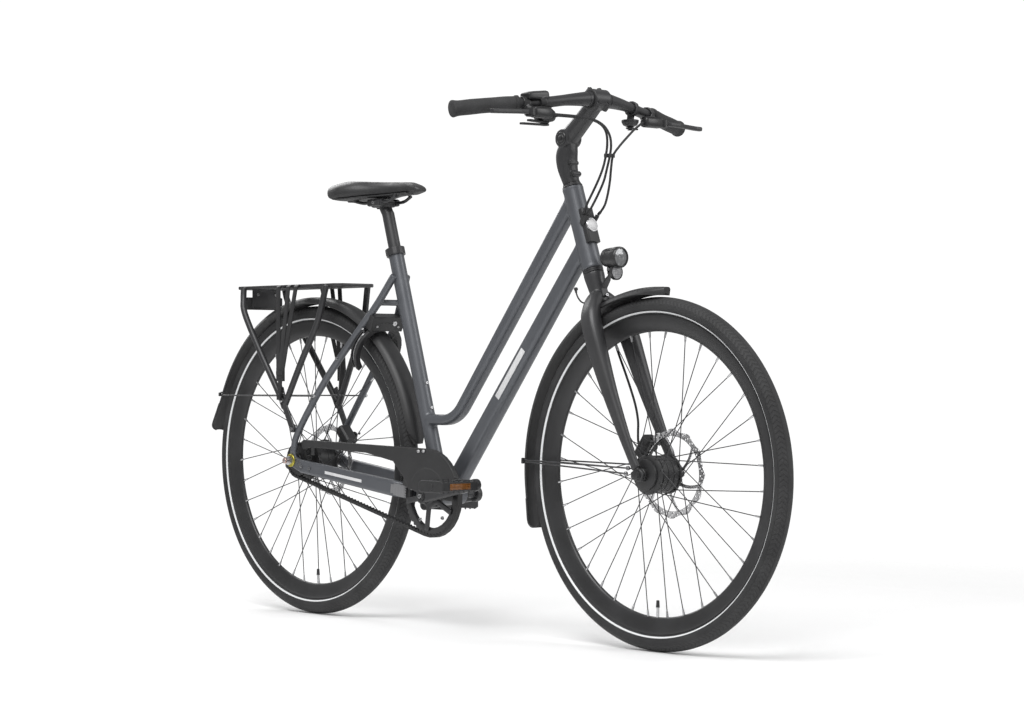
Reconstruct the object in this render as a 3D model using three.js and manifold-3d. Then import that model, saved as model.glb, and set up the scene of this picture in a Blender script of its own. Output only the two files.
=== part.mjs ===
// Step-through city bicycle with belt drive, geared rear hub, hub dynamo and disc brakes.
// Millimetres: X points forward, Y to the rider's left, Z up from the ground.
import * as THREE from 'three';
import { mergeVertices } from 'three/addons/utils/BufferGeometryUtils.js';
import Module from 'manifold-3d';

const wasm = await Module();
wasm.setup();

// Fits and cuts
const fitGap = 0.3;
const runGap = 0.6;
const overrun = 3;

// Wheels
const wheelBase = 1093;
const rimRadius = 316;
const tyreHeight = 36;
const tyreRadius = rimRadius + tyreHeight;
const tyreWidth = 42;
const rimDepth = 33;
const rimWidth = 25;
const rimKeelWidth = 8;
const rimWell = 7;
const rimShoulderShare = 0.55;
const rimShoulderWidthShare = 0.78;
const tyreShares = [[0.36, 1], [0.78, 0.84], [1, 0.26]];
const spokeCount = 36;
const spokeRadius = 1.2;
const spokeSkewDeg = 50;
const spokeFootOffset = 2.4;
const spokeRowHalf = 2;
const rearSpokePhaseDeg = 1.6;
const frontSpokePhaseDeg = 5;
const wheelSteps = 36;
const hubSteps = 16;
const axleRadius = 5;

// Front hub with its dynamo
const frontHubWidth = 100;
const frontFlangeRadius = 40;
const frontFlangePlace = 27;
const frontFlangeWidth = 4;
const frontDrumRadius = 37.5;
const frontCoverRadius = 31;
const frontCoverPlace = 37;
const frontNeckRadius = 13;
const frontRotorPlace = 41;
const frontWasherRadius = 11;
const frontWasherThick = 1.5;
const frontNutLength = 7;
const frontNutRadius = 10;
const frontAxleHalf = 66;

// Rear hub with its gears
const rearHubWidth = 135;
const rearFlangeRadius = 46;
const rearFlangePlace = 26;
const rearFlangeWidth = 4;
const rearDrumRadius = 40;
const rearCoverRadius = 30;
const rearCoverPlace = 36;
const rearNeckRadius = 14;
const rearRotorPlace = 42;
const rearAxleHalf = 92;
const rearNutLength = 9;
const rearNutRadius = 10;
const rearWasherRadius = 14;
const rearWasherThick = 3;

// Brake rotors
const frontRotorRadius = 90;
const rearRotorRadius = 82;
const rotorThick = 2;
const rotorTrack = 15;
const rotorCarrierRadius = 23;
const rotorBoreRadius = 16;
const rotorArmCount = 6;
const rotorSweepDeg = 32;
const rotorArmStations = [[0, 0, 14], [0.4, 0.55, 6], [1, 1, 6]];
const rotorSteps = 32;

// Steering head
const headAngleDeg = 70.75;
const forkOffset = 39.2;
const headBottomAlong = 449;
const headLength = 179;
const headRadius = 21.5;
const headBoreRadius = 17;
const bearingRadius = 19.6;
const bearingHeight = 7;
const steererRadius = 14.3;
const headCoverHeight = 7;
const headCoverRadius = 19;

// Frame tubes
const bottomX = 465;
const bottomHeight = 288;
const shellRadius = 21;
const shellHalf = 35;
const shellBoreRadius = 17.6;
const seatFootX = 443;
const seatTopX = 281;
const seatTopHeight = 826;
const seatTubeRadius = 17;
const seatBoreRadius = 14.5;
const seatBoreDepth = 330;
const downTubeAlong = 503;
const downLowWidth = 36;
const downLowDepth = 42;
const downHighWidth = 31;
const downHighDepth = 36;
const tubeChamferShare = 0.34;
const upperTubeAlong = 605;
const upperWidth = 31;
const upperDepths = [33, 30, 29, 28, 26, 24, 23];
const upperHeelHeight = 450;
const upperHeelX = 488;
const upperHeelRadius = 78;
const heelSteps = 4;

// Rear triangle
const dropoutPlace = 68;
const dropoutThick = 7;
const dropoutRadius = 15;
const stayRearX = 32;
const stayRearHeight = 340;
const stayRearPlace = 68;
const stayMidX = 335;
const stayMidHeight = 300;
const stayMidPlace = 49;
const stayJogX = 378;
const stayJogHeight = 294;
const stayJogPlace = 29;
const stayRearDepth = 30;
const stayMidDepth = 36;
const stayRearWidth = 13;
const stayMidWidth = 19;
const seatStayRadius = 8.5;
const seatStayTipRadius = 7.5;
const staySides = 8;
const seatStayPlaces = [[300, 18, 766], [258, 34, 700], [215, 49, 645], [111, 64, 530], [20, 68, 416], [4, 68, 372]];
const bridgeRadius = 7;
const bridgeX = 262;
const bridgeHeight = 707;
const lowBridgeX = 398;
const lowBridgeHeight = 296;
const rackBossX = 14;
const rackBossHeight = 424;
const rackBossRadius = 6;
const rackFootPlate = 76.2;

// Fork
const crownAlong = 394;
const neckLowAlong = 412;
const neckLowRadius = 16.5;
const neckTopRadius = 20.5;
const bladeShares = [[1, 0, 0], [0.975, 0.42, 0.02], [0.93, 0.72, 0.1], [0.84, 0.86, 0.16], [0.66, 0.93, 0.24],
  [0.4, 0.97, 0.44], [0.13, 1, 0.8], [0.035, 1, 0.96]];
const bladeDepthShares = [1, 1, 0.98, 0.9, 0.8, 0.68, 0.5, 0.46];
const bladeWidthShares = [0.9, 0.8, 0.78, 0.74, 0.68, 0.6, 0.48, 0.4];
const bladePlace = 54.5;
const bladeDepth = 34;
const bladeWidth = 30;
const bladeSides = 8;
const forkDropoutRadius = 13;
const forkDropoutThick = 8;
const steererReach = 64;
const neckTopAlong = 440.5;
const forkTabInner = 50.5;

// Stem
const stemFootGap = 1;
const stemClampLowRadius = 16.4;
const stemClampRadius = 19.5;
const stemPinRadius = 5;
const stemClampHeight = 52;
const stemPivotForward = 21.5;
const stemPivotReach = 92;
const knuckleRadius = 17;
const tongueHalf = 11;
const earThick = 9;
const stemReach = 84;
const stemRise = 74;
const armDepth = 26;
const armWidth = 36;
const clampWall = 7;
const clampHalf = 24;

// Handlebar: share of the half width, drop below and distance behind the clamp
const barHalf = 314;
const barSweep = 78;
const barDrop = 33;
const barCentreRadius = 15.9;
const barGripRadius = 11.1;
const barShares = [[0, 0, 0], [0.085, 0, 0.01], [0.25, 0.07, 0.165], [0.38, 0.17, 0.35], [0.5, 0.3, 0.49],
  [0.62, 0.45, 0.58], [0.8, 0.76, 0.735], [1, 1, 1]];
const barFatEndShare = 0.12;
const barThinStartShare = 0.36;
const barSides = 10;
const barShareStep = 0.01;
const barBoreGap = 0.8;
const barRingGap = 0.7;
const gripGap = 0.4;
const gripCollarLength = 6;
const gripStartShare = 0.62;
const gripRadius = 15.5;
const gripCollarRadius = 17.5;
const gripCapThick = 4;

// Brake levers
const perchGap = 20.68;
const perchPlace = barHalf * gripStartShare - perchGap;
const perchWidth = 14;
const perchWall = 5;
const perchReach = 30;
const perchDrop = 20;
const perchPostRadius = 8;
const reservoirRadius = 10.5;
const reservoirLength = 43;
const reservoirGap = 40.6;
const reservoirInner = perchPlace - reservoirGap;
const leverPivotOut = 14;
const leverPivotRadius = 3;
const leverRootRadius = 8;
const leverLugWall = 4;
const leverThick = 9;
const leverWidth = 13;
const leverReach = 108;
const leverTipBack = 4;
const leverTipDrop = 5;
const leverBow = 10;
const leverBowShares = [[0, 0, 0.9], [0.15, 0.7, 0.95], [0.35, 1, 0.9], [0.6, 0.6, 0.85], [0.85, 0.25, 0.9], [1, 0.4, 0.9]];

// Gear shifter
const shifterGap = 34;
const shifterPlace = perchPlace - shifterGap;
const shifterWidth = 15;
const shifterPodRadius = 15;
const shifterPodHeight = 20;
const shifterPodBack = 4;
const shifterPodInward = 16;
const shifterPodDrop = 25;
const nozzleRadius = 4;
const displayLength = 44;
const displayWidth = 24;
const displayHeight = 11;
const displayRise = 19.5;
const displayInward = 15;
const shiftLeverLength = 54;
const shiftLeverWidth = 13;
const shiftLeverThick = 4;
const shiftLeverGap = 1;
const shiftLeverDegs = [14, -8];
const shiftPinRadius = 3;
const pinCapThick = 2;

// Bell
const bellGap = 62;
const bellPlace = perchPlace - bellGap;
const bellRadius = 18;
const bellHeight = 15;
const bellDrop = 22;
const bellBack = 5;
const bellClampWidth = 9;
const bellShares = [[1, 0.35], [0.8, 0.78], [0.4, 1]];
const bellPinRadius = 3;
const bellLeverLength = 30;
const bellLeverThick = 3;
const bellLeverWidth = 9;
const bellLeverDeg = -160;

// Head plate and cable ports
const plateLowAlong = 500;
const plateHighAlong = 573;
const plateHalf = 16;
const plateProud = 6;
const plateInner = 13;
const plateBevelShare = 0.4;
const badgeAlong = 536;
const badgeRadius = 15;
const badgeThick = 2;
const portRadius = 4.6;
const twinPortWidth = 15;
const twinPortDepth = 13;
const portLength = 19.8;
const portAlong = 541.5;
const portForward = 18;
const portLeanDeg = 45;
const leftPortPlace = 18.5;
const rightPortPlace = 15.8;

// Cords that the machine holds
const hoseRadius = 2.5;
const lampLeadRadius = 1.7;
const cordSides = 8;
const shiftCordRoute = [[905.1, -107.6, 1069.6], [914, -91, 1069], [929, -66, 1067], [941, -40, 1064], [950, -18, 1054],
  [954, -7, 1038], [955, -5, 1015], [951, -5, 992], [944, -6, 968], [934, -9, 944], [922, -13, 920],
  [910, -16.5, 898], [904.5, -18, 885], [900.1, -19, 875.8]];
const rearHoseRoute = [[917, -131.6, 1070.8], [931, -108, 1069], [945, -80, 1067], [956, -50, 1063], [962, -24, 1052],
  [963, -7, 1034], [961, 0, 1013], [957, 0.6, 992], [950, -0.8, 966], [942, -2, 941], [930, -6, 915],
  [918, -10, 893], [911, -12, 881.5], [907.4, -12.4, 875.6]];
const frontHoseRoute = [[922.2, 131.4, 1068.8], [938, 112, 1066], [952, 90, 1059], [962, 64, 1047], [966, 40, 1030],
  [963, 21, 1011], [957.6, 9, 992], [955.6, 5.6, 968], [952, 6, 943], [944, 8, 917],
  [931, 13, 896], [917, 17, 884], [905.3, 18.4, 875.8]];
const caliperHoseRoute = [[920, 30, 676], [915, 41, 650], [921, 47, 622], [936, 47, 590], [953, 47, 556],
  [970, 47, 520], [984, 47, 486], [992, 46, 456], [994, 44, 434], [994.3, 44, 417], [997.4, 44, 406.2], [1002.9, 44, 402.2]];
const lampLeadRoute = [[859.9, -2, 724.6], [863, -2.5, 714], [870, -3, 704], [880, -4, 697], [891, -4, 695],
  [902, -3.5, 698], [912.2, -2.9, 702.2]];

// Mudguards
const guardGap = 20;
const guardRadius = tyreRadius + guardGap;
const guardHalf = 27;
const guardCrown = 13;
const guardThick = 2;
const guardShares = [[-1, -1], [-0.78, -0.3], [-0.36, 0], [0.36, 0], [0.78, -0.3], [1, -1]];
const rearGuardFrontDeg = 7;
const rearGuardBackDeg = 157;
const frontGuardFrontDeg = 85;
const frontGuardBackDeg = 187;
const rearGuardSteps = 18;
const frontGuardSteps = 13;
const frontFlapLength = 78;
const rearFlapLength = 75;
const flapCrownShare = 0.3;
const flapFlareShare = 0.1;
const wireRadius = 1.9;
const wireSides = 6;
const frontWireDeg = 178;
const rearWireDeg = 156;
const wirePitch = 10;
const wireClipDepth = 6;
const frontWireEnds = [[1072, 365, 61], [1058, 355, 61]];
const frontWireSpreadDeg = 1.5;
const rearWireEnd = [86, 499, 75.4];
const guardTabRadius = 5;
const guardTabTop = 379;

// Lamp on its bracket
const lampBack = 127;
const lampX = wheelBase - lampBack;
const lampHeight = 787;
const lampRadius = 21.5;
const lampLength = 50;
const lampRim = 3;
const reflectorRadius = 16;
const reflectorThick = 7;
const reflectorAhead = 9;
const reflectorX = lampX + reflectorAhead;
const reflectorHeight = 756;
const lampShares = [[0, 0], [0.55, 0], [0.88, 0.2], [0.88, 0.9], [1, 0.92], [1, 1], [0, 1]];
const lampEarThick = 4;
const lampEarRadius = 7;
const lampPinRadius = 2.5;
const bracketRoute = [[-146.6, 707.3], [-152.6, 724.5], [-143, 740], [-136, 750]];
const bracketWidth = 18;
const bracketThick = 3;
const lampPivotBack = 2;
const lampPivotX = lampX - lampPivotBack;
const lampPivotHeight = 762;
const lampPivotRadius = 5;
const lampEarHalf = 4;

// Brake calipers
const caliperLength = 44;
const caliperHeight = 26;
const caliperWidth = 32;
const caliperSlot = 5;
const frontCaliperReach = 89;
const frontCaliperDeg = 125;
const rearCaliperReach = 81;
const rearCaliperDeg = 43;
const rearCaliperEar = [-4, 66, 42];
const frontCaliperEar = [30, 54.5, 78];
const caliperEarRadius = 7;
const caliperRotorGap = 2.5;

// Belt drive
const beltPitch = 11;
const ringTeeth = 50;
const sprocketTeeth = 22;
const beltLine = 48;
const beltWidth = 11;
const beltBack = 2.6;
const beltToothHeight = 3.4;
const beltToothRootShare = 0.66;
const pitchLineDepth = 1.2;
const toothClearance = 0.35;
const ringWidth = 10;
const ringRootDepth = 9;
const ringWall = 9;
const spiderArms = 5;
const spiderArmWidth = 13;
const spiderThick = 5;
const sprocketBoreRadius = 14.6;
const carrierRadius = 13.4;
const ringBackSteps = 16;
const cogBackSteps = 10;
const spiderHubRadius = 26;
const spiderReachShare = 0.7;

// Cranks and pedals
const crankLength = 170;
const crankAngleDeg = 10;
const crankThick = 13;
const crankBossRadius = 17;
const crankTipRadius = 13;
const crankPlace = 75;
const crankWaistShare = 0.86;
const spindleRadius = 9;
const cupLip = 3;
const cupLipRadius = 20;
const pedalPlace = 150;
const pedalWidth = 98;
const pedalLength = 76;
const pedalHeight = 25;
const pedalBarDepth = 15;
const pedalBarShare = 0.76;
const pedalBevelShare = 0.5;
const pedalPlateThick = 9;
const pedalTubeRadius = 9.5;
const pedalAxleRadius = 5.5;

// Belt guard
const guardPlateFace = 66;
const guardPlateThick = 2.5;
const guardLipWidth = 12;
const guardRingRadius = 101;
const guardArchRadius = 60;
const guardFrontDeg = 24;
const guardRearDeg = 196;
const guardTailX = 34;
const guardTailHeight = 389;
const guardTailRadius = 11;
const guardArcSteps = 12;
const guardJoinDeg = 152;
const guardEdge = [[352, 357], [260, 370], [76, 372], [76, 354], [64, 355.4], [64, 372]];
const guardMountX = 366;
const guardMountHeight = 284;
const guardMountRadius = 4;
const guardMountInner = 46.8;

// Seat post, saddle and clamp
const postRadius = 13.6;
const postBuried = 190;
const postShown = 83;
const saddleRearX = 118;
const saddleLength = 262;
const saddleTop = 980;
const saddleDepth = 40;
const saddleHalf = 80;
const saddleStations = [[0, 0.42, 0.86, 0.3], [0.03, 0.72, 0.95, 0.12], [0.1, 0.96, 1, 0.02], [0.2, 1, 1, 0],
  [0.32, 0.86, 0.95, 0.04], [0.45, 0.6, 0.9, 0.1], [0.58, 0.42, 0.88, 0.14], [0.72, 0.32, 0.86, 0.17],
  [0.85, 0.27, 0.82, 0.2], [0.94, 0.22, 0.66, 0.17], [0.985, 0.14, 0.5, 0.18], [1, 0.07, 0.38, 0.22]];
const saddleSection = [[0, 1], [0.3, 0.985], [0.58, 0.93], [0.82, 0.8], [0.96, 0.58], [1, 0.38], [0.97, 0.18],
  [0.84, 0.02], [0.5, 0]];
const railRadius = 3.5;
const railHalf = 22;
const shellWidthShare = 0.9;
const shellThick = 3;
const railRoute = [[146, 936.6], [164, 935.4], [184, 931.5], [200, 929], [218, 929], [270, 929], [288, 931], [302, 937],
  [310, 941]];
const pinchLength = 42;
const pinchWidth = 58;
const pinchHeight = 13;
const pinchX = 241;
const pinchLevel = 929;
const collarHeight = 16;
const collarWall = 4.5;
const collarLobe = 13;
const quickLeverLength = 42;
const quickLeverThick = 7;
const quickLeverWidth = 11;
const quickLeverBackShare = 0.5;
const clampBoltX = 254;
const clampBoltPlace = 14;
const clampBoltHeight = 816;
const railSteps = 9;
const railSides = 6;

// Rack
const deckRearX = -234;
const deckLength = 384;
const deckHalf = 58;
const deckHeight = 752.5;
const deckBarWidth = 14;
const deckBarDepth = 8;
const deckSlatHalf = 20;
const rackCrossShares = [0.22, 0.5, 0.78];
const rackRearLeg = [[-196, 60, 747], [-192, 64, 722], [-178, 71, 690], [-125, 75, 617], [-42, 78, 510], [-20, 78, 470]];
const rackFrontLeg = [[112, 60, 747], [88, 67, 662], [44, 73, 585], [-6, 78, 493], [-16, 78, 476]];
const rackFoot = [[-26, 78, 500], [-14, 78, 458], [14, 78, 424]];
const rackLegRadius = 5.5;
const rackFootThick = 5;
const rackFootOutline = [[-34, 514], [-22, 520], [-8, 480], [22, 426], [18, 416], [8, 416], [-22, 470]];
const rackFootRadius = 8;
const rackSides = 6;
const lightPlateX = -190;
const lightPlateHeight = 715;
const lightPlateDepth = 28;
const lightPlateThick = 4;
const rearLightWidth = 80;
const rearLightHeight = 34;
const rearLightDepth = 22;
const strapPlaces = [-59, -22, 6];
const strapWidth = 13;
const strapThick = 2.4;
const buckleX = -18;
const buckleHeight = 547;
const buckleHalf = 13;
const buckleLength = 30;
const hookX = -23;
const hookHeight = 496;
const strapSide = 89;
const strapOut = 4;
const strapGatherShare = 0.6;
const buckleThick = 5;

// Ring lock
const lockX = 213.5;
const lockHeight = 604.8;
const lockLeanDeg = 24.8;
const lockRingRadius = 57;
const lockRingHalf = 6.8;
const lockBack = -7;
const lockFront = 13;
const lockBodyFront = 17;
const lockChannelRadius = 5.4;
const shackleRadius = 4.2;
const lockMouthDeg = 40;
const shackleFromDeg = 44;
const shackleToDeg = 136;
const lockSlotHalf = 3.6;
const lockSteps = 24;
const shackleSteps = 7;
const lockBodyHalf = 46;
const lockBodyTop = 84;
const knobRadius = 3;
const knobLength = 17;
const knobBack = 4;

// Kickstand
const standPivotX = 84;
const standPivotHeight = 326;
const standPivotPlace = 90;
const standAxisShares = [-0.063, -0.938, -0.346];
const standLength = 306;
const standRadius = 7.5;
const standRiseDeg = 1;
const standMountInner = 22;
const standMountRadius = 10;
const standHeadHalf = 8;
const standHeadRadius = 12;
const standPinRadius = 5;
const standCapRadius = 8;
const standCapThick = 2.5;
const standFootRadius = 10;
const standFootLength = 16;

// Plain helpers
const vec = (x, y, z) => new THREE.Vector3(x, y, z);
const radians = THREE.MathUtils.degToRad;
const mix = THREE.MathUtils.lerp;
const yAxis = vec(0, 1, 0);
const xAxis = vec(1, 0, 0);
const zAxis = vec(0, 0, 1);

function signedVolume(positions, indices) {
  const [a, b, c] = [vec(0, 0, 0), vec(0, 0, 0), vec(0, 0, 0)];
  let sum = 0;
  for (let i = 0; i < indices.length; i += 3) {
    a.fromArray(positions, indices[i] * 3);
    b.fromArray(positions, indices[i + 1] * 3);
    c.fromArray(positions, indices[i + 2] * 3);
    sum += a.dot(b.cross(c));
  }
  return sum;
}

// A closed body with shared corners and its faces pointing out
function closed(geometry) {
  const bare = new THREE.BufferGeometry();
  bare.setAttribute('position', geometry.getAttribute('position').clone());
  if (geometry.index) bare.setIndex(geometry.index.clone());
  const merged = mergeVertices(bare);
  const kept = [];
  const corners = merged.index.array;
  for (let i = 0; i < corners.length; i += 3) {
    const [a, b, c] = [corners[i], corners[i + 1], corners[i + 2]];
    if (a !== b && b !== c && c !== a) kept.push(a, b, c);
  }
  if (signedVolume(merged.attributes.position.array, kept) < 0) kept.reverse();
  merged.setIndex(kept);
  return merged;
}

function solid(geometry) {
  const body = closed(geometry);
  return new wasm.Manifold(new wasm.Mesh({
    numProp: 3,
    vertProperties: new Float32Array(body.attributes.position.array),
    triVerts: new Uint32Array(body.index.array),
  }));
}

function geometryOf(body) {
  const mesh = body.getMesh();
  const geometry = new THREE.BufferGeometry();
  geometry.setAttribute('position', new THREE.BufferAttribute(new Float32Array(mesh.vertProperties), 3));
  geometry.setIndex([...mesh.triVerts]);
  return geometry;
}

const join = (...pieces) => pieces.map((p) => (p.isBufferGeometry ? solid(p) : p)).reduce((a, b) => a.add(b));

function cut(body, ...cutters) {
  const start = body.isBufferGeometry ? solid(body) : body;
  return cutters.reduce((left, c) => left.subtract(c.isBufferGeometry ? solid(c) : c), start);
}

const largest = (body) => body.decompose().reduce((a, b) => (b.volume() > a.volume() ? b : a));

const circle = (radius, sides, phase = 0) => Array.from({ length: sides }, (_, i) => {
  const turn = (2 * Math.PI * i) / sides + phase;
  return new THREE.Vector2(radius * Math.cos(turn), radius * Math.sin(turn));
});

const ellipse = (halfWidth, halfHeight, sides) => circle(1, sides, Math.PI / sides)
  .map((p) => new THREE.Vector2(p.x * halfWidth, p.y * halfHeight));

// Box section with its four long edges bevelled
function bevelled(width, depth, share = tubeChamferShare) {
  const [w, d] = [width / 2, depth / 2];
  const c = Math.min(w, d) * share;
  return [[w, c - d], [w, d - c], [w - c, d], [c - w, d], [-w, d - c], [-w, c - d], [c - w, -d], [w - c, -d]]
    .map(([x, y]) => new THREE.Vector2(x, y));
}

const slabSection = (width, depth) => [[1, -1], [1, 1], [-1, 1], [-1, -1]]
  .map(([x, y]) => new THREE.Vector2((x * width) / 2, (y * depth) / 2));

// Profile [radius, height] turned about Y
function turned(profile, steps) {
  const points = [...profile, profile[0]].map(([r, h]) => new THREE.Vector2(r, h));
  return new THREE.LatheGeometry(points, steps);
}

// The same profile turned about Z, and about X
const turnedZ = (profile, steps) => turned(profile, steps).rotateX(Math.PI / 2);
const turnedX = (profile, steps) => turned(profile, steps).rotateZ(-Math.PI / 2);

// Round bar between two points, tapered where the radii differ
function rod(from, to, radius, sides, endRadius = radius) {
  const along = to.clone().sub(from).normalize();
  const side = Math.abs(along.y) > Math.SQRT1_2 ? xAxis : yAxis;
  return loft([from, to], (i) => circle(i ? endRadius : radius, sides, Math.PI / sides), side);
}

const crossRod = (x, z, y0, y1, radius, sides) => rod(vec(x, y0, z), vec(x, y1, z), radius, sides);

const box = (size, at) => new THREE.BoxGeometry(size.x, size.y, size.z).translate(at.x, at.y, at.z);

// Outline in X and Z, given its thickness along Y between two places
function plate(outline, yLow, yHigh, holes = []) {
  const shape = new THREE.Shape(outline);
  holes.forEach((hole) => shape.holes.push(new THREE.Path(hole)));
  return new THREE.ExtrudeGeometry(shape, { depth: yHigh - yLow, bevelEnabled: false, curveSegments: 1 })
    .rotateX(Math.PI / 2).translate(0, yHigh, 0);
}

// Skin laid over a row of sections; each outline lies in the plane square to the path
function loft(places, outlineAt, side = yAxis) {
  const positions = [];
  const outlines = places.map((place, i) => (typeof outlineAt === 'function' ? outlineAt(i) : outlineAt));
  const middle = outlines[Math.floor(places.length / 2)];
  const rows = THREE.ShapeUtils.isClockWise(middle) ? outlines.map((o) => [...o].reverse()) : outlines;
  rows.forEach((outline, i) => {
    const place = places[i];
    const into = place.clone().sub(places[Math.max(i - 1, 0)]).normalize();
    const out = places[Math.min(i + 1, places.length - 1)].clone().sub(place).normalize();
    const along = into.add(out).normalize();
    const across = side.clone().addScaledVector(along, -side.dot(along)).normalize();
    const up = along.clone().cross(across);
    outline.forEach((p) => {
      const corner = place.clone().addScaledVector(across, p.x).addScaledVector(up, p.y);
      positions.push(corner.x, corner.y, corner.z);
    });
  });
  const count = rows[0].length;
  const indices = [];
  for (let i = 0; i + 1 < rows.length; i += 1) {
    for (let k = 0; k < count; k += 1) {
      const [a, b] = [i * count + k, i * count + ((k + 1) % count)];
      indices.push(a, b, b + count, a, b + count, a + count);
    }
  }
  const last = (rows.length - 1) * count;
  const lid = (outline) => THREE.ShapeUtils.triangulateShape(outline, []);
  lid(rows[0]).forEach(([a, b, c]) => indices.push(a, c, b));
  lid(rows[rows.length - 1]).forEach(([a, b, c]) => indices.push(last + a, last + b, last + c));
  const geometry = new THREE.BufferGeometry();
  geometry.setAttribute('position', new THREE.Float32BufferAttribute(positions, 3));
  geometry.setIndex(indices);
  return geometry;
}

// Round cord or bar along a smooth curve through its points
function cordAlong(points, radius, sides, steps) {
  const curve = new THREE.CatmullRomCurve3(points.map(([x, y, z]) => vec(x, y, z)));
  const section = new THREE.Shape(circle(radius, sides));
  return new THREE.ExtrudeGeometry(section, { steps, bevelEnabled: false, extrudePath: curve });
}

const mirrored = (geometry) => closed(geometry.clone().scale(1, -1, 1));
const bothSides = (geometry) => [geometry, mirrored(geometry)];

// Finishes
const finish = (color, roughness, metalness) => ({ color, roughness, metalness });
const slatePaint = finish(0x484b50, 0.42, 0.5);
const blackPaint = finish(0x1d1e20, 0.5, 0.3);
const blackPlastic = finish(0x17181a, 0.62, 0);
const rubber = finish(0x141416, 0.85, 0);
const leather = finish(0x2a2b2d, 0.7, 0);
const bareSteel = finish(0xb4b7ba, 0.3, 1);
const castAlloy = finish(0x9a9da0, 0.4, 0.9);
const darkSteel = finish(0x3a3c3f, 0.4, 0.8);
const redLens = finish(0x8c1515, 0.25, 0);
const clearLens = finish(0xd5dadd, 0.15, 0);

const bicycle = new THREE.Group();

function addPiece(group, name, shape, look) {
  const geometry = shape.isBufferGeometry ? closed(shape) : geometryOf(shape);
  geometry.computeVertexNormals();
  const mesh = new THREE.Mesh(geometry, new THREE.MeshStandardMaterial(look));
  mesh.name = name;
  group.add(mesh);
  return mesh;
}

// Places worked out from the driving sizes
const headAngle = radians(headAngleDeg);
const headLean = headAngle - Math.PI / 2;
const headUp = vec(-Math.cos(headAngle), 0, Math.sin(headAngle));
const headForward = vec(Math.sin(headAngle), 0, Math.cos(headAngle));
const axleHeight = tyreRadius;
const steerFoot = vec(wheelBase, 0, axleHeight).addScaledVector(headForward, -forkOffset);
const onHead = (forward, side, along) => steerFoot.clone()
  .addScaledVector(headForward, forward).addScaledVector(yAxis, side).addScaledVector(headUp, along);
const bottom = vec(bottomX, 0, bottomHeight);
const seatFoot = vec(seatFootX, 0, bottomHeight);
const seatTop = vec(seatTopX, 0, seatTopHeight);
const seatUp = seatTop.clone().sub(seatFoot).normalize();
const headMatrix = new THREE.Matrix4().makeRotationY(headLean).setPosition(steerFoot);
const toHead = (geometry) => geometry.applyMatrix4(headMatrix);
const headTopAlong = headBottomAlong + headLength;
const stemFootAlong = headTopAlong + headCoverHeight + stemFootGap;
const steererTop = stemFootAlong + steererReach;
const stemPivotAlong = stemFootAlong + stemPivotReach;

const steering = new THREE.Group();
steering.position.copy(steerFoot);
steering.rotation.y = headLean;
bicycle.add(steering);

// Group inside the steering group that is level again, about the front axle
const frontLevel = new THREE.Group();
frontLevel.position.set(forkOffset, 0, 0);
frontLevel.rotation.y = -headLean;
steering.add(frontLevel);

// Group inside the steering group in which the machine's own places hold
const steered = new THREE.Group();
steered.applyMatrix4(headMatrix.clone().invert());
steering.add(steered);

const rearWheel = new THREE.Group();
rearWheel.position.set(0, 0, axleHeight);
bicycle.add(rearWheel);

// Wheels
function tyreShape() {
  const height = tyreRadius - rimRadius - fitGap;
  const half = tyreWidth / 2;
  const side = tyreShares.map(([rise, width]) => [rimRadius + fitGap + rise * height, width * half]);
  const bead = [rimRadius + fitGap, rimWidth / 2];
  const right = [bead, ...side];
  const left = right.map(([r, y]) => [r, -y]).reverse();
  return turned([...right, ...left, [rimRadius - rimWell + fitGap, 0]], wheelSteps);
}

function rimShape() {
  const half = rimWidth / 2;
  const keel = rimKeelWidth / 2;
  const shoulder = [rimRadius - rimDepth * rimShoulderShare, half * rimShoulderWidthShare];
  const right = [[rimRadius, half], shoulder, [rimRadius - rimDepth, keel]];
  const left = right.map(([r, y]) => [r, -y]).reverse();
  return turned([...right, ...left, [rimRadius - rimWell, 0]], wheelSteps);
}

// Spokes leave each flange in turn forwards and backwards and meet the rim in one even row
function spokes(flangeRadius, flangePlace, phaseDeg) {
  const rimEnd = (rimRadius - rimDepth) * Math.cos(Math.PI / wheelSteps) - fitGap;
  const step = (2 * Math.PI) / spokeCount;
  return Array.from({ length: spokeCount }, (_, i) => {
    const side = i % 2 ? 1 : -1;
    const lead = i % 4 < 2 ? 1 : -1;
    const rimTurn = i * step + radians(phaseDeg);
    const hubTurn = rimTurn + lead * radians(spokeSkewDeg);
    const footPlace = side * (flangePlace + lead * spokeFootOffset);
    const foot = vec(flangeRadius * Math.cos(hubTurn), footPlace, flangeRadius * Math.sin(hubTurn));
    const head = vec(rimEnd * Math.cos(rimTurn), side * spokeRowHalf, rimEnd * Math.sin(rimTurn));
    return rod(foot, head, spokeRadius, 3);
  });
}

function frontHubShape() {
  const half = frontHubWidth / 2;
  const bore = axleRadius + runGap;
  const flangeIn = frontFlangePlace - frontFlangeWidth / 2;
  const flangeOut = frontFlangePlace + frontFlangeWidth / 2;
  const neckEnd = half - fitGap - overrun;
  const rotorSeat = frontRotorPlace - rotorThick / 2 - fitGap;
  const profile = [[bore, -neckEnd], [frontNeckRadius, -neckEnd],
    [frontCoverRadius, -frontCoverPlace], [frontFlangeRadius, -flangeOut],
    [frontFlangeRadius, -flangeIn], [frontDrumRadius, -flangeIn], [frontDrumRadius, flangeIn],
    [frontFlangeRadius, flangeIn], [frontFlangeRadius, flangeOut], [frontCoverRadius, flangeOut],
    [rotorCarrierRadius, rotorSeat], [rotorBoreRadius - fitGap, rotorSeat],
    [rotorBoreRadius - fitGap, neckEnd], [bore, neckEnd]];
  return join(turned(profile, hubSteps), ...spokes(frontFlangeRadius - frontFlangeWidth / 2, frontFlangePlace,
    frontSpokePhaseDeg));
}

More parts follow.
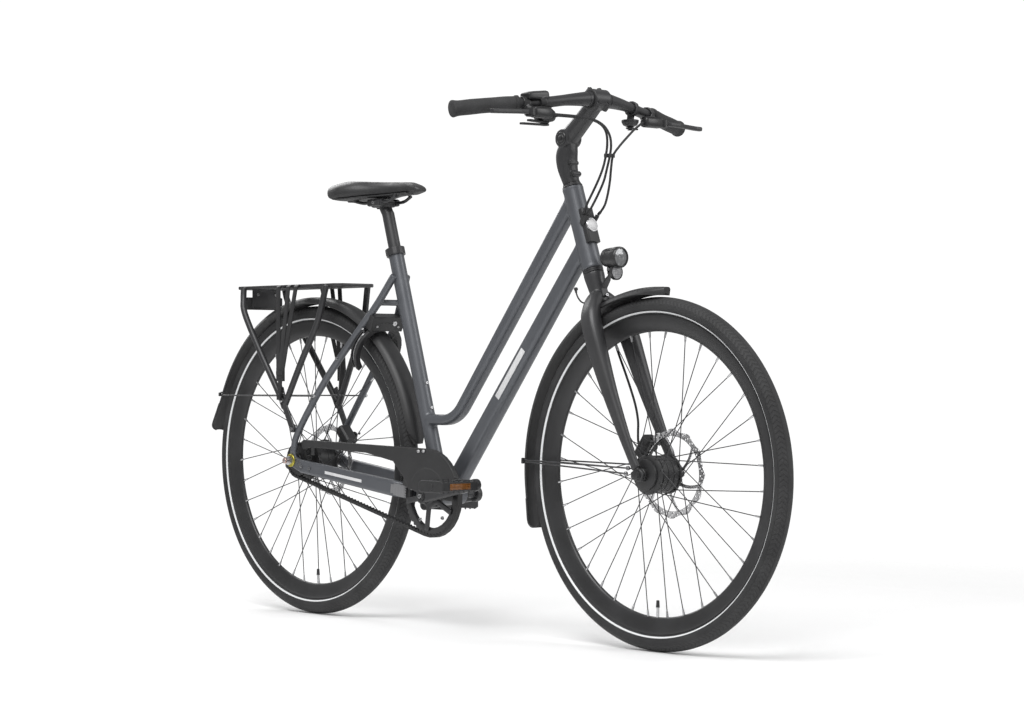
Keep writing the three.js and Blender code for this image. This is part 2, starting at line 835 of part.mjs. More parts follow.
function rearHubShape() {
  const bore = axleRadius + runGap;
  const flangeIn = rearFlangePlace - rearFlangeWidth / 2;
  const flangeOut = rearFlangePlace + rearFlangeWidth / 2;
  const rotorSeat = rearRotorPlace - rotorThick / 2 - fitGap;
  const neckEnd = rearHubWidth / 2 - rearWasherThick - runGap;
  const driverEnd = beltLine + beltWidth;
  const driver = sprocketBoreRadius - runGap - fitGap;
  const profile = [[bore, -driverEnd], [driver, -driverEnd],
    [driver, -rearCoverPlace], [rearCoverRadius, -rearCoverPlace], [rearFlangeRadius, -flangeOut], [rearFlangeRadius, -flangeIn],
    [rearDrumRadius, -flangeIn], [rearDrumRadius, flangeIn], [rearFlangeRadius, flangeIn],
    [rearFlangeRadius, flangeOut], [rearCoverRadius, flangeOut], [rotorCarrierRadius, rotorSeat],
    [rotorBoreRadius - fitGap, rotorSeat], [rotorBoreRadius - fitGap, neckEnd], [bore, neckEnd]];
  return join(turned(profile, hubSteps), ...spokes(rearFlangeRadius - rearFlangeWidth / 2, rearFlangePlace,
    rearSpokePhaseDeg));
}

// Rotor: pierced track, swept arms and a ring that seats on the hub
function rotorShape(radius, place) {
  const shape = new THREE.Shape(circle(radius, rotorSteps));
  shape.holes.push(new THREE.Path(circle(rotorBoreRadius, hubSteps)));
  const sector = (2 * Math.PI) / rotorArmCount;
  const inner = radius - rotorTrack;
  const corner = (arm, station, edge) => {
    const [rise, sweep, half] = rotorArmStations[station];
    const r = mix(rotorCarrierRadius, inner, rise);
    const turn = arm * sector + radians(rotorSweepDeg) * sweep + edge * radians(half);
    return new THREE.Vector2(r * Math.cos(turn), r * Math.sin(turn));
  };
  const arc = (from, to, count) => Array.from({ length: count - 1 }, (_, k) => {
    const share = (k + 1) / count;
    const turn = Math.atan2(from.y, from.x);
    const sweep = Math.atan2(from.x * to.y - from.y * to.x, from.dot(to)) * share;
    return new THREE.Vector2(Math.cos(turn + sweep), Math.sin(turn + sweep)).multiplyScalar(from.length());
  });
  const stations = rotorArmStations.map((_, k) => k);
  for (let i = 0; i < rotorArmCount; i += 1) {
    const rising = stations.map((k) => corner(i + 1, k, -1));
    const falling = stations.map((k) => corner(i, k, 1)).reverse();
    const outer = arc(rising[rising.length - 1], falling[0], 4);
    shape.holes.push(new THREE.Path([...rising, ...outer, ...falling]));
  }
  return new THREE.ExtrudeGeometry(shape, { depth: rotorThick, bevelEnabled: false, curveSegments: 1 })
    .rotateX(Math.PI / 2).translate(0, place + rotorThick / 2, 0);
}

addPiece(frontLevel, 'front_tyre', tyreShape(), rubber);
addPiece(frontLevel, 'front_rim', rimShape(), blackPaint);
addPiece(frontLevel, 'front_hub', frontHubShape(), castAlloy);
addPiece(frontLevel, 'front_rotor', rotorShape(frontRotorRadius, frontRotorPlace), bareSteel);
addPiece(rearWheel, 'rear_tyre', tyreShape(), rubber);
addPiece(rearWheel, 'rear_rim', rimShape(), blackPaint);
addPiece(rearWheel, 'rear_hub', rearHubShape(), blackPaint);
addPiece(rearWheel, 'rear_rotor', rotorShape(rearRotorRadius, rearRotorPlace), bareSteel);

// Frame: steering head, tubes, stays, bridges, shell and dropouts in one welded body
function seatStay(side) {
  const places = seatStayPlaces.map(([x, y, z]) => vec(x, side * y, z));
  const last = places.length - 1;
  return loft(places, (i) => circle(mix(seatStayRadius, seatStayTipRadius, i / last), staySides, Math.PI / staySides), xAxis);
}

function chainStay(side) {
  const places = [vec(stayRearX, side * stayRearPlace, stayRearHeight),
    vec(stayMidX, side * stayMidPlace, stayMidHeight), vec(stayJogX, side * stayJogPlace, stayJogHeight),
    vec(bottomX, side * (stayJogPlace - seatTubeRadius / 2), bottomHeight)];
  const widths = [stayRearWidth, stayMidWidth, stayMidWidth, stayMidWidth];
  const depths = [stayRearDepth, stayMidDepth, stayMidDepth, stayMidDepth];
  return loft(places, (i) => bevelled(widths[i], depths[i]));
}

function dropout(side) {
  const inner = side > 0 ? dropoutPlace - dropoutThick / 2 : -dropoutPlace - dropoutThick / 2;
  const disc = circle(dropoutRadius, 12).map((p) => vec(p.x, p.y, 0).add(vec(0, axleHeight, 0)));
  const horn = [[rackBossX - rackBossRadius, rackBossHeight], [rackBossX + rackBossRadius, rackBossHeight]];
  const foot = [[stayRearX, stayRearHeight - stayRearDepth / 2], [stayRearX, stayRearHeight + stayRearDepth / 2]];
  const web = [vec(-dropoutRadius, axleHeight, 0), vec(foot[0][0], foot[0][1], 0), vec(foot[1][0], foot[1][1], 0),
    vec(horn[1][0], horn[1][1], 0), vec(horn[0][0], horn[0][1], 0)];
  return join(plate(disc, inner, inner + dropoutThick), plate(web, inner, inner + dropoutThick));
}

function upperTubePlaces() {
  const start = onHead(0, 0, upperTubeAlong);
  const heel = vec(upperHeelX, 0, upperHeelHeight);
  const incoming = heel.clone().sub(start).normalize();
  const outgoing = vec(-1, 0, 0);
  const bend = incoming.angleTo(outgoing);
  const lead = upperHeelRadius * Math.tan(bend / 2);
  const from = heel.clone().addScaledVector(incoming, -lead);
  const to = heel.clone().addScaledVector(outgoing, lead);
  const arc = Array.from({ length: heelSteps + 1 }, (_, i) => {
    const share = i / heelSteps;
    const a = from.clone().lerp(heel, share);
    const b = heel.clone().lerp(to, share);
    return a.lerp(b, share);
  });
  const climb = (upperHeelHeight - bottomHeight) / seatUp.z;
  return [start, ...arc, seatFoot.clone().addScaledVector(seatUp, climb)];
}

const standAxis = vec(...standAxisShares).normalize();
const standPivot = vec(standPivotX, standPivotPlace, standPivotHeight);
const hingePoint = (along) => standPivot.clone().addScaledVector(standAxis, along);

function frameShape() {
  const upper = upperTubePlaces();
  const headFrom = onHead(0, 0, headBottomAlong);
  const headTo = onHead(0, 0, headTopAlong);
  const downTop = onHead(0, 0, downTubeAlong);
  const body = join(
    rod(headFrom, headTo, headRadius, 16),
    loft([bottom, downTop], (i) => bevelled(i ? downHighWidth : downLowWidth, i ? downHighDepth : downLowDepth)),
    loft(upper, (i) => bevelled(upperWidth, upperDepths[i])),
    rod(seatFoot, seatTop, seatTubeRadius, 12),
    rod(bottom.clone().setY(-shellHalf), bottom.clone().setY(shellHalf), shellRadius, 16),
    ...[-1, 1].map(seatStay), ...[-1, 1].map(chainStay), ...[-1, 1].map(dropout),
    crossRod(bridgeX, bridgeHeight, -seatStayPlaces[1][1], seatStayPlaces[1][1], bridgeRadius, 8),
    crossRod(lowBridgeX, lowBridgeHeight, -stayJogPlace, stayJogPlace, bridgeRadius, 8),
    crossRod(rackBossX, rackBossHeight, dropoutPlace, rackFootPlate - fitGap, rackBossRadius, 8),
    crossRod(rackBossX, rackBossHeight, fitGap - rackFootPlate, -dropoutPlace, rackBossRadius, 8),
    rod(hingePoint(standMountInner), hingePoint(standHeadHalf + runGap), standMountRadius, 10),
    rod(hingePoint(standMountInner), hingePoint(-standHeadHalf - runGap - standCapThick), standPinRadius, 8),
    rod(hingePoint(-standHeadHalf - runGap), hingePoint(-standHeadHalf - runGap - standCapThick), standCapRadius, 10),
  );
  const seatBoreFoot = seatTop.clone().addScaledVector(seatUp, -seatBoreDepth);
  return cut(body,
    rod(onHead(0, 0, headBottomAlong - overrun), onHead(0, 0, headTopAlong + overrun), headBoreRadius, 12),
    rod(seatBoreFoot, seatTop.clone().addScaledVector(seatUp, overrun), seatBoreRadius, 12),
    crossRod(bottomX, bottomHeight, -shellHalf - overrun, shellHalf + overrun, shellBoreRadius, 16),
    crossRod(0, axleHeight, -dropoutPlace - dropoutThick, dropoutPlace + dropoutThick, axleRadius + fitGap, 12));
}

// Plate on the front of the steering head, with a round boss and the ports where the cords go in
function port(section, place, rootPlace) {
  const lean = radians(portLeanDeg);
  const reach = vec(Math.sin(lean), 0, Math.cos(lean)).multiplyScalar(portLength);
  const root = vec(portForward, rootPlace, portAlong);
  return loft([root, root.clone().add(reach).setY(place)], section);
}

function headPlateShape() {
  const face = headRadius + plateProud;
  const section = bevelled(face - plateInner, plateHalf * 2, plateBevelShare);
  const middle = (face + plateInner) / 2;
  const slab = loft([vec(middle, 0, plateLowAlong), vec(middle, 0, plateHighAlong)], section, xAxis);
  const badge = rod(vec(face - overrun, 0, badgeAlong), vec(face + badgeThick, 0, badgeAlong), badgeRadius, 18);
  const single = port(circle(portRadius, 10), leftPortPlace, plateInner);
  const twin = port(bevelled(twinPortWidth, twinPortDepth), -rightPortPlace, -plateInner);
  const seat = rod(vec(0, 0, plateLowAlong - overrun), vec(0, 0, plateHighAlong + overrun), headRadius + fitGap, 16);
  return cut(join(slab, badge, single, twin), seat);
}

// Hollow sleeve about Z, in the steering group's own lengths
const sleeve = (bore, outer, low, high, sides = 16) => turnedZ([[bore, low], [outer, low], [outer, high],
  [bore, high]], sides);

// Group inside the root that leans with the steering head but stays with the frame
const leaning = new THREE.Group();
leaning.position.copy(steerFoot);
leaning.rotation.y = headLean;
bicycle.add(leaning);

addPiece(bicycle, 'frame', frameShape(), slatePaint);
addPiece(leaning, 'head_plate', headPlateShape(), blackPlastic);
addPiece(leaning, 'headset_bearing', sleeve(steererRadius + fitGap, bearingRadius, neckTopAlong + fitGap,
  headBottomAlong - fitGap), blackPaint);

// Fork: one lofted arch from dropout to dropout with its neck and steerer
function bladeLoft(grow = 0) {
  const arm = bladeShares.map(([rise, out, forward]) => [forward * forkOffset, out * bladePlace, rise * crownAlong]);
  const sections = bladeShares.map((_, i) => ellipse((bladeDepth * bladeDepthShares[i]) / 2 + grow,
    (bladeWidth * bladeWidthShares[i]) / 2 + grow, bladeSides));
  const left = arm.slice(1).map(([x, y, z]) => vec(x, y, z));
  const right = arm.slice(1).reverse().map(([x, y, z]) => vec(x, -y, z));
  const rows = [...sections.slice(1).reverse(), ...sections];
  return loft([...right, vec(...arm[0]), ...left], (i) => rows[i], xAxis);
}

function forkTab(side) {
  const tip = bladeShares[bladeShares.length - 1];
  const [tipX, tipZ] = [tip[2] * forkOffset, tip[0] * crownAlong];
  const low = side > 0 ? forkTabInner : -forkTabInner - forkDropoutThick;
  const disc = circle(forkDropoutRadius, 14).map((p) => vec(p.x + forkOffset, p.y, 0));
  const half = forkDropoutRadius / 2;
  const neck = [vec(forkOffset - half, 0, 0), vec(forkOffset + half, 0, 0), vec(tipX + half, tipZ + half, 0),
    vec(tipX - half, tipZ + half, 0)];
  return join(plate(disc, low, low + forkDropoutThick), plate(neck, low, low + forkDropoutThick));
}

function forkShape() {
  const body = join(bladeLoft(), forkTab(1), forkTab(-1),
    rod(vec(0, 0, crownAlong), vec(0, 0, neckLowAlong), neckLowRadius, 16),
    rod(vec(0, 0, neckLowAlong), vec(0, 0, neckTopAlong), neckLowRadius, 16, neckTopRadius),
    rod(vec(0, 0, crownAlong), vec(0, 0, steererTop), steererRadius, 16));
  return cut(body, crossRod(forkOffset, 0, -bladePlace * 2, bladePlace * 2, axleRadius + fitGap, 12));
}

// Axle with its nuts and washers
function axleShape(half, faceAt, nutRadius, nutLength, washerRadius, washerThick) {
  const seat = faceAt + washerThick;
  const nut = (side) => crossRod(0, 0, side * seat, side * (seat + nutLength), nutRadius, 6);
  const washer = (side) => crossRod(0, 0, side * faceAt, side * seat, washerRadius, 12);
  return join(crossRod(0, 0, -half, half, axleRadius, 12), nut(1), nut(-1), washer(1), washer(-1));
}

addPiece(steering, 'fork', forkShape(), slatePaint);
addPiece(steering, 'headset_cover', sleeve(steererRadius + fitGap, headCoverRadius, headTopAlong + fitGap,
  headTopAlong + headCoverHeight), blackPaint);
addPiece(frontLevel, 'front_axle', axleShape(frontAxleHalf, forkTabInner + forkDropoutThick + fitGap,
  frontNutRadius, frontNutLength, frontWasherRadius, frontWasherThick), bareSteel);
addPiece(rearWheel, 'rear_axle', axleShape(rearAxleHalf, dropoutPlace + dropoutThick / 2 + fitGap,
  rearNutRadius, rearNutLength, rearWasherRadius, rearWasherThick), bareSteel);

// Stem: a clamp on the steerer with two ears, and an arm that swings between them
const stemPivot = vec(stemPivotForward, 0, stemPivotAlong);
const pivotWorld = onHead(stemPivotForward, 0, stemPivotAlong);
const barCentre = pivotWorld.clone().add(vec(stemReach, 0, stemRise));
const across = (place, half, radius, sides) => rod(place.clone().setY(-half), place.clone().setY(half), radius, sides);

function stemBaseShape() {
  const halfWidth = tongueHalf + fitGap + earThick;
  const swing = Math.hypot(knuckleRadius + runGap * 3, armDepth / 2) + runGap;
  const foot = rod(vec(0, 0, stemFootAlong), vec(0, 0, stemFootAlong + stemClampHeight), stemClampLowRadius, 16,
    stemClampRadius);
  const low = bevelled(stemClampRadius * 2, stemClampRadius * 2, plateBevelShare);
  const high = bevelled(halfWidth * 2, knuckleRadius * 2, plateBevelShare);
  const web = loft([vec(0, 0, stemFootAlong + stemClampHeight / 2), stemPivot], (i) => (i ? high : low));
  const bore = rod(vec(0, 0, stemFootAlong - overrun), vec(0, 0, steererTop + fitGap), steererRadius + fitGap, 16);
  const hollow = cut(join(foot, web, across(stemPivot, halfWidth, knuckleRadius, 16)), bore,
    across(stemPivot, tongueHalf + fitGap, swing, 16));
  return join(hollow, across(stemPivot, halfWidth, stemPinRadius, 8));
}

function stemArmShape() {
  const along = barCentre.clone().sub(pivotWorld).normalize();
  const at = (distance) => pivotWorld.clone().addScaledVector(along, distance);
  const reach = barCentre.distanceTo(pivotWorld);
  const shoulder = knuckleRadius + runGap * 3;
  const body = join(
    across(pivotWorld, tongueHalf, knuckleRadius, 16),
    loft([at(0), at(shoulder + overrun)], bevelled(tongueHalf * 2, armDepth)),
    loft([at(shoulder), at(reach)], bevelled(armWidth, armDepth)),
    across(barCentre, clampHalf, barCentreRadius + clampWall, 18),
  );
  return cut(body, across(pivotWorld, clampHalf, stemPinRadius + runGap, 10),
    across(barCentre, clampHalf + overrun, barCentreRadius + barBoreGap, 14));
}

addPiece(steering, 'stem_base', stemBaseShape(), blackPaint);
addPiece(steered, 'stem_arm', stemArmShape(), blackPaint);

// Handlebar and what it carries
function barPlace(share, side) {
  const next = Math.max(1, barShares.findIndex(([s]) => s >= share));
  const [a, b] = [barShares[next - 1], barShares[next]];
  const t = (share - a[0]) / (b[0] - a[0]);
  return barCentre.clone().add(vec(-mix(a[1], b[1], t) * barSweep, side * share * barHalf,
    -mix(a[2], b[2], t) * barDrop));
}

const barRadiusAt = (share) => mix(barCentreRadius, barGripRadius,
  THREE.MathUtils.clamp((share - barFatEndShare) / (barThinStartShare - barFatEndShare), 0, 1));

function barShape() {
  const half = [...barShares.slice(1).map(([share]) => share), barFatEndShare, barThinStartShare]
    .sort((a, b) => a - b);
  const stations = [...half.map((share) => [share, -1]).reverse(), [0, 1], ...half.map((share) => [share, 1])];
  return loft(stations.map(([share, side]) => barPlace(share, side)),
    (i) => circle(barRadiusAt(stations[i][0]), barSides, Math.PI / barSides), zAxis);
}

function barTangent(share, side) {
  const ahead = barPlace(share + barShareStep, side);
  return ahead.sub(barPlace(share - barShareStep, side)).normalize();
}

// Ring round the bar at one place, and the bore that frees it
function barRing(placeAcross, side, width) {
  const share = placeAcross / barHalf;
  const [place, along] = [barPlace(share, side), barTangent(share, side)];
  const end = (distance) => place.clone().addScaledVector(along, distance);
  const ring = rod(end(-width / 2), end(width / 2), barRadiusAt(share) + perchWall, 12);
  const bore = rod(end(-width * 2), end(width * 2), barRadiusAt(share) + barRingGap, 12);
  return { place, ring, bore };
}

function gripShape(side) {
  const end = barPlace(1, side);
  const middle = barPlace(barShares[barShares.length - 2][0], side);
  const start = barPlace(gripStartShare, side);
  const outward = end.clone().sub(middle).normalize();
  const first = middle.clone().sub(start).normalize();
  const beyond = (distance) => end.clone().addScaledVector(outward, distance);
  const section = (radius) => circle(radius, barSides, Math.PI / barSides);
  const outer = loft([start, middle, beyond(fitGap + gripCapThick)], section(gripRadius), zAxis);
  const collar = rod(start, start.clone().addScaledVector(first, gripCollarLength), gripCollarRadius, barSides);
  const inner = loft([start.clone().addScaledVector(first, -overrun), start, middle, beyond(fitGap)],
    section(barGripRadius + gripGap), zAxis);
  return cut(join(outer, collar), inner);
}

// Brake lever holder: bar ring, master cylinder and a forked lug for the blade
const leverPivot = (side) => barPlace(perchPlace / barHalf, side)
  .add(vec(perchReach, 0, -perchDrop)).setY(side * (perchPlace + leverPivotOut));
const upright = (place, low, high, radius, sides) => rod(place.clone().setZ(low), place.clone().setZ(high),
  radius, sides);

function perchShape(side) {
  const { place, ring, bore } = barRing(perchPlace, side, perchWidth);
  const pivot = leverPivot(side);
  const cylinder = crossRod(pivot.x, pivot.z, side * reservoirInner, side * (reservoirInner + reservoirLength),
    reservoirRadius, 12);
  const post = rod(place, vec(pivot.x, side * perchPlace, pivot.z), perchPostRadius, 8);
  const lugHalf = leverThick / 2 + leverLugWall + fitGap;
  const slotHalf = leverThick / 2 + runGap;
  const reach = leverPivotOut + reservoirRadius;
  const web = box(vec(leverRootRadius * 2, reach, lugHalf * 2), vec(pivot.x, pivot.y - (side * reach) / 2, pivot.z));
  const lug = upright(pivot, pivot.z - lugHalf, pivot.z + lugHalf, leverRootRadius, 12);
  const slot = upright(pivot, pivot.z - slotHalf, pivot.z + slotHalf, leverRootRadius + runGap * 2, 12);
  const body = cut(join(ring, cylinder, post, lug, web), bore, slot);
  return join(body, upright(pivot, pivot.z - lugHalf, pivot.z + lugHalf, leverPivotRadius, 8));
}

function brakeBladeShape(side) {
  const pivot = leverPivot(side);
  const tip = vec(leverTipBack, side * leverReach, -leverTipDrop);
  const stations = leverBowShares.map(([share, bow]) => pivot.clone().addScaledVector(tip, share)
    .add(vec(bow * leverBow, 0, 0)));
  const blade = loft(stations, (i) => bevelled(leverWidth * leverBowShares[i][2], leverThick, plateBevelShare), xAxis);
  const root = upright(pivot, pivot.z - leverThick / 2, pivot.z + leverThick / 2, leverRootRadius, 12);
  const bore = upright(pivot, pivot.z - leverThick, pivot.z + leverThick, leverPivotRadius + fitGap, 8);
  return cut(join(blade, root), bore);
}

addPiece(steered, 'handlebar', barShape(), blackPaint);
for (const [side, name] of [[-1, 'right'], [1, 'left']]) {
  addPiece(steered, `grip_${name}`, gripShape(side), rubber);
  addPiece(steered, `brake_perch_${name}`, perchShape(side), blackPaint);
  addPiece(steered, `brake_blade_${name}`, brakeBladeShape(side), blackPaint);
}

// Shifter: bar ring, display, pod and the pin on which two thumb levers turn
const podCentre = barPlace(shifterPlace / barHalf, -1)
  .add(vec(-shifterPodBack, shifterPodInward, -shifterPodDrop));
const leverTop = (step) => podCentre.z - shifterPodHeight / 2 - shiftLeverGap
  - step * (shiftLeverThick + shiftLeverGap);

function shifterShape() {
  const { place, ring, bore } = barRing(shifterPlace, -1, shifterWidth);
  const top = podCentre.z + shifterPodHeight / 2;
  const base = podCentre.z - shifterPodHeight / 2;
  const pinFoot = leverTop(2);
  const displayFrom = place.clone().add(vec(0, displayInward, displayRise));
  const display = loft([displayFrom, displayFrom.clone().add(vec(0, -displayLength, 0))],
    bevelled(displayHeight, displayWidth), zAxis);
  const cordStart = vec(...shiftCordRoute[0]);
  const nozzleEnd = cordStart.clone().add(podCentre.clone().sub(cordStart).setLength(fitGap));
  return cut(join(ring, display, rod(podCentre, nozzleEnd, nozzleRadius, 8),
    upright(podCentre, base, top, shifterPodRadius, 14), rod(place, podCentre, perchPostRadius, 8),
    upright(podCentre, pinFoot - pinCapThick, base, shiftPinRadius, 8),
    upright(podCentre, pinFoot - pinCapThick, pinFoot, shiftPinRadius * 2, 8)), bore);
}

function thumbLever(centre, high, thick, width, length, turnDeg, pinRadius) {
  const low = high - thick;
  const turn = radians(turnDeg);
  const tip = centre.clone().add(vec(Math.sin(turn), -Math.cos(turn), 0).multiplyScalar(length));
  const level = (high + low) / 2;
  const arm = loft([centre.clone().setZ(level), tip.clone().setZ(level)], bevelled(thick, width, plateBevelShare), zAxis);
  return cut(join(upright(centre, low, high, pinRadius + overrun * 2, 12), upright(tip, low, high, width / 2, 10), arm),
    upright(centre, low - overrun, high + overrun, pinRadius + fitGap, 8));
}

addPiece(steered, 'shifter', shifterShape(), blackPlastic);
for (const [step, name] of [[0, 'up'], [1, 'down']]) {
  addPiece(steered, `shift_lever_${name}`, thumbLever(podCentre, leverTop(step), shiftLeverThick, shiftLeverWidth,
    shiftLeverLength, shiftLeverDegs[step], shiftPinRadius), blackPlastic);
}

// Bell: ring, post and dome over a small thumb lever on a pin
const bellCentre = barPlace(bellPlace / barHalf, 1).add(vec(-bellBack, 0, -bellDrop));
const bellFoot = bellCentre.z - bellHeight;
const bellLeverTop = bellFoot - shiftLeverGap;

function bellShape() {
  const { place, ring, bore } = barRing(bellPlace, 1, bellClampWidth);
  const dome = turnedZ([[0, 0], [bellRadius, 0], ...bellShares.map(([r, h]) => [bellRadius * r, -bellHeight * h]),
    [0, -bellHeight]], 16).translate(bellCentre.x, bellCentre.y, bellCentre.z);
  const pinFoot = bellLeverTop - bellLeverThick - shiftLeverGap;
  return cut(join(ring, dome, rod(place, bellCentre.clone().setZ(bellCentre.z - overrun), perchPostRadius, 8),
    upright(bellCentre, pinFoot - pinCapThick, bellFoot + overrun, bellPinRadius, 8),
    upright(bellCentre, pinFoot - pinCapThick, pinFoot, bellPinRadius * 2, 8)), bore);
}

addPiece(steered, 'bell', bellShape(), blackPaint);
addPiece(steered, 'bell_lever', thumbLever(bellCentre, bellLeverTop, bellLeverThick, bellLeverWidth, bellLeverLength,
  bellLeverDeg, bellPinRadius), blackPlastic);

// Belt drive: both toothed wheels carry grooves in which the belt's own teeth sit
const pitchRadiusOf = (teeth) => (teeth * beltPitch) / (2 * Math.PI);
const ringPitchRadius = pitchRadiusOf(ringTeeth);
const cogPitchRadius = pitchRadiusOf(sprocketTeeth);
const axlePlace = vec(0, 0, axleHeight);
const centreLine = axlePlace.clone().sub(bottom);
const centreTurn = Math.atan2(centreLine.z, centreLine.x);
const tangentTurn = Math.acos((ringPitchRadius - cogPitchRadius) / centreLine.length());
const topTurn = centreTurn - tangentTurn;
const lowTurn = centreTurn + tangentTurn;
const ringWrap = ringPitchRadius * (topTurn - lowTurn + 2 * Math.PI);
const cogWrap = cogPitchRadius * (lowTurn - topTurn);
const straightRun = centreLine.length() * Math.sin(tangentTurn);
const beltLength = ringWrap + cogWrap + straightRun * 2;

// Place in X and Z at one length along the belt, lifted outward from its pitch line
function beltPlace(length, lift) {
  const s = (length + beltLength) % beltLength;
  const onArc = (centre, radius, turn) => [centre.x + (radius + lift) * Math.cos(turn),
    centre.z + (radius + lift) * Math.sin(turn)];
  const lowRing = onArc(bottom, ringPitchRadius, lowTurn);
  const lowCog = onArc(axlePlace, cogPitchRadius, lowTurn);
  const topRing = onArc(bottom, ringPitchRadius, topTurn);
  const topCog = onArc(axlePlace, cogPitchRadius, topTurn);
  const between = (a, b, share) => vec(mix(a[0], b[0], share), mix(a[1], b[1], share), 0);
  if (s < ringWrap) return vec(...onArc(bottom, ringPitchRadius, topTurn - s / ringPitchRadius), 0);
  if (s < ringWrap + straightRun) return between(lowRing, lowCog, (s - ringWrap) / straightRun);
  const onCog = s - ringWrap - straightRun;
  if (onCog < cogWrap) return vec(...onArc(axlePlace, cogPitchRadius, lowTurn - onCog / cogPitchRadius), 0);
  return between(topCog, topRing, (onCog - cogWrap) / straightRun);
}

function beltTeeth() {
  const onRing = Math.floor(ringWrap / beltPitch);
  const onCog = Math.floor(cogWrap / beltPitch);
  const cogFirst = ringWrap + straightRun;
  const spread = (from, to) => {
    const count = Math.round((to - from) / beltPitch);
    return Array.from({ length: count - 1 }, (_, i) => mix(from, to, (i + 1) / count));
  };
  const ringRow = Array.from({ length: onRing + 1 }, (_, i) => i * beltPitch);
  const cogRow = Array.from({ length: onCog + 1 }, (_, i) => cogFirst + i * beltPitch);
  return [...ringRow, ...spread(ringRow[onRing], cogFirst), ...cogRow, ...spread(cogRow[onCog], beltLength)];
}

function beltShape() {
  const root = (beltPitch * beltToothRootShare) / 2;
  const land = -pitchLineDepth;
  const low = land - beltToothHeight;
  const inside = beltTeeth().flatMap((s) => [beltPlace(s - root, land), beltPlace(s, low),
    beltPlace(s + root, land)]);
  const lift = beltBack - pitchLineDepth;
  const arc = (from, length, steps) => Array.from({ length: steps + 1 },
    (_, i) => beltPlace(from + (length * i * (1 - Number.EPSILON)) / steps, lift));
  const outside = [...arc(0, ringWrap, ringBackSteps), ...arc(ringWrap + straightRun, cogWrap, cogBackSteps)];
  return cut(plate(outside, -beltLine - beltWidth / 2, beltWidth / 2 - beltLine),
    plate(inside, -beltLine - beltWidth / 2 - overrun, beltWidth / 2 - beltLine + overrun));
}

function toothedOutline(centre, teeth, firstTurn) {
  const radius = pitchRadiusOf(teeth);
  const outer = radius - pitchLineDepth - toothClearance;
  const inner = outer - beltToothHeight;
  const root = ((beltPitch * beltToothRootShare) / 2 + toothClearance) / radius;
  const at = (r, turn) => vec(centre.x + r * Math.cos(turn), centre.z + r * Math.sin(turn), 0);
  return Array.from({ length: teeth }, (_, i) => firstTurn - (i * 2 * Math.PI) / teeth)
    .flatMap((turn) => [at(outer, turn + root), at(inner, turn), at(outer, turn - root)]);
}

const circleAt = (centre, radius, sides) => circle(radius, sides).map((p) => vec(p.x + centre.x, p.y + centre.z, 0));
const ringInner = ringPitchRadius - ringRootDepth - ringWall;
const ringShape = () => plate(toothedOutline(bottom, ringTeeth, topTurn), -beltLine - ringWidth / 2,
  ringWidth / 2 - beltLine, [circleAt(bottom, ringInner, 30)]);
const sprocketShape = () => plate(toothedOutline(axlePlace, sprocketTeeth, lowTurn), -beltLine - ringWidth / 2,
  ringWidth / 2 - beltLine, [circleAt(axlePlace, sprocketBoreRadius, 20)]);

// Cranks with the spindle, the spider and the pedal axles
const crankTurn = (side) => radians(crankAngleDeg) + (side > 0 ? Math.PI : 0);
const crankTip = (side) => bottom.clone().add(vec(Math.cos(crankTurn(side)), 0, Math.sin(crankTurn(side)))
  .multiplyScalar(crankLength));

function crankArm(side) {
  const at = (place) => place.clone().setY(side * crankPlace);
  const [from, to] = [at(bottom), at(crankTip(side))];
  const face = side * (crankPlace - crankThick / 2);
  const back = side * (crankPlace + crankThick / 2);
  const axleEnd = side * (pedalPlace + pedalWidth / 2 - pedalPlateThick / 2);
  return join(
    loft([from, to], (i) => bevelled(crankThick, (i ? crankTipRadius : crankBossRadius) * 2 * crankWaistShare)),
    crossRod(from.x, from.z, face, back, crankBossRadius, 16),
    crossRod(to.x, to.z, face, back, crankTipRadius, 14),
    crossRod(to.x, to.z, side * crankPlace, axleEnd, pedalAxleRadius, 10));
}

function crankRightShape() {
  const inner = -beltLine - ringWidth / 2 - fitGap;
  const outer = inner - spiderThick;
  const middle = (inner + outer) / 2;
  const arms = Array.from({ length: spiderArms }, (_, i) => {
    const turn = radians(crankAngleDeg) + (2 * Math.PI * (i + 1 / 2)) / spiderArms;
    const reach = vec(Math.cos(turn), 0, Math.sin(turn));
    const at = (r) => bottom.clone().setY(middle).addScaledVector(reach, r);
    return loft([at(spindleRadius), at(ringInner + ringWall * spiderReachShare)],
      bevelled(spiderThick, spiderArmWidth, plateBevelShare));
  });
  return join(crankArm(-1), ...arms, crossRod(bottom.x, bottom.z, outer, inner, spiderHubRadius, 16),
    crossRod(bottom.x, bottom.z, -crankPlace, outer, crankBossRadius - overrun, 16),
    crossRod(bottom.x, bottom.z, crankPlace + crankThick / 2 + fitGap, -crankPlace, spindleRadius, 12));
}

const crankLeftShape = () => cut(crankArm(1), crossRod(bottom.x, bottom.z, shellHalf, crankPlace + crankThick,
  spindleRadius + fitGap, 12));

function bottomBracketShape() {
  const lip = shellHalf + fitGap;
  const cup = shellBoreRadius - runGap - fitGap;
  return turned([[spindleRadius + runGap, -lip - cupLip], [cupLipRadius, -lip - cupLip], [cupLipRadius, -lip],
    [cup, -lip], [cup, lip], [cupLipRadius, lip], [cupLipRadius, lip + cupLip], [spindleRadius + runGap, lip + cupLip]],
  16).translate(bottom.x, 0, bottom.z);
}

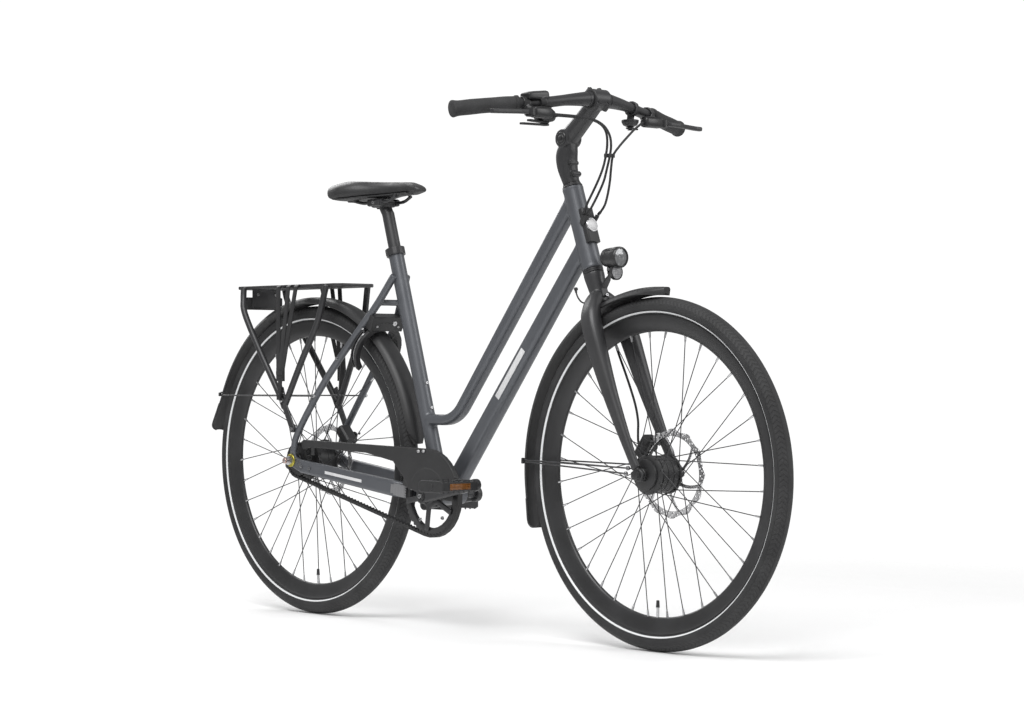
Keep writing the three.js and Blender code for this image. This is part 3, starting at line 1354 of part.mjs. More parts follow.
function pedalShape(side) {
  const tip = crankTip(side);
  const [near, far] = [pedalPlace - pedalWidth / 2, pedalPlace + pedalWidth / 2];
  const at = (y) => vec(tip.x, side * y, tip.z);
  const face = bevelled(pedalLength, pedalHeight, pedalBevelShare).map((p) => vec(p.x + tip.x, p.y + tip.z, 0));
  const slab = (from, to) => plate(face, Math.min(side * from, side * to), Math.max(side * from, side * to));
  const bar = (end) => box(vec(pedalBarDepth, pedalWidth, pedalHeight * pedalBarShare),
    vec(tip.x + (end * (pedalLength - pedalBarDepth)) / 2, side * pedalPlace, tip.z));
  return cut(join(slab(near, near + pedalPlateThick), slab(far - pedalPlateThick, far), bar(1), bar(-1),
    rod(at(near), at(far), pedalTubeRadius, 14)), rod(at(near - overrun), at(far - pedalPlateThick / 2 + runGap),
    pedalAxleRadius + runGap, 10));
}

// Belt guard: a plate with an arch over the chainring and a lip along its outer edge
function beltGuardShape() {
  const arc = (radius, fromDeg, toDeg, steps) => Array.from({ length: steps + 1 }, (_, i) => {
    const turn = radians(mix(fromDeg, toDeg, i / steps));
    return vec(bottom.x + radius * Math.cos(turn), bottom.z + radius * Math.sin(turn), 0);
  });
  const top = bottom.z + guardRingRadius;
  const tail = [vec(guardTailX, top - guardTailRadius * 2, 0), vec(guardTailX - guardTailRadius / 2,
    top - guardTailRadius, 0), vec(guardTailX, top, 0)];
  const outline = [...arc(guardRingRadius, 90, guardFrontDeg, guardArcSteps / 2),
    ...arc(guardArchRadius, guardFrontDeg, guardRearDeg, guardArcSteps),
    ...arc(guardRingRadius, guardRearDeg, guardJoinDeg, guardArcSteps / 4),
    ...guardEdge.map(([x, z]) => vec(x, z, 0)), ...tail];
  const lipInner = guardRingRadius - guardPlateThick;
  const lip = [...arc(guardRingRadius, 90, guardFrontDeg, guardArcSteps / 2),
    ...arc(lipInner, guardFrontDeg, 90, guardArcSteps / 2),
    vec(guardTailX, bottom.z + lipInner, 0), vec(guardTailX, top, 0)];
  return join(plate(outline, -guardPlateFace, guardPlateThick - guardPlateFace),
    plate(lip, -guardPlateFace, guardLipWidth - guardPlateFace),
    crossRod(guardMountX, guardMountHeight, -guardPlateFace, -guardMountInner, guardMountRadius, 8));
}

addPiece(bicycle, 'belt', beltShape(), rubber);
addPiece(bicycle, 'belt_ring', ringShape(), blackPaint);
addPiece(bicycle, 'sprocket', sprocketShape(), darkSteel);
addPiece(bicycle, 'bottom_bracket', bottomBracketShape(), castAlloy);
addPiece(bicycle, 'crank_right', crankRightShape(), blackPaint);
addPiece(bicycle, 'crank_left', crankLeftShape(), blackPaint);
addPiece(bicycle, 'pedal_right', pedalShape(-1), blackPlastic);
addPiece(bicycle, 'pedal_left', pedalShape(1), blackPlastic);
addPiece(bicycle, 'belt_guard', beltGuardShape(), blackPlastic);

// Calipers: a block that straddles the rotor, with an ear shaped to the tube that carries it
function caliperShape(centreX, centreZ, reach, turnDeg, rotorRadius, rotorPlace, ear, carrier) {
  const turn = radians(turnDeg);
  const outward = vec(Math.cos(turn), 0, Math.sin(turn));
  const hub = vec(centreX, rotorPlace, centreZ);
  const middle = hub.clone().addScaledVector(outward, reach);
  const half = vec(-outward.z, 0, outward.x).multiplyScalar(caliperLength / 2);
  const block = loft([middle.clone().sub(half), middle.clone().add(half)], bevelled(caliperWidth, caliperHeight));
  const root = hub.clone().addScaledVector(outward, reach).setY(rotorPlace + caliperWidth / 4);
  const stem = rod(root, vec(centreX + ear[0], ear[1], centreZ + ear[2]), caliperEarRadius, 8);
  const slot = crossRod(hub.x, hub.z, rotorPlace - caliperSlot / 2, rotorPlace + caliperSlot / 2,
    rotorRadius + caliperRotorGap, 36);
  return cut(join(block, stem), slot, ...carrier);
}

const grownStay = (side) => {
  const places = seatStayPlaces.map(([x, y, z]) => vec(x, side * y, z));
  return loft(places, (i) => circle(mix(seatStayRadius, seatStayTipRadius, i / (places.length - 1)) + fitGap, staySides,
    Math.PI / staySides), xAxis);
};

addPiece(steering, 'front_caliper', caliperShape(forkOffset, 0, frontCaliperReach, frontCaliperDeg, frontRotorRadius,
  frontRotorPlace, [frontCaliperEar[0] - forkOffset, frontCaliperEar[1], frontCaliperEar[2]],
  [bladeLoft(fitGap)]), castAlloy);
addPiece(bicycle, 'rear_caliper', caliperShape(0, axleHeight, rearCaliperReach, rearCaliperDeg, rearRotorRadius,
  rearRotorPlace, [seatStayPlaces[4][0], seatStayPlaces[4][1], seatStayPlaces[4][2] - axleHeight],
  [grownStay(1)]), castAlloy);

// Mudguards: a domed strip swept round the wheel, with its wire stays
function guardSection(flare = 1, crown = guardCrown) {
  const outer = guardShares.map(([x, y]) => new THREE.Vector2(x * guardHalf * flare, y * crown));
  const inner = guardShares.map(([x, y]) => new THREE.Vector2(x * (guardHalf * flare - guardThick),
    y * crown - guardThick));
  return [...outer, ...inner.reverse()];
}

const polar = (radius, turnDeg, y = 0) => vec(radius * Math.cos(radians(turnDeg)), y, radius * Math.sin(radians(turnDeg)));

function flapEnd(backDeg, flap) {
  const turn = radians(backDeg);
  return polar(guardRadius, backDeg).addScaledVector(vec(-Math.sin(turn), 0, Math.cos(turn)), flap);
}

function guardStrip(frontDeg, backDeg, steps, flap) {
  const arc = Array.from({ length: steps + 1 }, (_, i) => polar(guardRadius, mix(backDeg, frontDeg, i / steps)));
  return loft([flapEnd(backDeg, flap), ...arc], (i) => (i ? guardSection()
    : guardSection(1 + flapFlareShare, guardCrown * flapCrownShare)));
}

const guardEdgePlace = (turnDeg, side) => polar(guardRadius - guardCrown, turnDeg, side * (guardHalf - guardThick / 2));
const wire = (from, to) => rod(from, to, wireRadius, wireSides);

function frontGuardShape() {
  const tab = (along) => onHead(0, 0, along).sub(vec(wheelBase, 0, axleHeight));
  const stays = [-1, 1].flatMap((side) => frontWireEnds.map(([x, z, y], i) => wire(
    guardEdgePlace(frontWireDeg + (i ? 1 : -1) * frontWireSpreadDeg, side),
    vec(x - wheelBase, side * y, z - axleHeight))));
  return join(guardStrip(frontGuardFrontDeg, frontGuardBackDeg, frontGuardSteps, frontFlapLength), ...stays,
    rod(tab(guardRadius - forkOffset / 4), tab(guardTabTop), guardTabRadius, 10));
}

function rearGuardShape() {
  const [x, z, y] = rearWireEnd;
  const stays = [-1, 1].map((side) => wire(guardEdgePlace(rearWireDeg, side), vec(x, side * y, z - axleHeight)));
  return join(guardStrip(rearGuardFrontDeg, rearGuardBackDeg, rearGuardSteps, rearFlapLength), ...stays);
}

addPiece(frontLevel, 'front_mudguard', frontGuardShape(), blackPaint);
const rearFixed = new THREE.Group();
rearFixed.position.copy(axlePlace);
bicycle.add(rearFixed);
addPiece(rearFixed, 'rear_mudguard', rearGuardShape(), blackPaint);

// Lamp with the reflector below it, on a bent bracket
const lampPivot = vec(lampPivotX, 0, lampPivotHeight);

function lampShape() {
  const body = turnedX(lampShares.map(([r, x]) => [r * lampRadius, x * lampLength]), 20)
    .translate(lampX - lampLength / 2, 0, lampHeight);
  const ear = (side) => {
    const from = side * (lampEarHalf + fitGap);
    const to = side * (lampEarHalf + fitGap + lampEarThick);
    const strap = box(vec(lampEarRadius * 2, lampEarThick, lampHeight - lampPivotHeight),
      vec(lampPivotX, (from + to) / 2, (lampHeight + lampPivotHeight) / 2));
    return join(crossRod(lampPivotX, lampPivotHeight, from, to, lampEarRadius, 10), strap);
  };
  const reflector = rod(vec(reflectorX, 0, reflectorHeight), vec(reflectorX + reflectorThick, 0, reflectorHeight),
    reflectorRadius, 16);
  return cut(join(body, ear(1), ear(-1), reflector), across(lampPivot, lampRadius, lampPinRadius + fitGap, 8));
}

function lampBracketShape() {
  const places = bracketRoute.map(([x, z]) => vec(wheelBase + x, 0, z));
  const top = places[places.length - 1];
  const pinHalf = lampEarHalf + fitGap + lampEarThick;
  const strip = loft(places, (i) => bevelled(i === places.length - 1 ? lampEarHalf * 2 : bracketWidth, bracketThick));
  return join(strip, loft([top, lampPivot], bevelled(lampEarHalf * 2, lampEarRadius)),
    across(lampPivot, lampEarHalf, lampPivotRadius, 10), across(lampPivot, pinHalf, lampPinRadius, 8));
}

addPiece(steered, 'lamp', lampShape(), blackPaint);
addPiece(steered, 'lamp_bracket', lampBracketShape(), blackPaint);

// Seat post, clamp and saddle
const postPlace = (rise) => seatTop.clone().addScaledVector(seatUp, rise);

function seatPostShape() {
  const head = vec(pinchX, 0, pinchLevel);
  const block = loft([head.clone().setY(-pinchWidth / 2), head.clone().setY(pinchWidth / 2)],
    bevelled(pinchLength, pinchHeight), xAxis);
  const neck = rod(postPlace(postShown - overrun), head, postRadius, 16, postRadius);
  const rail = (side) => rod(vec(pinchX - pinchLength, side * railHalf, pinchLevel),
    vec(pinchX + pinchLength, side * railHalf, pinchLevel), railRadius + runGap, 8);
  return cut(join(rod(postPlace(-postBuried), postPlace(postShown), postRadius, 16), neck, block), rail(1), rail(-1));
}

function saddleRow(station, widthShare, low, high) {
  const half = saddleSection.map(([x, rise]) => new THREE.Vector2(x * station.half * widthShare, mix(low, high, rise)));
  const left = half.slice(1, -1).reverse().map((p) => new THREE.Vector2(-p.x, p.y));
  return [...half, ...left];
}

const saddleRows = saddleStations.map(([along, width, crown, under]) => ({
  x: saddleRearX + along * saddleLength,
  half: width * saddleHalf,
  top: saddleTop - saddleDepth + crown * saddleDepth,
  base: saddleTop - saddleDepth + under * saddleDepth,
}));

// Outlines across the machine at stations along X, lofted with their heights as given
function stationLoft(rows, outlineOf) {
  return loft(rows.map((row) => vec(row.x, 0, 0)), (i) => outlineOf(rows[i]));
}

const cushionShape = () => stationLoft(saddleRows, (row) => saddleRow(row, 1, row.base, row.top));

function saddleBaseShape() {
  const shell = stationLoft(saddleRows.slice(1, -3), (row) => {
    const [w, high] = [row.half * shellWidthShare, row.base - fitGap];
    return [[w, high - shellThick], [w, high], [-w, high], [-w, high - shellThick]]
      .map(([x, y]) => new THREE.Vector2(x, y));
  });
  const rail = (side) => cordAlong(railRoute.map(([x, z]) => [x, side * railHalf, z]), railRadius, railSides, railSteps);
  return join(shell, rail(1), rail(-1));
}

function seatClampShape() {
  const place = (rise) => postPlace(rise);
  const ring = rod(place(-collarHeight), place(0), seatTubeRadius + collarWall, 16);
  const lobe = box(vec(collarLobe, collarLobe, collarHeight - runGap * 2), vec(0, 0, 0))
    .rotateY(Math.atan2(seatUp.x, seatUp.z))
    .translate(place(-collarHeight / 2).x - seatTubeRadius - collarWall, 0, place(-collarHeight / 2).z);
  return cut(join(ring, lobe), rod(place(-collarHeight - overrun), place(overrun), seatTubeRadius + runGap, 16));
}

function seatLeverShape() {
  const foot = vec(clampBoltX, clampBoltPlace, clampBoltHeight);
  const tip = foot.clone().add(vec(-quickLeverLength * quickLeverBackShare, quickLeverLength, 0));
  return join(loft([foot, tip], bevelled(quickLeverThick, quickLeverWidth, plateBevelShare), zAxis),
    upright(foot, foot.z - quickLeverWidth / 2, foot.z + quickLeverWidth / 2, quickLeverThick, 12));
}

addPiece(bicycle, 'seat_post', seatPostShape(), blackPaint);
addPiece(bicycle, 'saddle_cushion', cushionShape(), leather);
addPiece(bicycle, 'saddle_base', saddleBaseShape(), blackPlastic);
addPiece(bicycle, 'seat_clamp', seatClampShape(), blackPaint);
addPiece(bicycle, 'seat_clamp_lever', seatLeverShape(), blackPaint);

// Rack: a pierced deck on two bent legs each side, with a plate for the rear light
function deckShape() {
  const [near, far] = [deckRearX, deckRearX + deckLength];
  const corner = deckBarWidth;
  const outline = [[near + corner, -deckHalf], [far - corner, -deckHalf], [far, corner - deckHalf],
    [far, deckHalf - corner], [far - corner, deckHalf], [near + corner, deckHalf], [near, deckHalf - corner],
    [near, corner - deckHalf]].map(([x, y]) => new THREE.Vector2(x, y));
  const slab = new THREE.ExtrudeGeometry(new THREE.Shape(outline), { depth: deckBarDepth, bevelEnabled: false })
    .translate(0, 0, deckHeight - deckBarDepth);
  const ends = [0, ...rackCrossShares, 1];
  const inner = deckHalf - deckBarWidth;
  const lanes = [[-inner, -deckSlatHalf - deckBarWidth / 2], [deckBarWidth / 2 - deckSlatHalf,
    deckSlatHalf - deckBarWidth / 2], [deckSlatHalf + deckBarWidth / 2, inner]];
  const windows = [];
  for (let i = 0; i + 1 < ends.length; i += 1) {
    const low = near + ends[i] * deckLength + (i ? deckBarWidth / 2 : deckBarWidth);
    const high = near + ends[i + 1] * deckLength - (i + 2 < ends.length ? deckBarWidth / 2 : deckBarWidth);
    lanes.forEach(([a, b]) => windows.push(box(vec(high - low, b - a, deckBarDepth * 2),
      vec((high + low) / 2, (a + b) / 2, deckHeight - deckBarDepth / 2))));
  }
  const grooves = strapPlaces.map((x) => box(vec(strapWidth + fitGap * 2, deckHalf * 3, strapThick + fitGap * 3),
    vec(x, 0, deckHeight - strapThick / 2 - fitGap / 2)));
  return cut(slab, ...windows, ...grooves);
}

function rackShape() {
  const leg = (route, side) => loft(route.map(([x, y, z]) => vec(x, side * y, z)),
    circle(rackLegRadius, rackSides, Math.PI / rackSides));
  const foot = (side) => {
    const low = side > 0 ? rackFootPlate : -rackFootPlate - rackFootThick;
    return plate(rackFootOutline.map(([x, z]) => vec(x, z, 0)), low, low + rackFootThick);
  };
  const [lightLow, lightHigh] = [lightPlateHeight - lightPlateDepth / 2, deckHeight - deckBarDepth / 2];
  const light = box(vec(lightPlateThick, rearLightWidth, lightHigh - lightLow),
    vec(lightPlateX, 0, (lightLow + lightHigh) / 2));
  const body = join(deckShape(), light, ...[-1, 1].flatMap((side) => [leg(rackRearLeg, side), leg(rackFrontLeg, side),
    foot(side)]));
  return body;
}

addPiece(bicycle, 'rack', rackShape(), blackPaint);
addPiece(bicycle, 'rear_light', box(vec(rearLightDepth, rearLightWidth, rearLightHeight),
  vec(lightPlateX - (lightPlateThick + rearLightDepth) / 2 - fitGap, 0, lightPlateHeight)), redLens);

// Elastic straps: three bands laid into the deck, gathered by a buckle and a hook on each side
function strapsShape() {
  const flat = slabSection(strapWidth, strapThick);
  const sink = strapThick / 2 + fitGap;
  const bands = strapPlaces.map((x, i) => {
    const gather = buckleX + (i - 1) * buckleHalf * strapGatherShare;
    const half = [[x, 0, deckHeight - sink], [x, deckHalf + fitGap, deckHeight - sink],
      [x, deckHalf + sink + strapOut, deckHeight - sink - strapOut],
      [gather, strapSide, buckleHeight + buckleLength / 2 - overrun]];
    const right = half.slice(1).reverse().map(([a, b, c]) => vec(a, -b, c));
    return loft([...right, ...half.map(([a, b, c]) => vec(a, b, c))], flat, xAxis);
  });
  const ends = [-1, 1].flatMap((side) => [
    box(vec(buckleHalf * 2, buckleThick, buckleLength), vec(buckleX, side * strapSide, buckleHeight)),
    loft([vec(buckleX, side * strapSide, buckleHeight), vec(hookX, side * strapSide, hookHeight)], flat, xAxis),
    box(vec(buckleHalf, buckleThick, buckleHalf), vec(hookX, side * strapSide, hookHeight))]);
  return join(...bands, ...ends);
}

addPiece(bicycle, 'rack_straps', strapsShape(), rubber);

// Ring lock, drawn level and then leaned and set in front of the seat stays
const lockMatrix = new THREE.Matrix4().makeRotationY(radians(lockLeanDeg)).setPosition(lockX, 0, lockHeight);
const lockTurn = (radius, turnDeg, x = 0) => vec(x, -radius * Math.sin(radians(turnDeg)),
  -radius * Math.cos(radians(turnDeg)));
const lockSlab = (outline, back, front) => loft([vec(back, 0, 0), vec(front, 0, 0)],
  outline.map((p) => new THREE.Vector2(p.y, p.z)));

function lockShape() {
  const [inner, outer] = [lockRingRadius - lockRingHalf, lockRingRadius + lockRingHalf];
  const far = outer + knobLength;
  const ring = turnedX([[inner, lockBack], [outer, lockBack], [outer, lockFront], [inner, lockFront]], lockSteps);
  const body = box(vec(lockBodyFront - lockBack, lockBodyHalf * 2, lockBodyTop - inner),
    vec((lockBodyFront + lockBack) / 2, 0, (lockBodyTop + inner) / 2));
  const mouth = lockSlab([vec(0, 0, 0), lockTurn(far * 2, -lockMouthDeg), lockTurn(far * 2, lockMouthDeg)],
    lockBack - overrun, lockBodyFront + overrun);
  const arc = (radius, from, to) => Array.from({ length: shackleSteps + 1 },
    (_, i) => lockTurn(radius, mix(from, to, i / shackleSteps)));
  const slot = lockSlab([...arc(lockRingRadius, lockMouthDeg - 1, shackleToDeg + 1),
    ...arc(far, shackleToDeg + 1, lockMouthDeg - 1)], -lockSlotHalf, lockSlotHalf);
  const channel = turnedX(circle(lockChannelRadius, 8).map((p) => [p.x + lockRingRadius, p.y]), lockSteps);
  const hollow = turnedX([[0, lockBack - overrun], [inner, lockBack - overrun], [inner, lockBodyFront + overrun],
    [0, lockBodyFront + overrun]], lockSteps);
  const shape = cut(join(ring, body), hollow, channel, mouth, slot);
  const placed = solid(geometryOf(shape).applyMatrix4(lockMatrix));
  return largest(cut(placed, grownStay(1), grownStay(-1)));
}

function shackleShape() {
  const places = Array.from({ length: shackleSteps + 1 },
    (_, i) => lockTurn(lockRingRadius, mix(shackleFromDeg, shackleToDeg, i / shackleSteps)));
  const knobDeg = shackleToDeg - knobBack;
  const knob = rod(lockTurn(lockRingRadius, knobDeg), lockTurn(lockRingRadius + knobLength, knobDeg), knobRadius, 10);
  return geometryOf(join(loft(places, circle(shackleRadius, 8), xAxis), knob)).applyMatrix4(lockMatrix);
}

addPiece(bicycle, 'ring_lock', lockShape(), blackPlastic);
addPiece(bicycle, 'lock_shackle', shackleShape(), bareSteel);

// Kickstand, folded up beside the rear wheel
function kickstandShape() {
  const away = vec(-Math.cos(radians(standRiseDeg)), 0, Math.sin(radians(standRiseDeg)));
  const tip = standPivot.clone().addScaledVector(away, standLength);
  const foot = tip.clone().addScaledVector(away, -standFootLength);
  return cut(join(rod(hingePoint(standHeadHalf), hingePoint(-standHeadHalf), standHeadRadius, 16),
    rod(standPivot, tip, standRadius, 12), rod(foot, tip, standFootRadius, 12)),
  rod(hingePoint(standHeadHalf + overrun), hingePoint(-standHeadHalf - overrun), standPinRadius + runGap, 12));
}

addPiece(bicycle, 'kickstand', kickstandShape(), blackPaint);

// Cords
const cord = (name, route, radius, steps) => addPiece(steered, name, cordAlong(route, radius, cordSides, steps), rubber);
cord('shift_cable', shiftCordRoute, hoseRadius, 21);
cord('rear_brake_hose', rearHoseRoute, hoseRadius, 21);
cord('front_brake_hose', frontHoseRoute, hoseRadius, 21);
cord('front_caliper_hose', caliperHoseRoute, hoseRadius, 18);
cord('lamp_cable', lampLeadRoute, lampLeadRadius, 12);

bicycle.position.x = -(wheelBase + tyreRadius + flapEnd(rearGuardBackDeg, rearFlapLength).x) / 2;
const whole = new THREE.Group();
whole.add(bicycle);
export default whole;
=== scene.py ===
"""Step-through city bicycle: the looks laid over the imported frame."""

import logging
import math
from dataclasses import dataclass
from enum import Enum
from typing import Callable, Optional, Sequence, Union

import bmesh
import bpy
from mathutils import Matrix, Vector


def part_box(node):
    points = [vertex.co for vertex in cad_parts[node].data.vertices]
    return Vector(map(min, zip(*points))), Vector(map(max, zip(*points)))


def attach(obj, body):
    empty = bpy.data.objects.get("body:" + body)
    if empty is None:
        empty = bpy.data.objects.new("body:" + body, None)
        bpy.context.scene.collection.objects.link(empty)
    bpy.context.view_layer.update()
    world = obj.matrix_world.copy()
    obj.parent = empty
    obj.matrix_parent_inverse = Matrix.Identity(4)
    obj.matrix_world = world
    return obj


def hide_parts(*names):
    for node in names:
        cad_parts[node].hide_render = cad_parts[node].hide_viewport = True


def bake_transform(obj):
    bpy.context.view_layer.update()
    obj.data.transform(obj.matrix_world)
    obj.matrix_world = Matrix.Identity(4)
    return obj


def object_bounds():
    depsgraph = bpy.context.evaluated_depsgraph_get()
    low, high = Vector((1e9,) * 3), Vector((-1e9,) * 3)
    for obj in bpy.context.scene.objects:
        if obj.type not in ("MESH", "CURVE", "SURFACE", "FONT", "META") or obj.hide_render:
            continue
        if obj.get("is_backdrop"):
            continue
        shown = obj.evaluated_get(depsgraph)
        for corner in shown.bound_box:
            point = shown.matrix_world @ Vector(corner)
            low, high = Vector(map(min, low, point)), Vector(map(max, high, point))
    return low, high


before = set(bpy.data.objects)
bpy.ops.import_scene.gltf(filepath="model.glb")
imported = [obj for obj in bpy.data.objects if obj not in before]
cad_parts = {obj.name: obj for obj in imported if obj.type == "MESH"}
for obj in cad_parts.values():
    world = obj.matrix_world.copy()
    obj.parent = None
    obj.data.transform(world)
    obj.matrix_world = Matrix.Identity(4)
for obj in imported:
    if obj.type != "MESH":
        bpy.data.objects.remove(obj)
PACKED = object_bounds()
LOG = logging.getLogger("bicycle")

SHIFT = 536.6337
UNIT = 0.001
TO_ROW = Matrix.Translation((-SHIFT * UNIT, 0, 0)) @ Matrix.Scale(UNIT, 4)
TO_MACHINE = TO_ROW.inverted()
X = Vector((1, 0, 0))
Y = Vector((0, 1, 0))
Z = Vector((0, 0, 1))
WHEEL_BASE = 1093
TYRE_RADIUS = 352
HEAD_ANGLE = math.radians(70.75)
FORK_OFFSET = 39.2
HEAD_UP = Vector((-math.cos(HEAD_ANGLE), 0, math.sin(HEAD_ANGLE)))
HEAD_FORWARD = Vector((math.sin(HEAD_ANGLE), 0, math.cos(HEAD_ANGLE)))
REAR_AXLE = Vector((0, 0, TYRE_RADIUS))
FRONT_AXLE = Vector((WHEEL_BASE, 0, TYRE_RADIUS))
STEER_FOOT = FRONT_AXLE - FORK_OFFSET * HEAD_FORWARD
BOTTOM = Vector((465, 0, 288))
CRANK_LENGTH = 170
CRANK_TURN = 10
SEAT_FOOT = Vector((443, 0, 288))
SEAT_TOP = Vector((281, 0, 826))
SEAT_UP = (SEAT_TOP - SEAT_FOOT).normalized()

Number = Union[float, "Field"]
Piece = bpy.types.Object
Faces = list[bmesh.types.BMFace]
SIDES = (-1, 1)


def vec(*numbers: float) -> Vector:
    """Vector of the given numbers."""
    return Vector(numbers)


def on_head(forward: float, side: float, along: float) -> Vector:
    """Place given in the steering head's own directions, in the machine's millimetres."""
    return STEER_FOOT + forward * HEAD_FORWARD + side * Y + along * HEAD_UP


def on_circle(centre: Vector, radius: float, degrees: float, side: float = 0.0) -> Vector:
    """Place at a radius and a turn round a sideways axis through a centre."""
    turn = math.radians(degrees)
    return centre + vec(radius * math.cos(turn), side, radius * math.sin(turn))


class Field:
    """A number that varies over a surface, written with plain arithmetic."""

    def __init__(self, surface: "Surface", socket: bpy.types.NodeSocket) -> None:
        """Keeps the material and the socket that gives the number."""
        self.surface = surface
        self.socket = socket

    def maths(self, operation: str, *others: Number) -> "Field":
        """One Math node fed by this field and others."""
        node = self.surface.tree.nodes.new("ShaderNodeMath")
        node.operation = operation
        for slot, value in zip(node.inputs, (self, *others)):
            self.surface.feed(slot, value)
        return Field(self.surface, node.outputs[0])

    def __add__(self, other: Number) -> "Field":
        """Sum of two fields."""
        return self.maths("ADD", other)

    __radd__ = __add__

    def __sub__(self, other: Number) -> "Field":
        """Difference of two fields."""
        return self.maths("SUBTRACT", other)

    def __rsub__(self, other: float) -> "Field":
        """A number less this field."""
        return self.maths("MULTIPLY", -1).maths("ADD", other)

    def __mul__(self, other: Number) -> "Field":
        """Product of two fields."""
        return self.maths("MULTIPLY", other)

    __rmul__ = __mul__

    def __truediv__(self, other: Number) -> "Field":
        """Quotient of two fields."""
        return self.maths("DIVIDE", other)

    def __pow__(self, other: Number) -> "Field":
        """Power of a field."""
        return self.maths("POWER", other)

    def __abs__(self) -> "Field":
        """Size of a field without its sign."""
        return self.maths("ABSOLUTE")

    def wrapped(self, length: float) -> "Field":
        """Field folded into a saw of the given length."""
        return self.maths("PINGPONG", length)

    def between(self, low: float, high: float, soft: float) -> "Field":
        """One inside a band and nought outside it."""
        return self.span(low - soft, low + soft) * self.span(high + soft, high - soft)

    def span(self, low: float, high: float, to_low: float = 0.0, to_high: float = 1.0) -> "Field":
        """Field stretched from one range onto another and held inside it."""
        node = self.surface.tree.nodes.new("ShaderNodeMapRange")
        node.clamp = True
        for slot, value in zip(node.inputs, (self, low, high, to_low, to_high)):
            self.surface.feed(slot, value)
        return Field(self.surface, node.outputs[0])


Colour = tuple[float, float, float]


class Surface:
    """One material, made of a single glossy shader and the fields that feed it."""

    def __init__(self, name: str) -> None:
        """Starts an empty material of that name."""
        self.material = bpy.data.materials.new(name)
        self.material.use_nodes = True
        self.tree = self.material.node_tree
        self.shader = self.tree.nodes["Principled BSDF"]
        coordinates = self.tree.nodes.new("ShaderNodeTexCoord")
        self.object_place = coordinates.outputs["Object"]
        self.uv_place = coordinates.outputs["UV"]

    def feed(self, slot: bpy.types.NodeSocket, value: object) -> None:
        """Joins a field or a socket to a slot, or sets a plain value on it."""
        if isinstance(value, Field):
            self.tree.links.new(value.socket, slot)
        elif isinstance(value, bpy.types.NodeSocket):
            self.tree.links.new(value, slot)
        else:
            slot.default_value = value

    def node(self, kind: str, settings: Optional[dict] = None, **inputs: object) -> bpy.types.Node:
        """Adds any other node."""
        made = self.tree.nodes.new(kind)
        for key, value in (settings or {}).items():
            setattr(made, key, value)
        for key, value in inputs.items():
            self.feed(made.inputs[key.replace("_", " ")], value)
        return made

    def places(self, centre: Vector = vec(0.0, 0.0, 0.0)) -> tuple[Field, Field, Field]:
        """Machine places X, Y and Z in millimetres, measured from a centre."""
        offset = centre - vec(SHIFT, 0, 0)
        mapped = self.node("ShaderNodeMapping", {"vector_type": "POINT"}, Vector=self.object_place,
                           Scale=(1000, 1000, 1000), Location=tuple(-offset))
        parts = self.node("ShaderNodeSeparateXYZ", None, Vector=mapped.outputs[0])
        return tuple(Field(self, parts.outputs[k]) for k in range(3))

    def along_uv(self) -> tuple[Field, Field]:
        """The piece's own two map directions."""
        parts = self.node("ShaderNodeSeparateXYZ", None, Vector=self.uv_place)
        return Field(self, parts.outputs[0]), Field(self, parts.outputs[1])

    def grain(self, size: float, detail: float = 3.0, roughness: float = 0.55,
              stretch: Colour = (1.0, 1.0, 1.0)) -> Field:
        """Noise whose features have about the given size in millimetres."""
        scale = 1000 / size
        mapped = self.node("ShaderNodeMapping", None, Vector=self.object_place, Scale=tuple(scale * s for s in stretch))
        made = self.node(
            "ShaderNodeTexNoise", None, Vector=mapped.outputs[0], Scale=1, Detail=detail, Roughness=roughness)
        return Field(self, made.outputs[0])

    def cells(self, size: float, feature: str = "F1") -> Field:
        """Pebble pattern with cells of about the given size in millimetres."""
        made = self.node("ShaderNodeTexVoronoi", {"feature": feature}, Vector=self.object_place, Scale=1000 / size)
        return Field(self, made.outputs[0])

    def blend(self, mask: Number, first: object, second: object) -> bpy.types.NodeSocket:
        """Colour that goes from the first to the second as the mask rises."""
        made = self.node("ShaderNodeMix", {"data_type": "RGBA"})
        self.feed(made.inputs[0], mask)
        for slot, value in ((made.inputs[6], first), (made.inputs[7], second)):
            self.feed(slot, (*value, 1) if isinstance(value, tuple) else value)
        return made.outputs[2]

    def relief(self, height: Field, depth: float) -> None:
        """Bumps of the given depth in millimetres on the shader's normal."""
        made = self.node("ShaderNodeBump", None, Height=height, Distance=depth * UNIT, Strength=1)
        self.tree.links.new(made.outputs[0], self.shader.inputs["Normal"])

    def gloss(self, **inputs: object) -> None:
        """Sets the shader's own sockets, by name with underscores for blanks."""
        for key, value in inputs.items():
            if isinstance(value, tuple):
                value = (*value, 1)
            self.feed(self.shader.inputs[key.replace("_", " ")], value)


@dataclass(frozen=True)
class Recipe:
    """What a material is called; each kind below says how its shader is fed."""

    name: str

    def dress(self, made: Surface) -> None:
        """Feeds the shader of an empty material."""
        raise NotImplementedError

    def build(self) -> bpy.types.Material:
        """Builds the material."""
        made = Surface(self.name)
        self.dress(made)
        return made.material


@dataclass(frozen=True)
class Paint(Recipe):
    """Powder coat or lacquer: fine orange peel, dust in the lows and rubbed spots."""

    colour: Colour
    dusty: Colour
    roughness: float
    metallic: float = 0.0
    coat: float = 0.15
    peel: float = 1.1
    fleck: float = 0.35

    def dress(self, made: Surface) -> None:
        """Feeds the shader."""
        cloud = made.grain(70, 4)
        fleck = made.grain(self.fleck, 2)
        mask = cloud.span(0.42, 0.72) * 0.55 + fleck.span(0.35, 0.75) * 0.35
        made.gloss(Base_Color=made.blend(mask, self.colour, self.dusty), Metallic=self.metallic,
                   Roughness=cloud.span(0.3, 0.7, self.roughness - 0.05, self.roughness + 0.07)
                   + fleck.span(0.3, 0.7, -0.03, 0.03), Coat_Weight=self.coat, Coat_Roughness=0.25)
        made.relief(made.grain(self.peel, 2), 0.02)


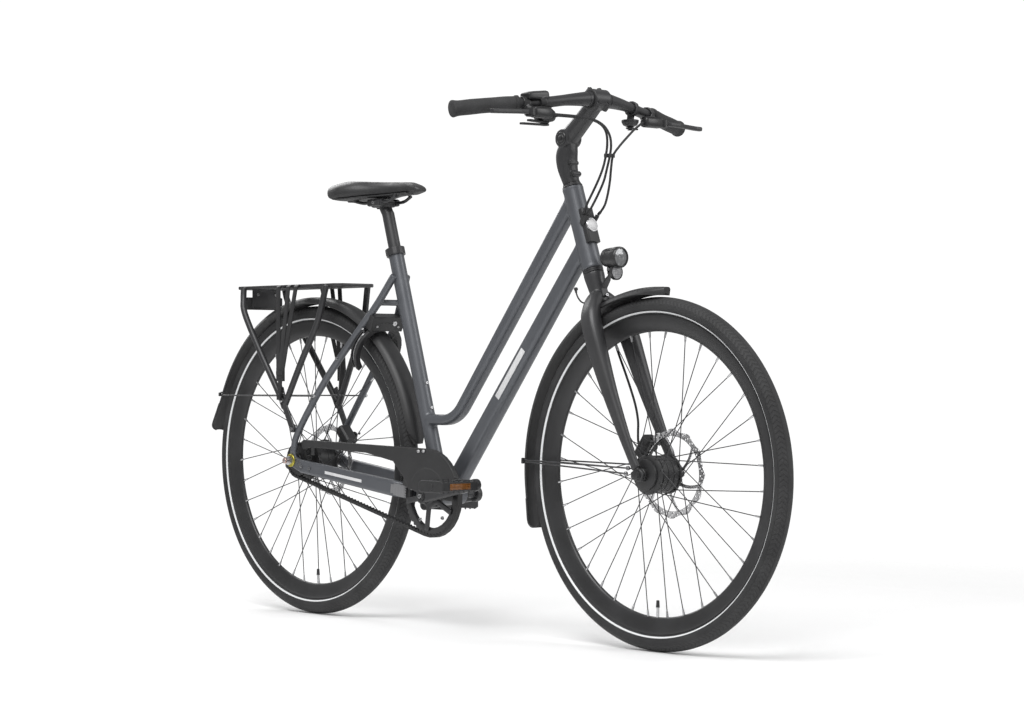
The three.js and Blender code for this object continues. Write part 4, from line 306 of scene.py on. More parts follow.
@dataclass(frozen=True)
class Moulded(Recipe):
    """Moulded plastic or rubber with a spark-eroded grain."""

    colour: Colour
    worn: Colour
    roughness: float
    grain: float = 0.7
    depth: float = 0.05

    def dress(self, made: Surface) -> None:
        """Feeds the shader."""
        cloud = made.grain(38, 4)
        fine = made.grain(self.grain, 3, 0.6)
        made.gloss(
            Base_Color=made.blend(cloud.span(0.4, 0.75) * 0.6 + fine.span(0.45, 0.8) * 0.3, self.colour, self.worn),
            Roughness=fine.span(0.3, 0.7, self.roughness - 0.06, self.roughness + 0.06))
        made.relief(fine, self.depth)


@dataclass(frozen=True)
class Metal(Recipe):
    """Bare metal with drawn or turned lines along one direction."""

    colour: Colour
    dull: Colour
    roughness: float
    lines: Colour = (1, 1, 0.04)
    size: float = 1.2

    def dress(self, made: Surface) -> None:
        """Feeds the shader."""
        lines = made.grain(self.size, 3, 0.6, self.lines)
        cloud = made.grain(24, 3)
        made.gloss(
            Base_Color=made.blend(cloud.span(0.4, 0.7) * 0.6 + lines.span(0.4, 0.7) * 0.4, self.colour, self.dull),
            Metallic=1, Roughness=lines.span(0.25, 0.75, self.roughness - 0.07, self.roughness + 0.1))
        made.relief(lines, 0.015)


@dataclass(frozen=True)
class Lens(Recipe):
    """Prismed or fluted lamp glass over a bright or coloured back."""

    colour: Colour
    deep: Colour
    pitch: float
    centre: tuple[float, float, float]
    roughness: float = 0.12
    metallic: float = 0.0

    def dress(self, made: Surface) -> None:
        """Feeds the shader."""
        _, y, z = made.places(Vector(self.centre))
        prisms = (y.wrapped(self.pitch) / self.pitch) * (z.wrapped(self.pitch) / self.pitch)
        cloud = made.grain(9, 2)
        made.gloss(
            Base_Color=made.blend(prisms.span(0.1, 0.8) * 0.6 + cloud.span(0.4, 0.7) * 0.4, self.deep, self.colour),
            Metallic=self.metallic, Roughness=cloud.span(0.3, 0.7, self.roughness, self.roughness + 0.12),
            Coat_Weight=0.6, Coat_Roughness=0.05)
        made.relief(prisms, 0.35)


@dataclass(frozen=True)
class Tyre(Recipe):
    """Tyre rubber: blocks on the tread, ribs on the wall and a reflective band above the rim."""

    centre: tuple[float, float, float]
    blocks: int = 210
    band_low: float = 320.5
    band_high: float = 323.5

    def dress(self, made: Surface) -> None:
        """Feeds the shader."""
        x, y, z = made.places(Vector(self.centre))
        radius = (x * x + z * z) ** 0.5
        turn = z.maths("ARCTAN2", x) * (self.blocks / math.tau)
        tread = radius.span(336.5, 338.5)
        slant = turn + (y.wrapped(7) * 0.11)
        cross = (slant.wrapped(0.5) * 2).span(0.2, 0.42)
        rows = (abs(y) - 6.4).maths("ABSOLUTE").span(0.5, 1.3)
        blocks = cross.maths("MAXIMUM", abs(y).span(6.6, 6)) * rows
        ribs = (turn * 4).wrapped(0.5) * radius.between(327.5, 334.5, 0.6)
        wall_ring = radius.between(325.6, 326.6, 0.2) + radius.between(335.2, 336.2, 0.2)
        fine = made.grain(0.9, 3)
        dust = made.grain(55, 4).span(0.35, 0.75)
        band = radius.between(self.band_low, self.band_high, 0.12)
        rubber = made.blend(dust * 0.55 + tread * blocks * 0.25, (0.017, 0.017, 0.018), (0.045, 0.045, 0.046))
        made.gloss(Base_Color=made.blend(band, rubber, (0.78, 0.79, 0.8)),
                   Roughness=band.span(0, 1, 0.72, 0.34) + fine.span(0.3, 0.7, -0.06, 0.06))
        made.relief(tread * blocks * 1 + ribs * 0.3 + wall_ring * 0.6 + fine * 0.08, 0.9)


@dataclass(frozen=True)
class Disc(Recipe):
    """Ground brake disc: fine turned lines, and round holes in its track shown as clear spots."""

    centre: tuple[float, float, float]
    track: float
    count: int = 34
    hole: float = 2.3

    def dress(self, made: Surface) -> None:
        """Feeds the shader."""
        x, _, z = made.places(Vector(self.centre))
        radius = (x * x + z * z) ** 0.5
        turn = z.maths("ARCTAN2", x) * (self.count / math.tau) + self.count
        holes = None
        for row in (-1, 0, 1):
            ring = self.track + row * 4.6
            across = ((turn + row / 3).wrapped(1) - 0.5) * (math.tau * ring / self.count)
            away = radius - ring
            spot = ((across * across + away * away) ** 0.5).span(self.hole, self.hole - 0.3)
            holes = spot if holes is None else holes.maths("MAXIMUM", spot)
        lines = (radius * 1.4).wrapped(0.5)
        cloud = made.grain(24, 3)
        made.gloss(Base_Color=made.blend(cloud.span(0.4, 0.7) * 0.6 + lines * 0.5, (0.8, 0.8, 0.81), (0.6, 0.6, 0.61)),
                   Metallic=1, Roughness=lines.span(0, 0.5, 0.3, 0.42), Alpha=1 - holes)
        made.relief(lines, 0.01)


@dataclass(frozen=True)
class Leather(Recipe):
    """Matt coated cover: pebbled grain, a smoother crown, and painted light that colours the crown paler than the
    sides.
    """

    colour: Colour = (0.02, 0.02, 0.021)
    # lit: colour of the painted highlight on the crown, which paler creases also reach
    lit: Colour = (0.034, 0.034, 0.036)

    def dress(self, made: Surface) -> None:
        """Feeds the shader."""
        _, _, z = made.places()
        pebbles = made.cells(1.5, "SMOOTH_F1")
        creases = made.grain(16, 5, 0.65)
        # crown: painted highlight, the top of the cover coloured paler as if lit from above; it also makes the top a
        # little smoother
        crown = z.span(958, 974)
        made.gloss(
            Base_Color=made.blend(creases.span(0.4, 0.7) * 0.5 + crown * 0.4, self.colour, self.lit),
            Roughness=pebbles.span(0.1, 0.6, 0.4, 0.54) - crown * 0.05, Coat_Weight=0.08, Coat_Roughness=0.35)
        made.relief(pebbles * 0.7 + creases * 0.5, 0.09)


@dataclass(frozen=True)
class Ribbed(Recipe):
    """Grip rubber with rows of small diamonds between smooth bands."""

    colour: Colour = (0.02, 0.02, 0.021)
    worn: Colour = (0.045, 0.045, 0.047)

    def dress(self, made: Surface) -> None:
        """Feeds the shader."""
        around, along = made.along_uv()
        first = ((around * 34 + along * 40).wrapped(0.5) * 2).span(0.2, 0.5)
        second = ((around * 34 - along * 40).wrapped(0.5) * 2).span(0.2, 0.5)
        diamonds = first * second * along.between(0.1, 0.86, 0.01)
        fine = made.grain(0.8, 3)
        made.gloss(
            Base_Color=made.blend(diamonds * 0.4 + made.grain(30).span(0.4, 0.7) * 0.4, self.colour, self.worn),
            Roughness=fine.span(0.3, 0.7, 0.62, 0.76))
        made.relief(diamonds + fine * 0.2, 0.16)


class Finish(Enum):
    """Every finish on the machine, each with the recipe of its material."""

    FRAME = Paint("frame_paint", (0.088, 0.093, 0.104), (0.108, 0.113, 0.125), 0.38, 0.3, 0.25)
    FORK = Paint("fork_paint", (0.034, 0.034, 0.036), (0.044, 0.044, 0.046), 0.42, 0.15, 0.15)
    BLACK = Paint("black_lacquer", (0.02, 0.02, 0.022), (0.034, 0.034, 0.036), 0.42, 0, 0.15)
    CAST = Paint("cast_black", (0.016, 0.016, 0.017), (0.03, 0.03, 0.031), 0.48, 0.1, 0.1, 1.6, 0.8)
    RIM = Paint("rim_black", (0.026, 0.026, 0.027), (0.042, 0.042, 0.044), 0.36, 0.3, 0.1)
    SPOKE = Metal("spoke_steel", (0.1, 0.1, 0.103), (0.06, 0.06, 0.062), 0.36, (0.3, 0.3, 0.3))
    STEEL = Metal("bright_steel", (0.6, 0.6, 0.61), (0.42, 0.42, 0.43), 0.26)
    FRONT_DISC = Disc("front_disc_steel", (WHEEL_BASE, 0, TYRE_RADIUS), 82.5)
    REAR_DISC = Disc("rear_disc_steel", (0, 0, TYRE_RADIUS), 74.5)
    PLASTIC = Moulded("moulded_black", (0.018, 0.018, 0.019), (0.032, 0.032, 0.034), 0.5)
    GREY = Moulded("grey_plate", (0.17, 0.17, 0.176), (0.2, 0.2, 0.206), 0.42, 0.2, 0.02)
    SATIN = Moulded("satin_plastic", (0.02, 0.02, 0.021), (0.03, 0.03, 0.031), 0.32, 0.5, 0.02)
    RUBBER = Moulded("cord_rubber", (0.014, 0.014, 0.015), (0.026, 0.026, 0.027), 0.5, 0.9, 0.04)
    BELT = Moulded("belt_rubber", (0.014, 0.014, 0.015), (0.03, 0.03, 0.03), 0.62, 1.1, 0.1)
    STRAP = Moulded("strap_rubber", (0.016, 0.016, 0.017), (0.028, 0.028, 0.029), 0.58, 1.2, 0.12)
    GUARD = Moulded("guard_plastic", (0.02, 0.02, 0.021), (0.03, 0.03, 0.031), 0.46, 0.8, 0.05)
    FRONT_TYRE = Tyre("front_tyre_rubber", (WHEEL_BASE, 0, TYRE_RADIUS))
    REAR_TYRE = Tyre("rear_tyre_rubber", (0, 0, TYRE_RADIUS))
    LEATHER = Leather("saddle_cover")
    GRIP = Ribbed("grip_rubber")
    AMBER = Lens("amber_reflector", (0.27, 0.1, 0.014), (0.13, 0.045, 0.006), 2.2, (0, 0, 0))
    RED = Lens("rear_lens", (0.5, 0.02, 0.02), (0.16, 0.006, 0.006), 2.4, (0, 0, 0))
    CLEAR = Lens("clear_reflector", (0.5, 0.5, 0.51), (0.26, 0.26, 0.27), 2.4, (0, 0, 756))
    LAMP = Lens("lamp_glass", (0.34, 0.345, 0.35), (0.2, 0.205, 0.21), 5.2, (0, 0, 787), 0.08, 0.5)
    BRASS = Metal("yellow_washer", (0.62, 0.55, 0.1), (0.4, 0.34, 0.08), 0.34)
    COPPER = Metal("copper_end", (0.62, 0.42, 0.36), (0.45, 0.3, 0.26), 0.3)
    PALE = Moulded("pale_band", (0.62, 0.62, 0.63), (0.74, 0.74, 0.74), 0.38, 0.6, 0.02)


class Palette:
    """Builds each finish once and hands it out."""

    def __init__(self) -> None:
        """Starts with no finish built."""
        self.built: dict[Finish, bpy.types.Material] = {}

    def __getitem__(self, finish: Finish) -> bpy.types.Material:
        """Material of a finish, built on first use."""
        if finish not in self.built:
            self.built[finish] = finish.value.build()
        return self.built[finish]


PALETTE = Palette()
Outline = Sequence[tuple[float, float]]


def rounded(width: float, depth: float, corner: float, steps: int = 4) -> list[tuple[float, float]]:
    """Box outline with rounded corners, running counterclockwise."""
    points = []
    for quarter in range(4):
        middle_x = (width / 2 - corner) * (1 if quarter in (0, 3) else -1)
        middle_y = (depth / 2 - corner) * (1 if quarter < 2 else -1)
        for k in range(steps + 1):
            turn = math.pi / 2 * (quarter + k / steps)
            points.append((middle_x + corner * math.cos(turn), middle_y + corner * math.sin(turn)))
    return points


def band(inner: float, outer: float, low: float, high: float) -> list[tuple[float, float]]:
    """Section of a square ring as radius and height."""
    return [(inner, low), (outer, low), (outer, high), (inner, high)]


def round_outline(radius: float, sides: int) -> list[tuple[float, float]]:
    """Circle outline with the given number of sides."""
    return [(radius * math.cos(math.tau * k / sides), radius * math.sin(math.tau * k / sides)) for k in range(sides)]


def basis(along: Vector, side: Vector) -> Matrix:
    """Turn whose third axis runs along a path and whose first leans to a side."""
    third = along.normalized()
    first = (side - side.dot(third) * third).normalized()
    second = third.cross(first)
    return Matrix((first, second, third)).transposed().to_4x4()


def smooth_path(points: Sequence[Vector], steps: int) -> list[Vector]:
    """Points evenly spread in number along a smooth curve through the given ones."""
    ends = [2 * points[0] - points[1], *points, 2 * points[-1] - points[-2]]
    found = []
    for a, b, c, d in zip(ends, ends[1:], ends[2:], ends[3:]):
        for k in range(steps):
            t = k / steps
            found.append(0.5 * (2 * b + (c - a) * t + (2 * a - 5 * b + 4 * c - d) * t * t
                                + (3 * b - a - 3 * c + d) * t ** 3))
    return [*found, points[-1].copy()]


class Shape:
    """A piece being modelled with bmesh operators, in the machine's millimetres."""

    def __init__(self) -> None:
        """Starts an empty mesh."""
        self.bm = bmesh.new()
        self.uv = self.bm.loops.layers.uv.new("map")
        self.finishes: list[Finish] = []

    def slot(self, finish: Optional[Finish]) -> int:
        """Number of the material slot that holds a finish."""
        if finish is None:
            return 0
        if finish not in self.finishes:
            self.finishes.append(finish)
        return self.finishes.index(finish)

    def _mark(self, before: set, finish: Optional[Finish]) -> Faces:
        """Gives the faces made since then their finish."""
        fresh = [f for f in self.bm.faces if f not in before]
        number = self.slot(finish)
        for face in fresh:
            face.material_index = number
        return fresh

    def sweep(self, path: Sequence[Vector], outline: Union[Outline, Callable[[int], Outline]], side: Vector = Y,
              finish: Optional[Finish] = None) -> Faces:
        """Draws an outline along a path by extruding its edge ring.

        Args:
            path: places of the stations.
            outline: the outline, or one for each station.
            side: direction of the outline's first axis.
            finish: finish of the new faces.
        """
        before = set(self.bm.faces)
        pick = outline if callable(outline) else lambda _: outline
        rings = []
        for i, place in enumerate(path):
            back, ahead = path[max(i - 1, 0)], path[min(i + 1, len(path) - 1)]
            into = (place - back).normalized() if (place - back).length else Vector()
            out = (ahead - place).normalized() if (ahead - place).length else Vector()
            turn = Matrix.Translation(place) @ basis(into + out, side)
            corners = [turn @ vec(x, y, 0) for x, y in pick(i)]
            if not rings:
                verts = [self.bm.verts.new(c) for c in corners]
                edges = [self.bm.edges.new((a, b)) for a, b in zip(verts, verts[1:] + verts[:1])]
            else:
                made = bmesh.ops.extrude_edge_only(self.bm, edges=rings[-1][1])["geom"]
                edges, verts = self._following(rings[-1], made)
                for vert, corner in zip(verts, corners):
                    vert.co = corner
            rings.append((verts, edges))
        self.bm.faces.new(list(reversed(rings[0][0])))
        self.bm.faces.new(rings[-1][0])
        fresh = self._mark(before, finish)
        self._unwrap(rings, path)
        return fresh

    def _following(self, ring: tuple, made: list) -> tuple[list, list]:
        """Edges and corners of a fresh ring, in the order of the one before it."""
        fresh = {g for g in made if isinstance(g, bmesh.types.BMVert)}
        verts = []
        for vert in ring[0]:
            verts.append(next(e.other_vert(vert) for e in vert.link_edges if e.other_vert(vert) in fresh))
        edges = [self.bm.edges.get((a, b)) for a, b in zip(verts, verts[1:] + verts[:1])]
        return edges, verts

    def _unwrap(self, rings: list, path: Sequence[Vector]) -> None:
        """Lays a map over a swept skin: round it and along it."""
        where = {}
        for i, (verts, _) in enumerate(rings):
            for k, vert in enumerate(verts):
                where[vert] = (k / len(verts), i / max(1, len(path) - 1))
        for verts, _ in rings:
            for vert in verts:
                for loop in vert.link_loops:
                    u, v = where[vert]
                    others = [where[other.vert][0] for other in loop.face.loops if other.vert in where]
                    if len(others) == 4 and max(others) - min(others) > 0.5 and u < 0.25:
                        u += 1
                    loop[self.uv].uv = (u, v)

    def loft(self, stations: Sequence[Sequence[float]], corner: float = 0.45, steps: int = 6, side: Vector = Y,
             finish: Optional[Finish] = None) -> Faces:
        """Tube with rounded corners through stations of place, width and depth."""
        points = smooth_path([Vector(s) for s in stations], steps)
        sizes = [(p[3], p[4], corner * min(p[3], p[4])) for p in points]
        return self.sweep([Vector(p[:3]) for p in points], lambda i: rounded(*sizes[i]), side, finish)

    def tube(self, stations: Sequence[Sequence[float]], sides: int = 16, steps: int = 6, side: Vector = Y,
             finish: Optional[Finish] = None) -> Faces:
        """Round tube through stations of place and radius."""
        points = smooth_path([Vector(s) for s in stations], steps)
        return self.sweep([Vector(p[:3]) for p in points], lambda i: round_outline(points[i][3], sides), side, finish)

    def fuse(self, voxel: float, rounds: int = 4) -> None:
        """Joins all parts into one skin with soft fillets where they meet."""
        bmesh.ops.recalc_face_normals(self.bm, faces=self.bm.faces)
        mesh = bpy.data.meshes.new("fuse")
        self.bm.to_mesh(mesh)
        holder = bpy.data.objects.new("fuse", mesh)
        bpy.context.scene.collection.objects.link(holder)
        net = holder.modifiers.new("net", "REMESH")
        net.mode = "VOXEL"
        net.voxel_size = voxel
        soft = holder.modifiers.new("soft", "SMOOTH")
        soft.factor = 0.5
        soft.iterations = rounds
        bpy.context.view_layer.update()
        fresh = bpy.data.meshes.new_from_object(holder.evaluated_get(bpy.context.evaluated_depsgraph_get()))
        self.bm.clear()
        self.bm.from_mesh(fresh)
        self.uv = self.bm.loops.layers.uv.verify()
        bpy.data.objects.remove(holder)
        bpy.data.meshes.remove(mesh)
        bpy.data.meshes.remove(fresh)

    def rod(self, start: Vector, end: Vector, radius: float, sides: int = 20, end_radius: Optional[float] = None,
            finish: Optional[Finish] = None) -> Faces:
        """Round bar between two places, made as a capped cone and set along them."""
        before = set(self.bm.faces)
        along = end - start
        side = X if abs(along.normalized().dot(Y)) > 0.9 else Y
        turn = Matrix.Translation((start + end) / 2) @ basis(along, side)
        bmesh.ops.create_cone(self.bm, cap_ends=True, segments=sides, radius1=radius,
                              radius2=radius if end_radius is None else end_radius, depth=along.length, matrix=turn)
        return self._mark(before, finish)

    def block(self, size: Sequence[float], place: Vector, turn: Optional[Matrix] = None,
              finish: Optional[Finish] = None, edge: float = 0.0) -> Faces:
        """Box with softened edges, set at a place."""
        before = set(self.bm.faces)
        matrix = Matrix.Translation(place) @ (turn or Matrix.Identity(4)) @ Matrix.Diagonal((*size, 1))
        made = bmesh.ops.create_cube(self.bm, size=1, matrix=matrix)
        if edge:
            edges = {e for v in made["verts"] for e in v.link_edges}
            bmesh.ops.bevel(
                self.bm, geom=list(edges), offset=edge, segments=2, profile=0.5, affect="EDGES", material=-1)
        return self._mark(before, finish)

    def turned(self, profile: Outline, centre: Vector, steps: int, axis: Vector = Y, up: Vector = Z,
               finish: Optional[Finish] = None) -> Faces:
        """Closed profile of radius and height spun round an axis through a centre.

        Args:
            profile: corners of the section as radius and height along the axis.
            centre: place on the axis where the height is nought.
            steps: faces round the turn.
            axis: direction of the axis.
            up: direction in which the section is drawn.
            finish: finish of the new faces.
        """
        before = set(self.bm.faces)
        verts = [self.bm.verts.new(centre + r * up + h * axis) for r, h in profile]
        edges = [self.bm.edges.new((a, b)) for a, b in zip(verts, verts[1:] + verts[:1])]
        bmesh.ops.spin(self.bm, geom=[*verts, *edges], cent=centre, axis=axis, angle=math.tau, steps=steps,
                       dvec=(0, 0, 0), use_merge=True)
        fresh = [f for f in self.bm.faces if f not in before]
        around = list({v for f in fresh for v in f.verts})
        bmesh.ops.remove_doubles(self.bm, verts=around, dist=0.001)
        fresh = [f for f in self.bm.faces if f not in before]
        bmesh.ops.recalc_face_normals(self.bm, faces=fresh)
        return self._mark(before, finish)

    def node(self, name: str, edge: float = 0.0, finish: Optional[Finish] = None, sharp: float = 28.0,
             segments: int = 2) -> Faces:
        """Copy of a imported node, its doubles merged, its flats joined and its edges softened.

        Args:
            name: the node.
            edge: width of the soft edge, in millimetres.
            finish: finish of the new faces.
            sharp: angle in degrees from which an edge is softened.
            segments: faces across the soft edge.
        """
        before = set(self.bm.faces)
        kept = bmesh.new()
        kept.from_mesh(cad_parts[name].data)
        bmesh.ops.transform(kept, matrix=TO_MACHINE, verts=kept.verts)
        bmesh.ops.remove_doubles(kept, verts=kept.verts, dist=0.01)
        bmesh.ops.dissolve_limit(kept, angle_limit=math.radians(1), verts=kept.verts, edges=kept.edges)
        if edge:
            rim = [e for e in kept.edges if len(e.link_faces) == 2 and e.calc_face_angle(0) > math.radians(sharp)]
            bmesh.ops.bevel(kept, geom=rim, offset=edge, segments=segments, profile=0.5, affect="EDGES", material=-1,
                            clamp_overlap=True)
        fresh = bpy.data.meshes.new("copy")
        kept.to_mesh(fresh)
        kept.free()
        self.bm.from_mesh(fresh)
        bpy.data.meshes.remove(fresh)
        return self._mark(before, finish)

    def screw(self, place: Vector, out: Vector, radius: float, finish: Finish = Finish.STEEL) -> None:
        """Socket-headed screw that stands on a surface."""
        self.rod(place, place + out * radius * 0.8, radius, 14, radius * 0.86, finish)
        self.rod(place + out * radius * 0.75, place + out * radius * 0.84, radius * 0.5, 6, None, Finish.CAST)

    def object(self, name: str, body: str, finish: Finish, replaces: Sequence[str] = (), slot: Optional[str] = None,
               sharp: float = 34.0) -> Piece:
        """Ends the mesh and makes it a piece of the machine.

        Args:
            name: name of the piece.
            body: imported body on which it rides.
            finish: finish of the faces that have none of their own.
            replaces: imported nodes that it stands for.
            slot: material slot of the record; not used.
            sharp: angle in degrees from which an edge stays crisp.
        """
        order = self.finishes or [finish]
        bmesh.ops.recalc_face_normals(self.bm, faces=self.bm.faces)
        bmesh.ops.transform(self.bm, matrix=TO_ROW, verts=self.bm.verts)
        for face in self.bm.faces:
            face.smooth = True
        for edge in self.bm.edges:
            if len(edge.link_faces) == 2 and edge.calc_face_angle(0) > math.radians(sharp):
                edge.smooth = False
        mesh = bpy.data.meshes.new(name)
        self.bm.to_mesh(mesh)
        self.bm.free()
        made = bpy.data.objects.new(name, mesh)
        bpy.context.scene.collection.objects.link(made)
        for one in order:
            mesh.materials.append(PALETTE[one])
        if body:
            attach(made, body)
        if replaces:
            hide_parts(*replaces)
        LOG.info("%s: %d faces on %s", name, len(mesh.polygons), body)
        return made


@dataclass
class Wheel:
    """A wheel: tyre, rim, spokes with nipples, hub shell and brake rotor."""

    name: str
    centre: Vector
    tyre: Finish
    phase: float
    flange: float
    hub: Outline
    rotor: float
    hub_radius: float
    spokes: int = 36
    spoke_radius: float = 1.05
    spoke_skew: float = 50.0
    nipple_radius: float = 1.9
    nipple_place: float = 284.0
    nipple_length: float = 13.0
    rotor_radius: float = 90.0
    rotor_track: float = 15.0
    rotor_arms: int = 6
    disc: Finish = Finish.FRONT_DISC

    def place(self, radius: float, turn: float, side: float) -> Vector:
        """Place at a radius and a turn in degrees about the axle."""
        return on_circle(self.centre, radius, turn, side)

    def build(self) -> list[Piece]:
        """Builds the pieces of the wheel."""
        return [self.build_tyre(), self.build_rim(), self.build_spokes(), self.build_hub(), self.build_rotor()]

    def build_tyre(self) -> Piece:
        """Tyre casing with a rounded crown and a bead that goes into the rim."""
        shape = Shape()
        wall = [(312, 9.4), (316.2, 10.4), (319, 13.6), (322.5, 17.2), (327, 19.9), (331.5, 20.9),
                (336, 20.3), (339, 18.9), (342.2, 16.4), (345.6, 12.8), (348.7, 8.6), (350.9, 4.4)]
        profile = [(r, -h) for r, h in wall] + [(351.8, 0)] + [(r, h) for r, h in reversed(wall)]
        shape.turned(profile, self.centre, 192)
        return shape.object(
            f"{self.name}_tyre_casing", f"{self.name}_wheel", self.tyre, [f"{self.name}_tyre"], "tyre", 80)

    def build_rim(self) -> Piece:
        """Rim with hooked edges, a curved keel and the valve."""
        shape = Shape()
        half = [(316.4, 11.3), (316.5, 12.3), (315.2, 12.6), (311.5, 12.1), (306, 11.3), (299, 9.9),
                (292.5, 7.6), (287, 5.2), (283.9, 3.2), (283, 0)]
        well = [(308.5, -8.6), (308.5, 8.6), (313.2, 9.3)]
        profile = [(r, -h) for r, h in half] + [(r, h) for r, h in reversed(half[:-1])] + list(reversed(well))
        shape.turned(profile + [(313.2, -9.3)], self.centre, 192, finish=Finish.RIM)
        turn = 265 + self.phase if self.name == "front" else 270 + self.phase
        shape.rod(self.place(286, turn, 0), self.place(262, turn, 0), 3.1, 14, None, Finish.STEEL)
        shape.rod(self.place(264, turn, 0), self.place(250, turn, 0), 4, 14, 3, Finish.PLASTIC)
        return shape.object(
            f"{self.name}_rim_hoop", f"{self.name}_wheel", Finish.RIM, [f"{self.name}_rim"], "black_paint", 50)

    def build_spokes(self) -> Piece:
        """Crossed spokes with elbows at the flanges and nipples at the rim."""
        shape = Shape()
        for i in range(self.spokes):
            side = 1 if i % 2 else -1
            lead = 1 if i % 4 < 2 else -1
            turn = i * 360 / self.spokes + self.phase
            head = self.place(self.nipple_place, turn, side * 2)
            foot = self.place(self.hub_radius, turn + lead * self.spoke_skew, side * (self.flange + lead * 2.4))
            shape.rod(foot, head, self.spoke_radius, 6, None, Finish.SPOKE)
            along = (head - foot).normalized()
            shape.rod(head - along * self.nipple_length, head, self.nipple_radius, 8, 2.6, Finish.STEEL)
            shape.rod(foot - Y * side * lead * 3.4, foot + Y * side * lead * 0.8, 1.9, 8, None, Finish.SPOKE)
        return shape.object(
            f"{self.name}_spokes", f"{self.name}_wheel", Finish.SPOKE, [f"{self.name}_hub"], "dark_steel")

    def build_hub(self) -> Piece:
        """Hub shell, turned from its profile."""
        shape = Shape()
        shape.turned(self.hub, self.centre, 72, finish=Finish.CAST)
        for i in range(self.spokes // 2):
            turn = i * 720 / self.spokes + self.phase
            for side in SIDES:
                out = self.flange + 2.5
                shape.rod(self.place(self.hub_radius - 4.4, turn + 8, side * (out - 1.5)),
                          self.place(self.hub_radius - 4.4, turn + 8, side * out), 2, 8, None, Finish.PLASTIC)
        return shape.object(
            f"{self.name}_hub_shell", f"{self.name}_wheel", Finish.CAST, [f"{self.name}_hub"], "black_paint", 30)

    def build_rotor(self) -> Piece:
        """Drilled brake track on curved arms and a screwed carrier."""
        shape = Shape()
        inner, outer, columns = self.rotor_radius - self.rotor_track, self.rotor_radius, 144
        turn = Matrix.Translation(self.centre + Y * self.rotor) @ Matrix.Rotation(math.pi / 2, 4, "X")
        made = bmesh.ops.create_circle(shape.bm, segments=columns, radius=inner, matrix=turn)
        ring = list({e for v in made["verts"] for e in v.link_edges})
        for k in range(1, 4):
            grown = bmesh.ops.extrude_edge_only(shape.bm, edges=ring)["geom"]
            ring = [g for g in grown if isinstance(g, bmesh.types.BMEdge)]
            verts = [g for g in grown if isinstance(g, bmesh.types.BMVert)]
            size = (inner + (outer - inner) * k / 3) / (inner + (outer - inner) * (k - 1) / 3)
            bmesh.ops.scale(shape.bm, vec=(size, 1, size), verts=verts, space=Matrix.Translation(-self.centre))
        bmesh.ops.recalc_face_normals(shape.bm, faces=shape.bm.faces)
        for edge in ring:
            for vert in edge.verts:
                away = vert.co - self.centre
                turn = math.atan2(away.z, away.x)
                vert.co = self.centre + away * (1 + 0.013 * math.cos(turn * 12)) / 1.013
        bmesh.ops.solidify(shape.bm, geom=shape.bm.faces, thickness=2)
        shape.slot(self.disc)
        for k in range(self.rotor_arms):
            path = [self.place(22 + (inner - 20) * s, k * 60 + 10 + 34 * s ** 0.8, self.rotor)
                    for s in (0, 0.2, 0.4, 0.6, 0.8, 1)]
            shape.sweep(path, rounded(1.9, 7, 0.6, 1), finish=self.disc)
            shape.screw(self.place(19.5, k * 60 + 30, self.rotor + 1.2), Y, 2.6)
        shape.turned(band(14, 26, -1.6, 1.6), self.centre + Y * self.rotor, 48, finish=self.disc)
        return shape.object(
            f"{self.name}_brake_rotor", f"{self.name}_wheel", self.disc, [f"{self.name}_rotor"], "steel", 30)


FRONT_HUB = [
    (8, -49.5), (12, -49.5), (13, -48.5), (13, -41), (27.5, -40), (30.5, -38.8), (31, -37), (31, -34), (29.6, -33.6),
    (29.6, -32), (32.4, -31.4), (38.5, -29.2), (40, -28.2), (40, -25.8), (39, -25), (36.6, -24.6), (36.4, -20.5),
    (37.5, -20.2), (37.5, -9), (36.4, -8.6), (36.4, -7), (37.5, -6.6), (37.5, 6.6), (36.4, 7), (36.4, 8.6), (37.5, 9),
    (37.5, 20.2), (36.4, 20.5), (36.6, 24.6), (39, 25), (40, 25.8), (40, 28.2), (38.5, 29.2), (32, 31.4), (26, 32),
    (25, 34), (24.5, 39.2), (16, 39.4), (13, 43), (13, 48.5), (12, 49.5), (8, 49.5)]
REAR_HUB = [
    (9, -57.5), (15, -57.5), (15.6, -56.6), (15.6, -41), (26, -40), (29.4, -38.8), (30, -37), (30, -33), (32, -31),
    (43, -29), (46, -27.6), (46, -24.4), (43, -23.8), (40, -23), (39, -19), (40, -18.6), (40, -6), (39, -5.6),
    (39, 5.6), (40, 6), (40, 18.6), (39, 19), (40, 23), (43, 23.8), (46, 24.4), (46, 27.6), (43, 29), (32, 31),
    (26, 32), (25, 40.2), (16, 40.6), (15.6, 44), (15.6, 56.6), (15, 57.5), (9, 57.5)]


@dataclass
class Axle:
    """Axle end caps, washers and nuts outside a fork's or a frame's ends."""

    name: str
    centre: Vector
    body: str
    nuts: Sequence[tuple[float, float, float, Finish]]
    radius: float
    finish: Finish

    def build(self) -> Piece:
        """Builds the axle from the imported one, with turned washers and chamfered nuts over it."""
        shape = Shape()
        shape.node(f"{self.name}_axle", 0.5, self.finish)
        for place, radius, width, finish in self.nuts:
            side = math.copysign(1, place)
            low, high = sorted((place, place + side * width))
            shape.turned([(self.radius, low), (radius - 0.7, low), (radius, low + 0.7), (radius, high - 0.7),
                          (radius - 0.7, high), (self.radius, high)], self.centre, 32, finish=finish)
        return shape.object(f"{self.name}_axle_ends", self.body, Finish.STEEL, [f"{self.name}_axle"], "steel")


